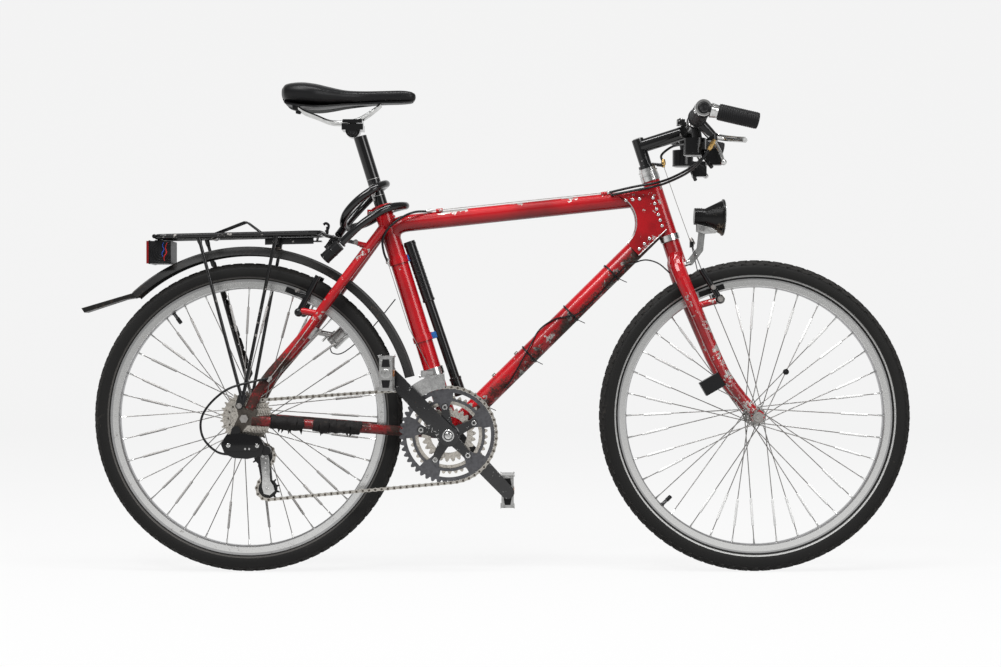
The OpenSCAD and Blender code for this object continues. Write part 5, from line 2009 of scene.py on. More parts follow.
@dataclass
class Drive(Assembly):
    """The chain's links and the fine parts of the cranks, rings, derailleurs and pedals."""

    line_y: float = -54.0
    pitch: float = 12.7
    ring_r: float = 97.09
    cog_r: float = 34.56
    pulley_r: float = 22.54
    guide: tuple[float, float] = (36.0, 241.0)
    tension: tuple[float, float] = (45.0, 174.0)
    crank_angle: float = 133.5
    crank_face: float = 84.0
    bolt_circle: float = 55.0

    def arm(self, k: int) -> float:
        """The angle of the spider's arm k, in degrees."""
        return self.crank_angle + 36 + 72 * k

    def loop(self) -> list[Vector]:
        """The chain's closed line, in short steps."""
        arcs = (
            (BRACKET, self.ring_r, 93.98, -84.69),
            (self.tension, self.pulley_r, -84.69, -214.17),
            (self.guide, self.pulley_r, -34.17, 68.11),
            (REAR, self.cog_r, 248.11, 93.98),
        )
        found = []
        for centre, r, first, last in arcs:
            found += [around(centre, r, first + (last - first) * k / 60, self.line_y) for k in range(61)]
        return found

    def joints(self) -> list[Vector]:
        """The chain's pins, evenly spaced round the loop."""
        line = self.loop()
        line.append(line[0])
        lengths = [(b - a).length for a, b in zip(line, line[1:])]
        total = sum(lengths)
        count = 2 * round(total / (self.pitch * MM) / 2)
        found, k, done = [], 0, 0.0
        for i in range(count):
            want = total * i / count
            while done + lengths[k] < want:
                done += lengths[k]
                k += 1
            found.append(line[k].lerp(line[k + 1], (want - done) / lengths[k]))
        return found

    def chain(self) -> None:
        """Outer and inner links in turn, with their pins and rollers."""
        pins = self.joints()
        outer, inner = Seats(), Seats()
        for i, (a, b) in enumerate(zip(pins, [*pins[1:], pins[0]])):
            (outer if i % 2 else inner).add((a + b) / 2, b - a, LEFT)
        half = self.pitch / 2

        def plate(bm: bmesh.types.BMesh, y: float, end_r: float) -> None:
            """One plate with a narrow waist."""
            outline = []
            for side in (1.0, -1.0):
                for k in range(7):
                    a = math.radians(-68 + 136 * k / 6)
                    outline.append(
                        Vector((side * (half + end_r * math.cos(a)), side * end_r * math.sin(a), y)) * MM
                    )
                outline.append(Vector((0.0, side * end_r * 0.66, y)) * MM)
            add_slab(bm, outline, Vector((0.0, 0.0, 0.95 * MM)))

        def outer_link(bm: bmesh.types.BMesh) -> None:
            """Two outer plates and two riveted pins."""
            plate(bm, 3.1, 4.0)
            plate(bm, -3.1, 4.0)
            for x in (-half, half):
                ends = [(0.0, 1.2), (0.3, 1.9), (8.0, 1.9), (8.3, 1.2), (8.3, 0.0)]
                add_turned(bm, Vector((x, 0.0, -4.15)) * MM, UP, ends, 8)

        def inner_link(bm: bmesh.types.BMesh) -> None:
            """Two inner plates and two rollers."""
            plate(bm, 2.05, 4.1)
            plate(bm, -2.05, 4.1)
            for x in (-half, half):
                add_turned(bm, Vector((x, 0.0, -1.6)) * MM, UP, [(0, 3.7), (3.2, 3.7)], 10)

        self.spread("chain_outer_links", Body.FRAME, "chain_steel", CHAIN_STEEL, outer_link, outer, "chain")
        self.spread("chain_inner_links", Body.FRAME, "chain_steel", CHAIN_STEEL, inner_link, inner)

        def pin_ends(bm: bmesh.types.BMesh) -> None:
            """Dark heads of one link's pins on both sides."""
            for x in (-half, half):
                for side in SIDES:
                    head = Vector((x, 0.0, side * 3.7)) * MM
                    add_turned(
                        bm, head, Vector((0.0, 0.0, side)), [(0, 2.5), (0.6, 2.3), (0.9, 1.6), (0.9, 0)], 10
                    )

        self.spread("chain_pin_ends", Body.FRAME, "chain_steel", LINK_DARK, pin_ends, outer)

    def plate_ring(
        self,
        bm: bmesh.types.BMesh,
        teeth: int,
        inside: Callable[[float], float],
        y: float,
        slots: tuple[float, float, float] | None = None,
    ) -> None:
        """Adds a toothed ring with a shaped hole and five long slots.

        Args:
            bm: The mesh.
            teeth: How many teeth it has.
            inside: The hole's radius at an angle in degrees from the crank.
            y: The middle of its thickness.
            slots: The slots' inner and outer radius and half their angle, if it has them.
        """
        root = teeth * self.pitch / (2 * math.pi) - 3.6
        n = teeth * 6
        tooth = (0.0, 0.0, 4.2, 6.6, 6.6, 4.2)
        table, solid = [], []
        for k in range(n):
            a = 360.0 * k / n
            near = (a - 36.0) % 72.0 - 36.0
            low, high, half = slots or (root - 8.0, root - 6.0, -1.0)
            table.append((inside(a), low, high, root - 1.0, root + tooth[k % 6]))
            solid.append((True, abs(near) >= half, True, True))
        grid = []
        for side in (-1.3, 1.3):
            rows = []
            for k, row in enumerate(table):
                a = self.crank_angle + 360.0 * k / n
                rows.append([bm.verts.new(around(BRACKET, r, a, y + side)) for r in row])
            grid.append(rows)
        for k in range(n):
            j = (k + 1) % n
            for band in range(4):
                if not solid[k][band]:
                    continue
                for rows in grid:
                    bm.faces.new((rows[k][band], rows[k][band + 1], rows[j][band + 1], rows[j][band]))
                for edge, beyond in ((band, band - 1), (band + 1, band + 1)):
                    if beyond in (-1, 4) or not solid[k][beyond]:
                        one, two = grid
                        bm.faces.new((one[k][edge], one[j][edge], two[j][edge], two[k][edge]))
                for here, there in ((k, k - 1), (j, j)):
                    if not solid[there][band]:
                        one, two = grid
                        bm.faces.new(
                            (one[here][band], one[here][band + 1], two[here][band + 1], two[here][band])
                        )

    def rings(self) -> None:
        """Three rings on a black spider with five arms."""

        def lobes(a: float, plain: float, deep: float, half: float) -> float:
            """A hole's radius with five lobes towards the bolts."""
            off = abs((a - 36.0 + 36.0) % 72.0 - 36.0)
            return plain - (plain - deep) * max(0.0, min(1.0, (half - off) / 4.0))

        def outer(bm: bmesh.types.BMesh) -> None:
            """The large ring with slots."""
            self.plate_ring(bm, 48, lambda a: lobes(a, 68.5, 49.0, 12.0), self.line_y, (74.0, 86.0, 21.0))

        self.make("large_ring", Body.CRANKS, "ring_black", RING_GREY, outer, "chainrings")

        def middle(bm: bmesh.types.BMesh) -> None:
            """The middle ring and the collars that hold it off the large one."""
            self.plate_ring(bm, 38, lambda a: lobes(a, 61.5, 49.0, 10.0), self.line_y + 6.5)
            for k in range(5):
                collar = around(BRACKET, self.bolt_circle + 2, self.arm(k), self.line_y + 7.0)
                add_turned(bm, collar, RIGHT, [(0, 4.5), (6.6, 4.5)], 16)

        self.make("middle_ring", Body.CRANKS, "bare_alloy", COG_STEEL, middle)

        def inner(bm: bmesh.types.BMesh) -> None:
            """The small ring."""
            self.plate_ring(bm, 26, lambda a: 37.0, self.line_y + 13.0)
            for k in range(5):
                post = around(BRACKET, 37.5, self.arm(k), self.line_y + 12.6)
                add_turned(bm, post, RIGHT, [(0, 4.6), (14, 4.6)], 14)

        self.make("small_ring", Body.CRANKS, "steel", COG_STEEL, inner)

        def spider(bm: bmesh.types.BMesh) -> None:
            """A hub with five tapered arms."""
            add_turned(
                bm, at(BRACKET[0], -51.0, BRACKET[1]), RIGHT, [(0, 24), (9, 24), (11, 21), (11, 0)], 40
            )
            for k in range(5):
                a = self.arm(k)
                outline = []
                for r, side in (
                    (14, -11), (38, -7.5), (56, -6.8), (63.5, -4), (63.5, 4), (56, 6.8), (38, 7.5), (14, 11)
                ):
                    turn = math.degrees(math.atan2(side, r))
                    outline.append(around(BRACKET, math.hypot(r, side), a + turn, -58.0))
                add_slab(bm, outline, Vector((0.0, 5.0 * MM, 0.0)), 1.4)

        self.make("spider", Body.CRANKS, "black_metal", CRANK_BLACK, spider)

    def ring_bolts(self) -> None:
        """Five two-piece bolts through the rings and spider, and the crank bolts' caps."""
        seats = Seats()
        for k in range(5):
            seats.add(around(BRACKET, self.bolt_circle + 2, self.arm(k), -60.6), RIGHT)

        def bolt(bm: bmesh.types.BMesh) -> None:
            """A shallow head with a socket."""
            profile = [(-2.0, 5.6), (0.6, 5.6), (1.3, 4.9), (1.3, 3.0), (-1.2, 2.7), (-1.2, 0.0)]
            add_turned(bm, Vector(), AHEAD, profile, 18)

        self.spread("ring_bolts", Body.CRANKS, "bare_alloy", BRIGHT_ALLOY, bolt, seats)

        def caps(bm: bmesh.types.BMesh) -> None:
            """A ring, a washer and a domed bolt on each crank."""
            for side in SIDES:
                out = outward(side)
                face = at(BRACKET[0], side * self.crank_face, BRACKET[1])
                add_turned(
                    bm, face, out,
                    [(-3.0, 12.0), (0.6, 12.0), (1.2, 11.2), (1.2, 9.2), (-1.5, 8.8), (-1.5, 0)], 28
                )
                add_turned(
                    bm, face - out * 0.0015, out,
                    [(0, 7.0), (1.6, 7.0), (2.4, 5.6), (2.6, 3.2), (1.4, 3.0), (1.4, 0)], 20
                )

        self.make("crank_caps", Body.CRANKS, "bare_alloy", BRIGHT_ALLOY, caps)

    def derailleurs(self) -> None:
        """Barrel adjuster, springs, limit screws, pivots and pulley bolts."""
        y = self.line_y

        def black(bm: bmesh.types.BMesh) -> None:
            """The body's moulded link, knuckles and adjuster."""
            outline = [
                (-38, 246), (-46, 266), (-34, 286), (0, 288), (32, 282), (42, 264), (36, 242), (8, 236),
                (-20, 238)
            ]
            add_slab(bm, [at(px, -86.0, pz) for px, pz in outline], Vector((0.0, 11.0 * MM, 0.0)), 3.0)
            ridge = [(-40, 262), (-30, 276), (28, 273), (34, 258), (26, 252), (-30, 252)]
            add_slab(bm, [at(px, -92.0, pz) for px, pz in ridge], Vector((0.0, 4.0 * MM, 0.0)), 1.6)
            ridges = [(0.6 * k, 4.4 if k % 2 else 3.9) for k in range(14)]
            add_turned(bm, at(-15.0, -86.0, 244.0), Vector((1.0, 0.0, 0.02)), [*ridges, (8.4, 0.0)], 16)
            for px, pz in ((self.guide[0], self.guide[1]), (self.tension[0], self.tension[1])):
                add_turned(bm, at(px, y - 9.0, pz), LEFT, [(0, 6.0), (1.2, 7.0), (1.2, 0)], 20)

        self.make("rear_derailleur_body", Body.FRAME, "black_metal", SATIN_BLACK, black)

        def bright(bm: bmesh.types.BMesh) -> None:
            """Pivots, screws and pulley bolts."""
            side = RIGHT
            for px, py, pz, r in (
                (-16.0, -85.6, 293.0, 5.6),
                (-30.0, -93.8, 264.0, 4.4),
                (28.0, -93.8, 263.0, 4.0),
                (4.0, -93.8, 257.0, 2.2),
                (12.0, -93.8, 257.0, 2.2),
                (self.guide[0], y - 10.0, self.guide[1], 3.6),
                (self.tension[0], y - 10.0, self.tension[1], 3.6),
            ):
                add_bolt(bm, at(px, py, pz), side, r, 1.8, False)

        self.make("rear_derailleur_bolts", Body.FRAME, "bare_alloy", BRIGHT_ALLOY, bright)

        def cage(bm: bmesh.types.BMesh) -> None:
            """A bright cage arm down to the lower pulley and the ring round its bolt."""
            outline = [
                (29, 250), (43, 252), (49, 236), (50, 190), (57, 182), (60, 170), (50, 161), (38, 164),
                (34, 178), (35, 196)
            ]
            add_slab(bm, [at(px, y - 9.6, pz) for px, pz in outline], Vector((0.0, 1.6 * MM, 0.0)), 0.5)
            for k in range(5):
                add_turned(
                    bm, at(42.0 - 0.4 * k, y - 10.2, 236.0 - 9.5 * k), RIGHT,
                    [(0, 2.2), (0.6, 1.8), (0.6, 0)], 12
                )

        self.make("rear_derailleur_cage", Body.FRAME, "bare_alloy", BRIGHT_ALLOY, cage)

        def coil(bm: bmesh.types.BMesh) -> None:
            """The return spring between the parallelogram's plates."""
            path = []
            for k in range(90):
                a = k * 2 * math.pi / 12
                path.append(at(30.0 + 3.6 * math.cos(a), -75.5 - 0.10 * k, 276.5 + 3.6 * math.sin(a)))
            add_tube(bm, path, 0.8, 6)

        self.make("rear_derailleur_spring", Body.FRAME, "steel", STEEL, coil)

        def front(bm: bmesh.types.BMesh) -> None:
            """The clamp's bolt and the link's pivots."""
            add_bolt(bm, seat(133, -27, -22), Vector((-1.0, 0.0, -0.3)), 4.0, 3.0, False)
            add_bolt(bm, seat(133, -6, -44.5), RIGHT, 3.6, 1.6, False)
            add_bolt(bm, seat(123, -16, -44.5), RIGHT, 3.0, 1.6, False)

        self.make("front_derailleur_bolts", Body.FRAME, "bare_alloy", BRIGHT_ALLOY, front)

    def cassette(self) -> None:
        """The lockring with its notches and the dark spacers between the cogs."""

        def lockring(bm: bmesh.types.BMesh) -> None:
            """A ring with notches for a tool."""
            outline = []
            for k in range(48):
                r = 12.6 if k % 4 < 2 else 11.4
                outline.append((math.radians(k * 7.5), r))
            low = [around(REAR, r, math.degrees(a), -64.4) for a, r in outline]
            add_slab(bm, low, Vector((0.0, 2.4 * MM, 0.0)))
            add_turned(
                bm, at(0.0, -63.6, 317.0), RIGHT, [(0, 17.0), (0.9, 17.0), (1.2, 16.0), (1.2, 12.0)], 30
            )

        self.make("cassette_lockring", Body.CASSETTE, "steel", DULL_ALLOY, lockring)

        def spacers(bm: bmesh.types.BMesh) -> None:
            """Rings between the cogs."""
            for i in range(6):
                y = self.line_y + (i - 2) * 5.0 + 2.5
                add_turned(bm, at(0.0, y - 1.5, 317.0), LEFT, [(0, 19.0), (3.0, 19.0)], 30)

        self.make("cassette_spacers", Body.CASSETTE, "steel", MATT_BLACK, spacers)

    def pedals(self) -> None:
        """Toothed cage edges, the axle's cap and amber reflectors."""
        for side, body, turn in ((-1.0, Body.RIGHT_PEDAL, 0.0), (1.0, Body.LEFT_PEDAL, 180.0)):
            word = "right" if side < 0 else "left"
            middle = around(BRACKET, 175.0, self.crank_angle + turn, side * (self.crank_face + 49.0))
            teeth = Seats()
            for z in (-1.0, 1.0):
                for x in (-1.0, 1.0):
                    for k in range(12):
                        spot = middle + Vector((x * 14.2, (k - 5.5) * 6.6, z * 34.6)) * MM
                        teeth.add(spot, LEFT, Vector((0.0, 0.0, z)))

            def tooth(bm: bmesh.types.BMesh) -> None:
                """A low saw tooth."""
                outline = [
                    Vector((-2.6, 0, -0.5)), Vector((2.6, 0, -0.5)), Vector((1.0, 0, 2.0)),
                    Vector((-1.0, 0, 2.0))
                ]
                add_slab(bm, [p * MM for p in outline], Vector((0.0, 1.7 * MM, 0.0)))

            self.spread(f"{word}_pedal_teeth", body, "bare_alloy", BRIGHT_ALLOY, tooth, teeth)

            def cap(bm: bmesh.types.BMesh, m: Vector = middle, s: float = side) -> None:
                """Dust cap, axle flange and cage screws."""
                out = Vector((0.0, s, 0.0))
                add_turned(bm, m + out * 0.0448, out, [(0, 9.5), (2.0, 9.5), (3.4, 8.0), (3.4, 0)], 22)
                add_turned(bm, m - out * 0.0482, out, [(-4.2, 7.4), (2.0, 7.4), (2.0, 9.5), (3.4, 9.5)], 6)
                for x in (-9.0, 9.0):
                    for z in (-24.0, 24.0):
                        add_bolt(bm, m + out * 0.0425 + Vector((x, 0.0, z)) * MM, out, 2.4, 1.4, False)

            self.make(f"{word}_pedal_caps", body, "bare_alloy", DULL_ALLOY, cap)

            def painted_shade_plates(bm: bmesh.types.BMesh, m: Vector = middle, s: float = side) -> None:
                """Painted shade: thin matt black plates in the cage's side plates, standing in for the
                shade inside its hollows.
                """
                for far in (0.0451, -0.0451):
                    for z in (-1.0, 1.0):
                        spots = ((-8.5, 13), (8.5, 13), (6.0, 28), (-6.0, 28))
                        outline = [m + Vector((px, s * far / MM, z * pz)) * MM for px, pz in spots]
                        add_slab(bm, outline, Vector((0.0, 0.5 * MM, 0.0)))

            self.make(f"{word}_pedal_gaps", body, "black_metal", MATT_BLACK, painted_shade_plates)

            def reflector(bm: bmesh.types.BMesh, m: Vector = middle) -> None:
                """A ribbed amber plate in each side of the cage."""
                for x in (-1.0, 1.0):
                    for k in range(9):
                        spot = m + Vector((x * 13.6, (k - 4) * 5.2, 0.0)) * MM
                        outline = [
                            spot + Vector((0, dy, dz)) * MM for dy,
                            dz in ((-2.5, -7), (2.5, -7), (2.5, 7), (-2.5, 7))
                        ]
                        add_slab(bm, outline, Vector((1.6 * MM, 0.0, 0.0)), 0.5)

            self.make(f"{word}_pedal_reflectors", body, "red_lens", AMBER, reflector)

    def build(self) -> None:
        """Builds and dresses the drive."""
        self.dress(
            {
                "cranks": CRANK_BLACK,
                "cassette": COG_STEEL,
                "front_derailleur": BRIGHT_ALLOY,
                "rear_derailleur": SATIN_BLACK,
                "pedal_right": DULL_ALLOY,
                "pedal_left": DULL_ALLOY,
            }
        )
        self.chain()
        self.rings()
        self.ring_bolts()
        self.derailleurs()
        self.cassette()
        self.pedals()


# ---- bar, saddle, fork ----

FRONT_BRAKE_HOUSING = Cable(
    "front_brake_housing",
    (
        (853.0, 0.0, 841.0),
        (849.0, 3.0, 856.0),
        (868.0, 18.0, 873.0),
        (888.0, 50.0, 882.0),
        (914.0, 108.0, 888.0),
        (930.0, 138.0, 884.0),
    ),
    2.5,
)


@dataclass
class Saddle(Assembly):
    """A padded saddle with a piped lower edge, a base shell, and the post's clamp."""

    # along, half width, top and underside, in millimetres, from the tail to the nose
    sections: tuple[tuple[float, float, float, float], ...] = (
        (72, 44, 992, 968),
        (82, 64, 1000, 958),
        (110, 75, 1003, 953),
        (140, 74, 1000, 951),
        (168, 61, 994, 953),
        (200, 43, 988, 957),
        (235, 29, 987, 960),
        (275, 22, 988, 963),
        (312, 19, 989, 964),
        (332, 15.5, 987, 965.5),
        (340, 10.5, 983.5, 968),
    )
    sides: int = 44

    def rows(self, steps: int = 6) -> list[tuple[float, float, float, float]]:
        """The sections with smooth ones between them."""
        half = smooth_path([Vector((x, w, 0.0)) for x, w, _, _ in self.sections], steps)
        top = smooth_path([Vector((x, t, b)) for x, _, t, b in self.sections], steps)
        return [(p.x, p.y, q.y, q.z) for p, q in zip(half, top)]

    def point(self, row: tuple[float, float, float, float], a: float) -> Vector:
        """A point of the cover at an angle round a section: crowned above, tucked in below.

        Args:
            row: The section as (x, half width, top, bottom) in millimetres.
            a: The angle round it.

        Returns:
            The point in metres.
        """
        x, w, top, low = row
        c, s = math.cos(a), math.sin(a)
        across = math.copysign(abs(c) ** 0.72, c) * w
        rise = math.copysign(abs(s) ** 0.72, s)
        if s < 0:
            across *= 1 - 0.10 * abs(s)
        else:
            rise -= 0.05 * s * (1 - min(abs(across) / 16.0, 1.0))
        return at(x, across, (top + low) / 2 + (top - low) / 2 * rise)

    def cover(self) -> None:
        """The padded cover, closed at both ends."""

        def build(bm: bmesh.types.BMesh) -> None:
            """Lofts the cover through its rows."""
            rings = []
            for row in self.rows():
                turn = [2 * math.pi * k / self.sides for k in range(self.sides)]
                rings.append([bm.verts.new(self.point(row, a)) for a in turn])
            for one, two in zip(rings, rings[1:]):
                for k in range(self.sides):
                    j = (k + 1) % self.sides
                    bm.faces.new((one[k], one[j], two[j], two[k]))
            for ring, sign in ((rings[0], -1.0), (rings[-1], 1.0)):
                inner = ring
                for shrink, out in ((0.82, 1.4), (0.5, 2.4), (0.2, 2.8)):
                    middle = sum((v.co for v in ring), Vector()) / len(ring)
                    new = [
                        bm.verts.new(
                            middle + (v.co - middle) * shrink + Vector((sign * out * MM, 0.0, 0.0))
                        )
                        for v in ring
                    ]
                    for k in range(self.sides):
                        j = (k + 1) % self.sides
                        bm.faces.new((inner[k], inner[j], new[j], new[k]))
                    inner = new
                bm.faces.new(inner)
            for v in bm.verts:
                p = v.co * 40
                v.co += v.co.normalized() * 0.25 * MM * noise.noise(p)

        piece = self.make("saddle_cushion", Body.FRAME, "saddle_cover", HIDE, build, "saddle")

    def seams(self) -> None:
        """Piping round the lower edge, and the moulded base shell with its two bumpers."""
        rows = self.rows()

        def piping(bm: bmesh.types.BMesh) -> None:
            """One closed cord along the cover's lower edge."""
            low = math.radians(-58)
            near = [self.point(row, math.pi - low) for row in rows[1:-1]]
            far = [self.point(row, low) for row in rows[1:-1]]
            add_tube(bm, [*near, *far[::-1]], 1.5, 8, closed=True)

        self.make("saddle_piping", Body.FRAME, "saddle_cover", HIDE, piping)

        def base(bm: bmesh.types.BMesh) -> None:
            """The moulded shell under the cover and its two bumpers."""
            outline = [at(x, w * 0.80, 0.0) for x, w, _, _ in rows[3:-2]]
            outline += [Vector((p.x, -p.y, p.z)) for p in outline[::-1]]
            low = [row[3] for row in rows[3:-2]]
            for p, z in zip(outline, [*low, *low[::-1]]):
                p.z = at(0.0, 0.0, z - 0.6).z
            add_slab(bm, outline, Vector((0.0, 0.0, 3.2 * MM)))
            for y in (-34.0, 34.0):
                add_turned(
                    bm, at(98.0, y, 949.0), Vector((0.2, 0.0, 1.0)), [(-4, 5.0), (6, 8.0), (8, 8.0)], 16
                )

        self.make("saddle_base", Body.FRAME, "saddle_cover", MATT_BLACK, base)

    def clamp(self) -> None:
        """Bolts and washers of the post's clamp and the lines of the post's collar."""

        def build(bm: bmesh.types.BMesh) -> None:
            """The clamp's cross bolt and its side plates."""
            middle = Vector((214.3, 0.0, 906.1))
            for side in SIDES:
                out = outward(side)
                add_bolt(bm, at(middle.x, side * 19.0, middle.z - 3), out, 6.0, 4.0, True)
                plate = [(0, 9.6), (1.4, 9.6), (2.2, 8.8), (2.2, 6.4), (0.8, 6.0)]
                add_turned(bm, at(middle.x, side * 17.0, middle.z - 3), out, plate, 26)

        self.make("saddle_clamp_bolts", Body.FRAME, "black_metal", CRANK_BLACK, build)

        def collar(bm: bmesh.types.BMesh) -> None:
            """Worn bright height marks round the seat post's lower part."""
            axis = seat(520.0) - seat(500.0)
            for s in (512.0, 524.0, 536.0, 548.0):
                add_turned(bm, seat(s), axis, [(0, 13.65), (0.5, 13.75), (1.0, 13.65)], 28)

        self.make("seat_post_marks", Body.FRAME, "post_black", DULL_ALLOY, collar)

    def build(self) -> None:
        """Builds and dresses the saddle."""
        self.dress({"seat_post": POST_BLACK, "saddle_rails": BRIGHT_ALLOY})
        self.cover()
        self.seams()
        self.clamp()


@dataclass
class Cockpit(Assembly):
    """The bar with its grips, ends, levers and shifters, the stem, the lamp, the fork and its brake."""

    half: float = 300.0
    centre: tuple[float, float] = (904.5, 905.2)

    def bar(self, y: float, ahead: float = 0.0, up: float = 0.0) -> Vector:
        """A point on the bar's axis, y to the left, and some way ahead and up of it.

        Args:
            y: Millimetres to the left.
            ahead: Millimetres in front.
            up: Millimetres above.

        Returns:
            The point in metres.
        """
        return at(self.centre[0] + ahead, y, self.centre[1] + 14.0 * abs(y) / self.half + up)

    def grips(self) -> None:
        """Ribbed rubber on the bar and round the bar-ends."""
        dip = math.radians(13.0)
        ahead = Vector((math.cos(dip), 0.0, -math.sin(dip)))

        def build(bm: bmesh.types.BMesh) -> None:
            """Ridged sleeves."""
            for side in SIDES:
                ribs = [(0.0, 16.05), (1.0, 17.6), (4.0, 17.6), (5.0, 16.1)]
                for k in range(22):
                    ribs += [
                        (6.5 + 4 * k, 16.1), (7.3 + 4 * k, 16.7), (9.3 + 4 * k, 16.7), (10.1 + 4 * k, 16.1)
                    ]
                add_turned(
                    bm, self.bar(side * 181.0), self.bar(side * 280.0) - self.bar(side * 181.0), ribs, 32
                )
                root = self.bar(side * 293.0)
                knurl = [(31.0, 12.1), (31.4, 15.4)]
                for k in range(18):
                    knurl += [
                        (32.6 + 4 * k, 15.6), (33.4 + 4 * k, 16.2), (35.2 + 4 * k, 16.2),
                        (36.0 + 4 * k, 15.6)
                    ]
                knurl += [(104.6, 15.9), (107.6, 14.6), (108.6, 11.0), (108.8, 0.0)]
                add_turned(bm, root, ahead, knurl, 32)

        self.make("grip_ribs", Body.STEERING, "rubber", SOFT_BLACK, build)

        def clamp(bm: bmesh.types.BMesh) -> None:
            """A bright ring on each bar-end's clamp, its wedge and its bolt."""
            for side in SIDES:
                out = outward(side)
                ring = [(-13.6, 15.6), (-13.0, 16.1), (2.0, 16.1), (3.2, 15.2), (3.2, 11.6), (1.0, 11.2)]
                add_turned(bm, self.bar(side * 300.0), out, ring, 36)
                add_turned(
                    bm, self.bar(side * 293.0) + ahead * 0.0145, ahead,
                    [(0, 14.6), (9, 13.4), (16, 12.6), (16.6, 12.1)], 24
                )
                add_bolt(
                    bm, self.bar(side * 293.0, -15.0, -6.0), Vector((-1.0, 0.0, -0.4)), 3.6, 2.6, False
                )

        self.make("bar_end_clamps", Body.STEERING, "bare_alloy", BRIGHT_ALLOY, clamp)

        def plugs(bm: bmesh.types.BMesh) -> None:
            """Dark plugs in the bar's ends."""
            for side in SIDES:
                plug = [(1.2, 11.3), (4.0, 10.8), (5.0, 8.6), (4.2, 7.4), (4.2, 0.0)]
                add_turned(bm, self.bar(side * 300.0), outward(side), plug, 24)

        self.make("bar_plugs", Body.STEERING, "rubber", MATT_BLACK, plugs)

    def levers(self) -> None:
        """Black lever bodies on bright blades, thumb levers, adjusters and clamp bolts."""

        def bodies(bm: bmesh.types.BMesh) -> None:
            """The hinge's housing and the clamp's cap on each side."""
            for side in SIDES:
                add_turned(
                    bm, at(938.0, side * 150.0, 870.6), UP, [(0, 9.6), (1, 11.0), (14, 11.0), (15.4, 9.4)],
                    28
                )
                housing = [(0, 10.0), (2, 10.4), (26, 9.6), (40, 8.4), (42, 6.0)]
                add_turned(
                    bm, self.bar(side * 157.0, 8.0, -6.0),
                    at(941.0, side * 150.0, 876.0) - self.bar(side * 157.0), housing, 20
                )
                add_turned(
                    bm, at(905.0, side * 128.0, 842.6), UP,
                    [(0, 18.0), (1.5, 22.3), (4.5, 22.5), (6, 21.0), (9, 21.0)], 36
                )
                cover = [
                    at(926, side * 136, 0), at(956, side * 132, 0), at(956, side * 150, 0),
                    at(926, side * 150, 0)
                ]
                for p in cover:
                    p.z = at(0, 0, 854.2).z
                add_slab(bm, cover, Vector((0.0, 0.0, 2.6 * MM)), 0.8)

        self.make("lever_bodies", Body.STEERING, "black_plastic", SATIN_BLACK, bodies)

        def bright(bm: bmesh.types.BMesh) -> None:
            """The thumb levers with their ball ends, hinge pins and screws."""
            for side in SIDES:
                root = at(938.0, side * 154.0, 872.0)
                end = at(957.0, side * 168.0, 829.0)
                add_tube(
                    bm, smooth_path([root, (root + end) / 2 + Vector((0.003, 0, -0.001)), end], 6),
                    lambda t: 4.6 - 1.0 * t, 12
                )
                along = (end - root).normalized()
                ball = [
                    (
                        6.2 - 6.2 * math.cos(math.pi * k / 8), 6.2 * math.sin(math.pi * k / 8)
                    ) for k in range(9)
                ]
                add_turned(
                    bm, end - along * 0.004, along,
                    [(p, max(r, 0.0) if 0 < k < 8 else 0.0) for k, (p, r) in enumerate(ball)], 18
                )
                add_bolt(bm, at(938.0, side * 150.0, 886.0), UP, 4.4, 2.0, False)
                add_bolt(
                    bm, self.bar(side * 157.0, -12.0, -9.8), Vector((-0.75, 0.0, -0.66)), 3.2, 2.6, False
                )
                for x in (929.0, 952.0):
                    add_bolt(bm, at(x, side * 141.0, 855.6), UP, 1.9, 1.0, False)
                lip = [
                    at(
                        944 + 48 * k / 12, side * (151 + 81 * (k / 12) ** 1.6), 884.5 - 15 * k / 12
                    ) for k in range(13)
                ]
                add_tube(bm, lip, 1.6, 8)

        self.make("lever_metal", Body.STEERING, "bare_alloy", BRIGHT_ALLOY, bright)

        def adjusters(bm: bmesh.types.BMesh) -> None:
            """Knurled brass barrels where the housings leave the levers and shifters."""
            barrel = [
                (-5.0, 3.4), (0.0, 3.4), (0.2, 5.0), (1.5, 4.6), (3.0, 5.0), (4.5, 4.6), (6.0, 5.0),
                (7.4, 4.4)
            ]
            for p, q in (
                (REAR_BRAKE_HOUSING.points[0], REAR_BRAKE_HOUSING.points[1]),
                (GEAR_HOUSING.points[0], GEAR_HOUSING.points[1]),
                (FRONT_BRAKE_HOUSING.points[-1], FRONT_BRAKE_HOUSING.points[-2]),
                ((853.0, 0.0, 836.0), (853.0, 0.0, 850.0)),
            ):
                add_turned(bm, at(*p), at(*q) - at(*p), [*barrel, (12.0, 3.2), (12.0, 2.6)], 16)

        self.make("cable_adjusters", Body.STEERING, "bare_alloy", BRASS, adjusters)

    def stem(self) -> None:
        """The clamp's bolt, the expander's bolt and lock rings of the headset."""

        def build(bm: bmesh.types.BMesh) -> None:
            """Bolts with sockets, and knurled rings."""
            axis = steer(600.0) - steer(500.0)
            top = [(-0.4, 12.2), (1.0, 12.0), (2.2, 9.6), (2.2, 5.4), (-2.0, 5.2), (-2.0, 0.0)]
            add_turned(bm, steer(615.0), axis, top, 28)
            add_bolt(bm, at(888.5, 0.0, 929.0), UP, 4.2, 3.4, False)
            for s, r in (
                (527.5, 17.4), (531.0, 16.6), (536.2, 17.4), (541.5, 16.2), (546.0, 16.8), (550.0, 16.4),
                (409.0, 17.6), (398.6, 17.9)
            ):
                add_turned(bm, steer(s), axis, [(-0.8, r), (0.0, r + 0.5), (0.8, r)], 36)

        self.make("stem_bolts", Body.STEERING, "bare_alloy", BRIGHT_ALLOY, build)

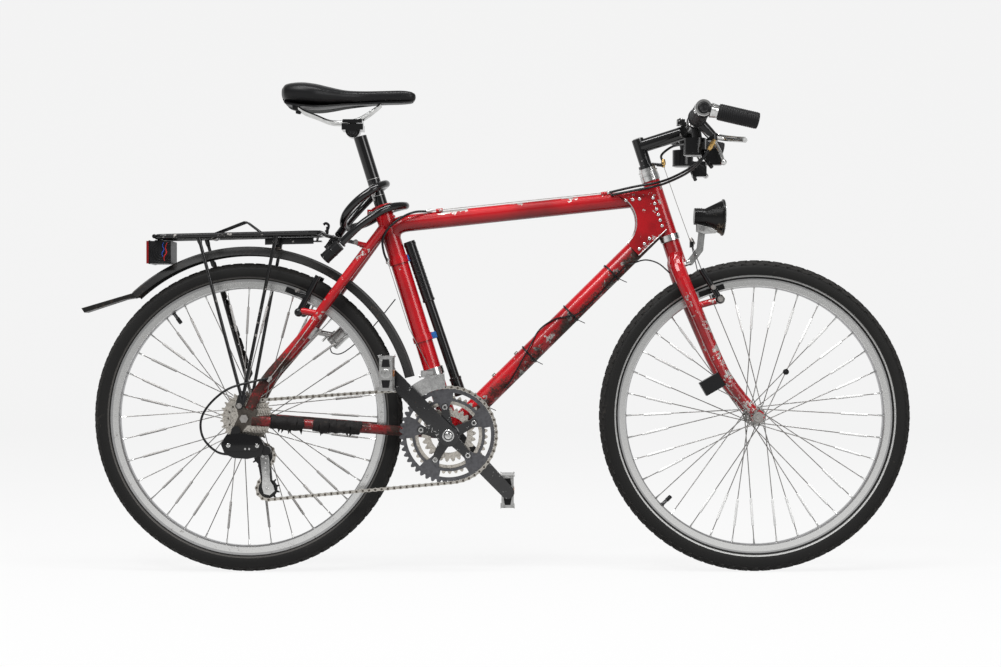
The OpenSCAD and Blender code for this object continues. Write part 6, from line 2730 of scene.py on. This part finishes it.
    def front_cable(self) -> None:
        """The front brake's housing and its bare wire."""
        piece = self.make(
            FRONT_BRAKE_HOUSING.name,
            Body.STEERING,
            "cable_black",
            CABLE_BLACK,
            lambda bm: add_tube(bm, FRONT_BRAKE_HOUSING.path(), FRONT_BRAKE_HOUSING.radius, 12),
            "front_brake_cable",
        )
        lay_cord(FRONT_BRAKE_HOUSING)

        def wires(bm: bmesh.types.BMesh) -> None:
            """Bare wire down to the yoke, and a short barrel where it ends."""
            add_tube(bm, [at(853.4, 0.0, 834.0), at(880.0, 0.0, 757.0), at(908.5, 0.0, 678.0)], 0.65, 6)
            add_turned(
                bm, at(911.0, 0.0, 681.0), Vector((0.34, 0.0, -0.94)),
                [(-6, 2.0), (0, 4.6), (8, 5.2), (10, 4.0)], 14
            )

        self.make("front_brake_wire", Body.STEERING, "steel", STEEL, wires)

    def fork(self) -> None:
        """Axle nuts, brake pivots with their springs, and pad bolts."""

        def bolts(bm: bmesh.types.BMesh) -> None:
            """Bolts on both sides."""
            for side in SIDES:
                out = outward(side)
                add_bolt(bm, at(964.0, side * 58.8, 559.0), out, 5.0, 4.0, True)
                add_bolt(bm, at(950.0, side * 54.0, 583.0), out, 4.2, 3.4, True)
                add_turned(
                    bm, at(1040.0, side * 62.8, 320.0), out,
                    [(0, 10.4), (1.8, 10.4), (1.8, 5.2), (4.4, 4.9), (4.4, 0)], 26
                )
                coil = []
                for k in range(54):
                    a = k * 2 * math.pi / 14
                    coil.append(
                        at(964.0 + 9.4 * math.cos(a), side * (44.0 + 0.16 * k), 559.0 + 9.4 * math.sin(a))
                    )
                add_tube(bm, coil, 0.9, 6)

        self.make("front_brake_bolts", Body.STEERING, "steel", STEEL, bolts)

    def lamp(self) -> None:
        """The lamp's mirror, ribbed glass, bulb, side screws and bracket bolts."""
        tilt = math.radians(2.0)
        ahead = Vector((math.cos(tilt), 0.0, -math.sin(tilt)))
        face = at(916.0, 0.0, 730.0) + ahead * 61.0 * MM

        def glass(bm: bmesh.types.BMesh) -> None:
            """A shallow dome with rings."""
            profile = [(0.1, 34.6), (1.6, 34.6), (2.0, 33.2)]
            for k in range(13):
                r = 32.0 - 2.4 * k
                profile += [(2.2 + 1.5 * (1 - (r / 33) ** 2) + 0.5 * (k % 2), r)]
            add_turned(bm, face, ahead, [*profile, (3.8, 0.0)], 48)

        self.make("headlamp_glass", Body.STEERING, "red_lens", CLEAR_LENS, glass)

        def mirror(bm: bmesh.types.BMesh) -> None:
            """A bright dish behind the glass and the bulb in it."""
            add_turned(
                bm, face, ahead,
                [(-0.4, 33.6), (0.25, 33.6), (0.12, 20.0), (0.1, 6.0), (0.9, 5.4), (1.6, 2.4), (1.8, 0.0)],
                40
            )

        self.make("headlamp_mirror", Body.STEERING, "bare_alloy", MIRROR, mirror)

        def bolts(bm: bmesh.types.BMesh) -> None:
            """The bracket's bolts."""
            for side in SIDES:
                add_bolt(bm, at(932.0, side * 10.4, 705.0), outward(side), 4.6, 3.2, True)
                add_bolt(bm, at(918.0, side * 1.6, 649.0), outward(side), 4.0, 2.2, True)

        self.make("headlamp_bolts", Body.STEERING, "steel", BRIGHT_ALLOY, bolts)

        def side_plate(bm: bmesh.types.BMesh) -> None:
            """The pale plates that hold the lamp's foot on both sides."""
            for side in SIDES:
                y = side * 10.0
                outline = [
                    at(921, y, 714), at(921, y, 699), at(934, y, 694), at(962, y, 696), at(964, y, 703)
                ]
                add_slab(bm, outline, Vector((0.0, side * 1.4 * MM, 0.0)), 0.4)

        self.make("lamp_side_plates", Body.STEERING, "bare_alloy", DULL_ALLOY, side_plate)

        def rim(bm: bmesh.types.BMesh) -> None:
            """The moulded lip and the ribs round the neck."""
            add_turned(
                bm, face, ahead,
                [(-4.6, 36.4), (-4.0, 37.6), (-0.8, 37.8), (0.6, 36.6), (0.6, 34.7), (-0.6, 34.6)], 56
            )
            for k in range(4):
                add_turned(
                    bm, at(918.0 + 4 * k, 0, 730), ahead,
                    [(0, 17.0), (0.5, 17.6), (1.6, 17.6), (2.1, 17.0)], 36
                )

        self.make("headlamp_rim", Body.STEERING, "black_plastic", HORN_BLACK, rim)

    def build(self) -> None:
        """Builds and dresses everything that turns with the fork."""
        self.dress(
            {
                "fork": FORK_RED,
                "front_axle": LINK_DARK,
                "headset_nuts": BRIGHT_ALLOY,
                "stem": GLOSS_BLACK,
                "handlebar": BLACK,
                "grips": SOFT_BLACK,
                "bar_ends": SOFT_BLACK,
                "brake_levers": BRIGHT_ALLOY,
                "shifters": SATIN_BLACK,
                "front_brake": SATIN_BLACK,
                "headlamp": HORN_BLACK,
                "lamp_bracket": BRIGHT_ALLOY,
                "wheel_sensor": MATT_BLACK,
            }
        )
        self.grips()
        self.levers()
        self.stem()
        self.front_cable()
        self.fork()
        self.lamp()


# ---- rack, lamps, pump, lock, rear brake ----

LOCK = Cable(
    "coiled_lock",
    (
        (192.7, -48.5, 672.6),
        (236.0, -52.0, 712.0),
        (285.0, -40.0, 744.0),
        (322.0, 0.0, 752.0),
        (288.0, 42.0, 746.0),
        (236.0, 46.0, 718.0),
        (198.0, 10.0, 708.0),
        (200.0, -30.0, 730.0),
        (226.0, -41.0, 760.0),
        (262.0, -36.0, 786.0),
        (282.0, 0.0, 797.0),
        (264.0, 37.0, 786.0),
        (230.0, 38.0, 752.0),
        (202.0, 16.0, 718.0),
        (184.7, -11.4, 691.0),
    ),
    8.0,
    LOCK_BLACK,
    8,
)


@dataclass
class Fittings(Assembly):
    """The rack, mudguard, rear brake, tail lamp, dynamo, pump and lock."""

    rack_y: float = 58.0
    leg_y: float = 77.0

    def deck(self, x: float) -> float:
        """The height of the rack's rods, which climb a little to the front."""
        return 686.0 + 8.0 * (x + 190.0) / 347.0

    def rack(self) -> None:
        """Weld beads at the rack's rods, feet, bolts and the worn strap on the far legs."""

        def beads(bm: bmesh.types.BMesh) -> None:
            """Short lumps of weld where rods cross."""
            for side in SIDES:
                for x in (-70.0, 60.0, -186.0, 150.0):
                    for y in (22.0, self.rack_y - 3.0):
                        start = at(x, side * y, self.deck(x) + 0.6)
                        add_turned(
                            bm, start - Vector((0.0, 0.004, 0.0)), LEFT, [(0, 3.6), (4, 4.6), (8, 3.6)], 10
                        )
                for x in (-95.0, 61.0):
                    foot = at(x, side * 55.0, self.deck(x) - 6.5)
                    down = at(-4.0, side * self.leg_y, 354.0) - foot
                    add_turned(bm, foot, down, [(-3, 4.8), (5, 5.0), (11, 3.9)], 12)
                flat = at(-4.0, side * self.leg_y, 356.0)
                for x in (-95.0, 61.0):
                    up = at(x, side * 55.0, self.deck(x)) - flat
                    add_turned(bm, flat, up, [(0, 4.4), (12, 4.4), (17, 3.7)], 12)

        self.make("rack_welds", Body.FRAME, "black_paint", BLACK, beads)

        def bolts(bm: bmesh.types.BMesh) -> None:
            """The legs' bolts, the nose's bolts and the hole strap's screws."""
            for side in SIDES:
                out = outward(side)
                add_bolt(bm, at(-10.0, side * 82.4, 343.0), out, 4.6, 3.6, True)
                add_bolt(bm, at(222.0, side * 36.0, 676.0), out, 4.2, 3.2, True)
            for x in (60.0, 124.0):
                add_bolt(bm, at(x, 0.0, self.deck(x) - 12.4), UP, 3.6, 2.2, False)

        self.make("rack_bolts", Body.FRAME, "steel", STEEL, bolts)

        def hole_strip(bm: bmesh.types.BMesh) -> None:
            """An upright strip with a row of eyelets below the deck."""
            outline = [
                at(34.0, -13.4, 671.0), at(134.0, -13.4, 673.0), at(134.0, -13.4, 687.0),
                at(34.0, -13.4, 685.0)
            ]
            add_slab(bm, outline, Vector((0.0, 2.4 * MM, 0.0)), 0.6)
            for k in range(6):
                spot = at(44.0 + 16.0 * k, -13.4, 678.4 + 0.35 * k)
                add_turned(bm, spot, RIGHT, [(0, 4.2), (0.5, 4.0), (0.5, 2.8), (0.1, 2.6), (0.1, 0)], 16)

            hook = [at(157, 0, 698), at(162, 0, 704), at(163.5, 0, 712), at(158, 0, 716), at(153, 0, 713)]
            add_tube(bm, smooth_path(hook, 5), 2.8, 10)

        self.make("rack_hole_strip", Body.FRAME, "black_paint", BLACK, hole_strip)

        def springs(bm: bmesh.types.BMesh) -> None:
            """Coils of the clip's spring round its hinge rod."""
            for side in SIDES:
                path = []
                for k in range(70):
                    a = k * 2 * math.pi / 14
                    path.append(
                        at(
                            -70 + 6.4 * math.cos(a), side * (6.5 + 0.15 * k),
                            self.deck(-70) - 1 + 6.4 * math.sin(a)
                        )
                    )
                add_tube(bm, path, 1.2, 6)

        self.make("clip_springs", Body.RACK_CLIP, "bare_alloy", STEEL, springs)

        def strap(bm: bmesh.types.BMesh) -> None:
            """A flat rubber strap wound down the far leg."""
            low, high = at(-6.0, 74.0, 400.0), at(-84.0, 58.0, 640.0)
            along = (high - low).normalized()
            u = along.cross(LEFT).normalized()
            w = along.cross(u)
            rows = []
            for k in range(160):
                t = k / 159
                a = 2 * math.pi * 9 * t
                out = math.cos(a) * u + math.sin(a) * w
                middle = low.lerp(high, t) + out * 4.9 * MM
                half = along * 9.0 * MM
                rows.append(
                    [
                        bm.verts.new(middle + s * half + out * q * MM) for s,
                        q in ((-1, -0.8), (1, -0.8), (1, 0.8), (-1, 0.8))
                    ]
                )
            for one, two in zip(rows, rows[1:]):
                for k in range(4):
                    bm.faces.new((one[k], one[(k + 1) % 4], two[(k + 1) % 4], two[k]))
            bm.faces.new(rows[0][::-1])
            bm.faces.new(rows[-1])

        self.make("rack_strap", Body.FRAME, "rubber", TAPE, strap)

    def guard(self) -> None:
        """The mudguard's rolled edges, its flap's ribs and the bolt that hangs it."""

        def edges(bm: bmesh.types.BMesh) -> None:
            """Beads along both edges and two low ribs on the crown."""
            for y, r, thick in (
                (-25.4, 333.4, 1.4), (25.4, 333.4, 1.4), (-7.0, 350.0, 0.9), (7.0, 350.0, 0.9)
            ):
                add_tube(bm, [around(REAR, r, 14 + 119 * k / 90, y) for k in range(91)], thick, 8)
            end = around(REAR, 341.5, 133.0)
            along = (around((0.0, 0.0), 1000.0, 195.0) - around((0.0, 0.0), 0.0, 0.0)).normalized()
            for k in range(7):
                start = end + along * (0.014 + 0.012 * k) + Vector((0.0, 0.0, 0.0052 - 0.0006 * k))
                add_tube(bm, [start - Vector((0, 0.019, 0)), start, start + Vector((0, 0.019, 0))], 0.9, 6)

        self.make("mudguard_beads", Body.FRAME, "black_plastic", GUARD_BLACK, edges)

        def hanger(bm: bmesh.types.BMesh) -> None:
            """The bolt that hangs the guard from the rack, its nut and washer."""
            add_bolt(bm, at(60.0, 0.0, 664.5), UP, 6.6, 5.0, True)
            add_turned(bm, at(60.0, 0.0, 660.5), UP, [(0, 10.0), (1.6, 10.0), (2.0, 9.2), (2.0, 7.0)], 22)

        self.make("mudguard_bolt", Body.FRAME, "steel", RUSTY_STEEL, hanger)

    def tail(self) -> None:
        """The broken tail lamp's loose wires, reflector cells, rim and screws."""
        for name, finish, points in (
            (
                "tail_wire_red", RED_WIRE,
                (
                    (-163, -36.8, 674), (-166, -37.8, 664), (-164, -38.0, 654), (-169, -37.8, 645),
                    (-168, -36.8, 637)
                )
            ),
            (
                "tail_wire_blue", BLUE_WIRE,
                (
                    (-170, -36.8, 675), (-172, -37.8, 668), (-169, -38.0, 660), (-173, -37.8, 652),
                    (-171, -36.8, 644)
                )
            ),
        ):
            line = smooth_path([at(*p) for p in points], 8)
            self.make(name, Body.FRAME, "red_lens", finish, lambda bm, q=line: add_tube(bm, q, 1.1, 8))

        def cells(bm: bmesh.types.BMesh) -> None:
            """Small pyramids over the lens."""
            add = 2.0
            for i in range(7):
                for k in range(9):
                    y, z = (i - 3) * 9.4, 655.0 + (k - 4) * 4.4
                    corners = [
                        at(-202.6, y + a * 4.4, z + b * add) for a,
                        b in ((-1, -1), (1, -1), (1, 1), (-1, 1))
                    ]
                    low = [bm.verts.new(c) for c in corners]
                    tip = bm.verts.new(at(-204.4, y, z))
                    for n in range(4):
                        bm.faces.new((low[n], low[(n + 1) % 4], tip))
                    bm.faces.new(low[::-1])

        self.make("tail_reflector", Body.FRAME, "red_lens", RED_LENS, cells)

        def frame(bm: bmesh.types.BMesh) -> None:
            """A rim round the lens, ribs and screws on the housing's sides."""
            for r in (6.0, 11.0, 16.0, 20.5):
                add_tube(
                    bm, [around((-176.0, 655.0), r, 120 + 220 * k / 24, -37.3) for k in range(25)], 1.1, 6
                )
            rim = [at(-199.0, y, z) for y, z in ((-37.2, 632), (37.2, 632), (37.2, 678), (-37.2, 678))]
            add_tube(bm, [*rim], 1.7, 8, closed=True)
            for side in SIDES:
                for z in (638.0, 672.0):
                    add_bolt(bm, at(-160.0, side * 37.0, z), outward(side), 2.8, 1.2, False)

        self.make("tail_rim", Body.FRAME, "black_plastic", SATIN_BLACK, frame)

    def dynamo(self) -> None:
        """The dynamo's ribbed roller, its seams, lever and wire."""
        low, top = at(166.0, 46.0, 467.0), at(200.0, 44.0, 499.0)
        axis = (top - low).normalized()

        def body(bm: bmesh.types.BMesh) -> None:
            """Rings round the housing and a spring lever."""
            for far in (2.0, 10.0, 36.0, 44.0):
                add_turned(
                    bm, low + axis * far * MM, axis, [(-1.2, 14.5), (-0.4, 15.4), (0.4, 15.4), (1.2, 14.5)],
                    32
                )
            lever = [
                low + axis * 0.02 + Vector((-0.008, 0.006, 0.013)), low + Vector((-0.012, 0.006, 0.014))
            ]
            add_tube(bm, [*lever, low + Vector((-0.020, 0.004, 0.006))], 2.4, 8)

        self.make("dynamo_rings", Body.FRAME, "bare_alloy", DULL_ALLOY, body)

        def roller(bm: bmesh.types.BMesh) -> None:
            """A knurled drum."""
            for k in range(26):
                a = 2 * math.pi * k / 26
                u = axis.orthogonal().normalized()
                out = math.cos(a) * u + math.sin(a) * axis.cross(u)
                base = top + axis * 0.007 + out * 0.009
                add_tube(bm, [base, base + axis * 0.008], 0.75, 5)

        self.make("dynamo_roller", Body.FRAME, "steel", STEEL, roller)

        wire = smooth_path(
            [at(162, 40, 462), at(170, 30, 448), at(196, 24, 452), at(250, 30, 500), at(300, 20, 560)], 8
        )
        self.make(
            "dynamo_wire", Body.FRAME, "cable_black", CABLE_BLACK, lambda bm: add_tube(bm, wire, 1.2, 8)
        )

    def pump(self) -> None:
        """Ribs of the pump's handle, its collars and the clips' bands."""
        low, top = at(436.0, 0.0, 362.0), at(329.0, 0.0, 678.0)
        axis = (top - low).normalized()
        long = (top - low).length / MM

        def ribs(bm: bmesh.types.BMesh) -> None:
            """Ridges on the handle, the head's lever and the end cap."""
            for k in range(11):
                add_turned(
                    bm, low + axis * (0.66 * long + 8 + 8 * k) * MM, axis,
                    [(-1.6, 12.0), (-0.8, 12.7), (0.8, 12.7), (1.6, 12.0)], 24
                )
            for far, r in ((0.62 * long, 12.9), (36.0, 12.8), (long - 6, 12.8), (4.0, 12.8)):
                add_turned(
                    bm, low + axis * far * MM, axis, [(-3, r - 0.9), (-2, r), (2, r), (3, r - 0.9)], 26
                )

        self.make("pump_ribs", Body.FRAME, "black_plastic", SATIN_BLACK, ribs)

        def clips(bm: bmesh.types.BMesh) -> None:
            """Raised edges of the blue bands, with a hook in front."""
            axis_up = seat(500.0) - seat(400.0)
            for s in (205.0, 372.0):
                for side in (-6.6, 6.6):
                    block = [
                        seat(s + u, w, side) for u,
                        w in ((-6.6, 18.8), (6.6, 18.8), (6.6, 31.0), (-6.6, 31.0))
                    ]
                    add_slab(bm, block, Vector((0.0, 1.4 * MM, 0.0)), 0.4)
                add_turned(bm, seat(s - 7.0, 25.0), axis_up, [(0, 6.0), (14.0, 6.0)], 20)

        self.make("pump_clip_bands", Body.FRAME, "black_plastic", BLUE, clips)

    def lock(self) -> None:
        """The lock's cable in its clear-coated sleeve and the barrels' collars and key face."""
        piece = self.make(
            LOCK.name, Body.FRAME, "rubber", LOCK.finish, lambda bm: add_tube(
                bm, LOCK.path(), LOCK.radius, 20
            ), "lock_cable"
        )
        lay_cord(LOCK)

        def collars(bm: bmesh.types.BMesh) -> None:
            """Rings on the barrels, and the key's slot."""
            one = at(190.0, -47.5, 669.5) - at(160.0, -42.0, 642.0)
            two = at(181.5, -10.0, 686.0) - at(164.0, -8.0, 662.0)
            for start, axis, r in (
                (at(160.0, -42.0, 642.0), one, 12.2), (at(164.0, -8.0, 662.0), two, 10.2)
            ):
                long = axis.length / MM
                for far in (0.0, long * 0.55, long + 6):
                    lip = r if far < long else r - 2.6
                    add_turned(
                        bm, start + axis.normalized() * far * MM, axis,
                        [(-1.6, lip), (-0.8, lip + 0.7), (0.8, lip + 0.7), (1.6, lip)], 26
                    )
            key = at(160.0, -42.0, 642.0) + one.normalized() * 0.3 * MM
            add_turned(bm, key, -one, [(0, 7.0), (0.9, 6.6), (0.9, 4.6), (0.2, 4.4), (0.2, 0)], 22)

        self.make("lock_collars", Body.FRAME, "black_metal", SATIN_BLACK, collars)

    def rear_brake(self) -> None:
        """The rear brake's pivot bolts."""

        def bolts(bm: bmesh.types.BMesh) -> None:
            """A bolt on each arm."""
            for side in SIDES:
                out = outward(side)
                add_bolt(bm, at(103.0, side * 33.0, 576.0), out, 4.2, 3.4, True)

        self.make("rear_brake_bolts", Body.FRAME, "steel", STEEL, bolts)

    def build(self) -> None:
        """Builds and dresses the fittings."""
        self.dress(
            {
                "rack_deck": BLACK,
                "rack_legs": BLACK,
                "rack_clip": SATIN_BLACK,
                "mudguard": GUARD_BLACK,
                "rear_brake": SATIN_BLACK,
                "tail_lamp": MATT_BLACK,
                "tail_lens": RED_LENS,
                "dynamo": DULL_ALLOY,
                "pump": SATIN_BLACK,
                "pump_clips": SEAT_RED,
                "lock_barrel": MATT_BLACK,
            }
        )
        self.rack()
        self.guard()
        self.tail()
        self.dynamo()
        self.pump()
        self.lock()
        self.rear_brake()


# ---- stage ----


@dataclass
class Studio:
    """The floor, the backdrop, the lamps and the camera."""

    ground: float = -0.988
    paper: float = 0.93

    def sheet_material(self) -> bpy.types.Material:
        """Pale paper that shows as one even tone and still takes the object's shadow."""
        material = bpy.data.materials.new("studio_paper")
        material.use_nodes = True
        material.node_tree.nodes.clear()
        g = Graph(material.node_tree)
        out = g.add("ShaderNodeOutputMaterial")
        matt = g.add("ShaderNodeBsdfDiffuse", None, {"Color": (0.09, 0.09, 0.09)})
        path = g.add("ShaderNodeLightPath").outputs
        seen = g.maths("MAXIMUM", path["Is Camera Ray"], path["Is Glossy Ray"])
        seen = g.maths("MAXIMUM", seen, path["Is Transmission Ray"])
        glow = g.add(
            "ShaderNodeEmission",
            None,
            {"Color": (1.0, 1.0, 1.0), "Strength": g.maths("MULTIPLY", seen, 0.87)},
        )
        both = g.add("ShaderNodeAddShader", None, {0: matt.outputs[0], 1: glow.outputs[0]})
        g.put(out.inputs["Surface"], both.outputs[0])
        return material

    def sweep(self) -> None:
        """A floor that curves up into a backdrop, far behind."""
        outline = [(-9.0, 0.0), (6.0, 0.0)]
        for k in range(1, 13):
            a = math.radians(90 * k / 12)
            outline.append((6.0 + 2.5 * math.sin(a), 2.5 * (1 - math.cos(a))))
        outline.append((8.5, 9.0))
        mesh = bpy.data.meshes.new("studio_sweep")
        points = [(x, y, z + self.ground) for y, z in outline for x in (-14.0, 14.0)]
        faces = [(2 * i, 2 * i + 1, 2 * i + 3, 2 * i + 2) for i in range(len(outline) - 1)]
        mesh.from_pydata(points, [], faces)
        for face in mesh.polygons:
            face.use_smooth = True
        mesh.materials.append(self.sheet_material())
        made = bpy.data.objects.new("studio_sweep", mesh)
        bpy.context.scene.collection.objects.link(made)

    def lamp(self, name: str, place: tuple, aim: tuple, size: float, tall: float, power: float) -> None:
        """A soft box, size wide and tall high, that looks at a point.

        Args:
            name: The lamp's name.
            place: Its position.
            aim: The point that it looks at.
            size: Its width.
            tall: Its height.
            power: Its power in watts.
        """
        light = bpy.data.lights.new(name, "AREA")
        light.shape = "RECTANGLE"
        light.size = size
        light.size_y = tall
        light.energy = power
        made = bpy.data.objects.new(name, light)
        made.location = place
        made.rotation_euler = (Vector(aim) - Vector(place)).to_track_quat("-Z", "Y").to_euler()
        bpy.context.scene.collection.objects.link(made)

    def world(self) -> None:
        """A plain grey sky for soft light, white to the camera."""
        world = bpy.data.worlds.new("studio_sky")
        world.use_nodes = True
        world.node_tree.nodes.clear()
        g = Graph(world.node_tree)
        out = g.add("ShaderNodeOutputWorld")
        path = g.add("ShaderNodeLightPath").outputs
        strength = g.lerp(path["Is Camera Ray"], 0.30, self.paper)
        sky = g.add("ShaderNodeBackground", None, {"Color": (1.0, 1.0, 1.0), "Strength": strength})
        g.put(out.inputs["Surface"], sky.outputs[0])
        bpy.context.scene.world = world

    def camera(self) -> None:
        """The camera, square to the bicycle's right side."""
        data = bpy.data.cameras.new("camera")
        data.lens = 69.85
        data.sensor_width = 36.0
        data.clip_end = 60.0
        made = bpy.data.objects.new("camera", data)
        made.location = at(517.5, -4000.0, 489.0)
        made.rotation_euler = (math.radians(90.0), 0.0, 0.0)
        bpy.context.scene.collection.objects.link(made)
        bpy.context.scene.camera = made

    def build(self) -> None:
        """Sets up the whole studio."""
        scene = bpy.context.scene
        scene.view_settings.view_transform = "Standard"
        self.camera()
        self.sweep()
        self.world()
        self.lamp("key", (-1.4, -2.8, 2.6), (0.2, 0.0, -0.4), 2.2, 1.0, 105.0)
        self.lamp("fill", (2.8, -2.8, 0.8), (0.3, 0.0, -0.5), 1.6, 1.6, 42.0)
        self.lamp("top", (0.3, -1.0, 2.9), (0.3, 0.0, -0.4), 3.4, 0.4, 95.0)


def main() -> None:
    """Builds every sub-assembly in order."""
    logging.basicConfig(level=logging.INFO, format="%(name)s: %(message)s")
    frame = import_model()
    Studio().build()
    shop, repeat = Shop(), Repeater()
    base = (frame, shop, repeat)
    assemblies: list[Assembly] = [
        Wheel(*base),
        Wheel(
            *base,
            end="rear",
            axle=REAR,
            body=Body.REAR_WHEEL,
            outer=317.0,
            width=38.0,
            flange_left=35.0,
            flange_right=-20.0,
            hub_r=23.0,
            valve=126.0,
            stick=GREY_STICK,
            stick_share=0.9,
        ),
        FrameParts(*base),
        Drive(*base),
        Saddle(*base),
        Cockpit(*base),
        Fittings(*base),
    ]
    for assembly in assemblies:
        assembly.build()
        log.info("built %s", type(assembly).__name__)


if __name__ == "__main__":
    main()
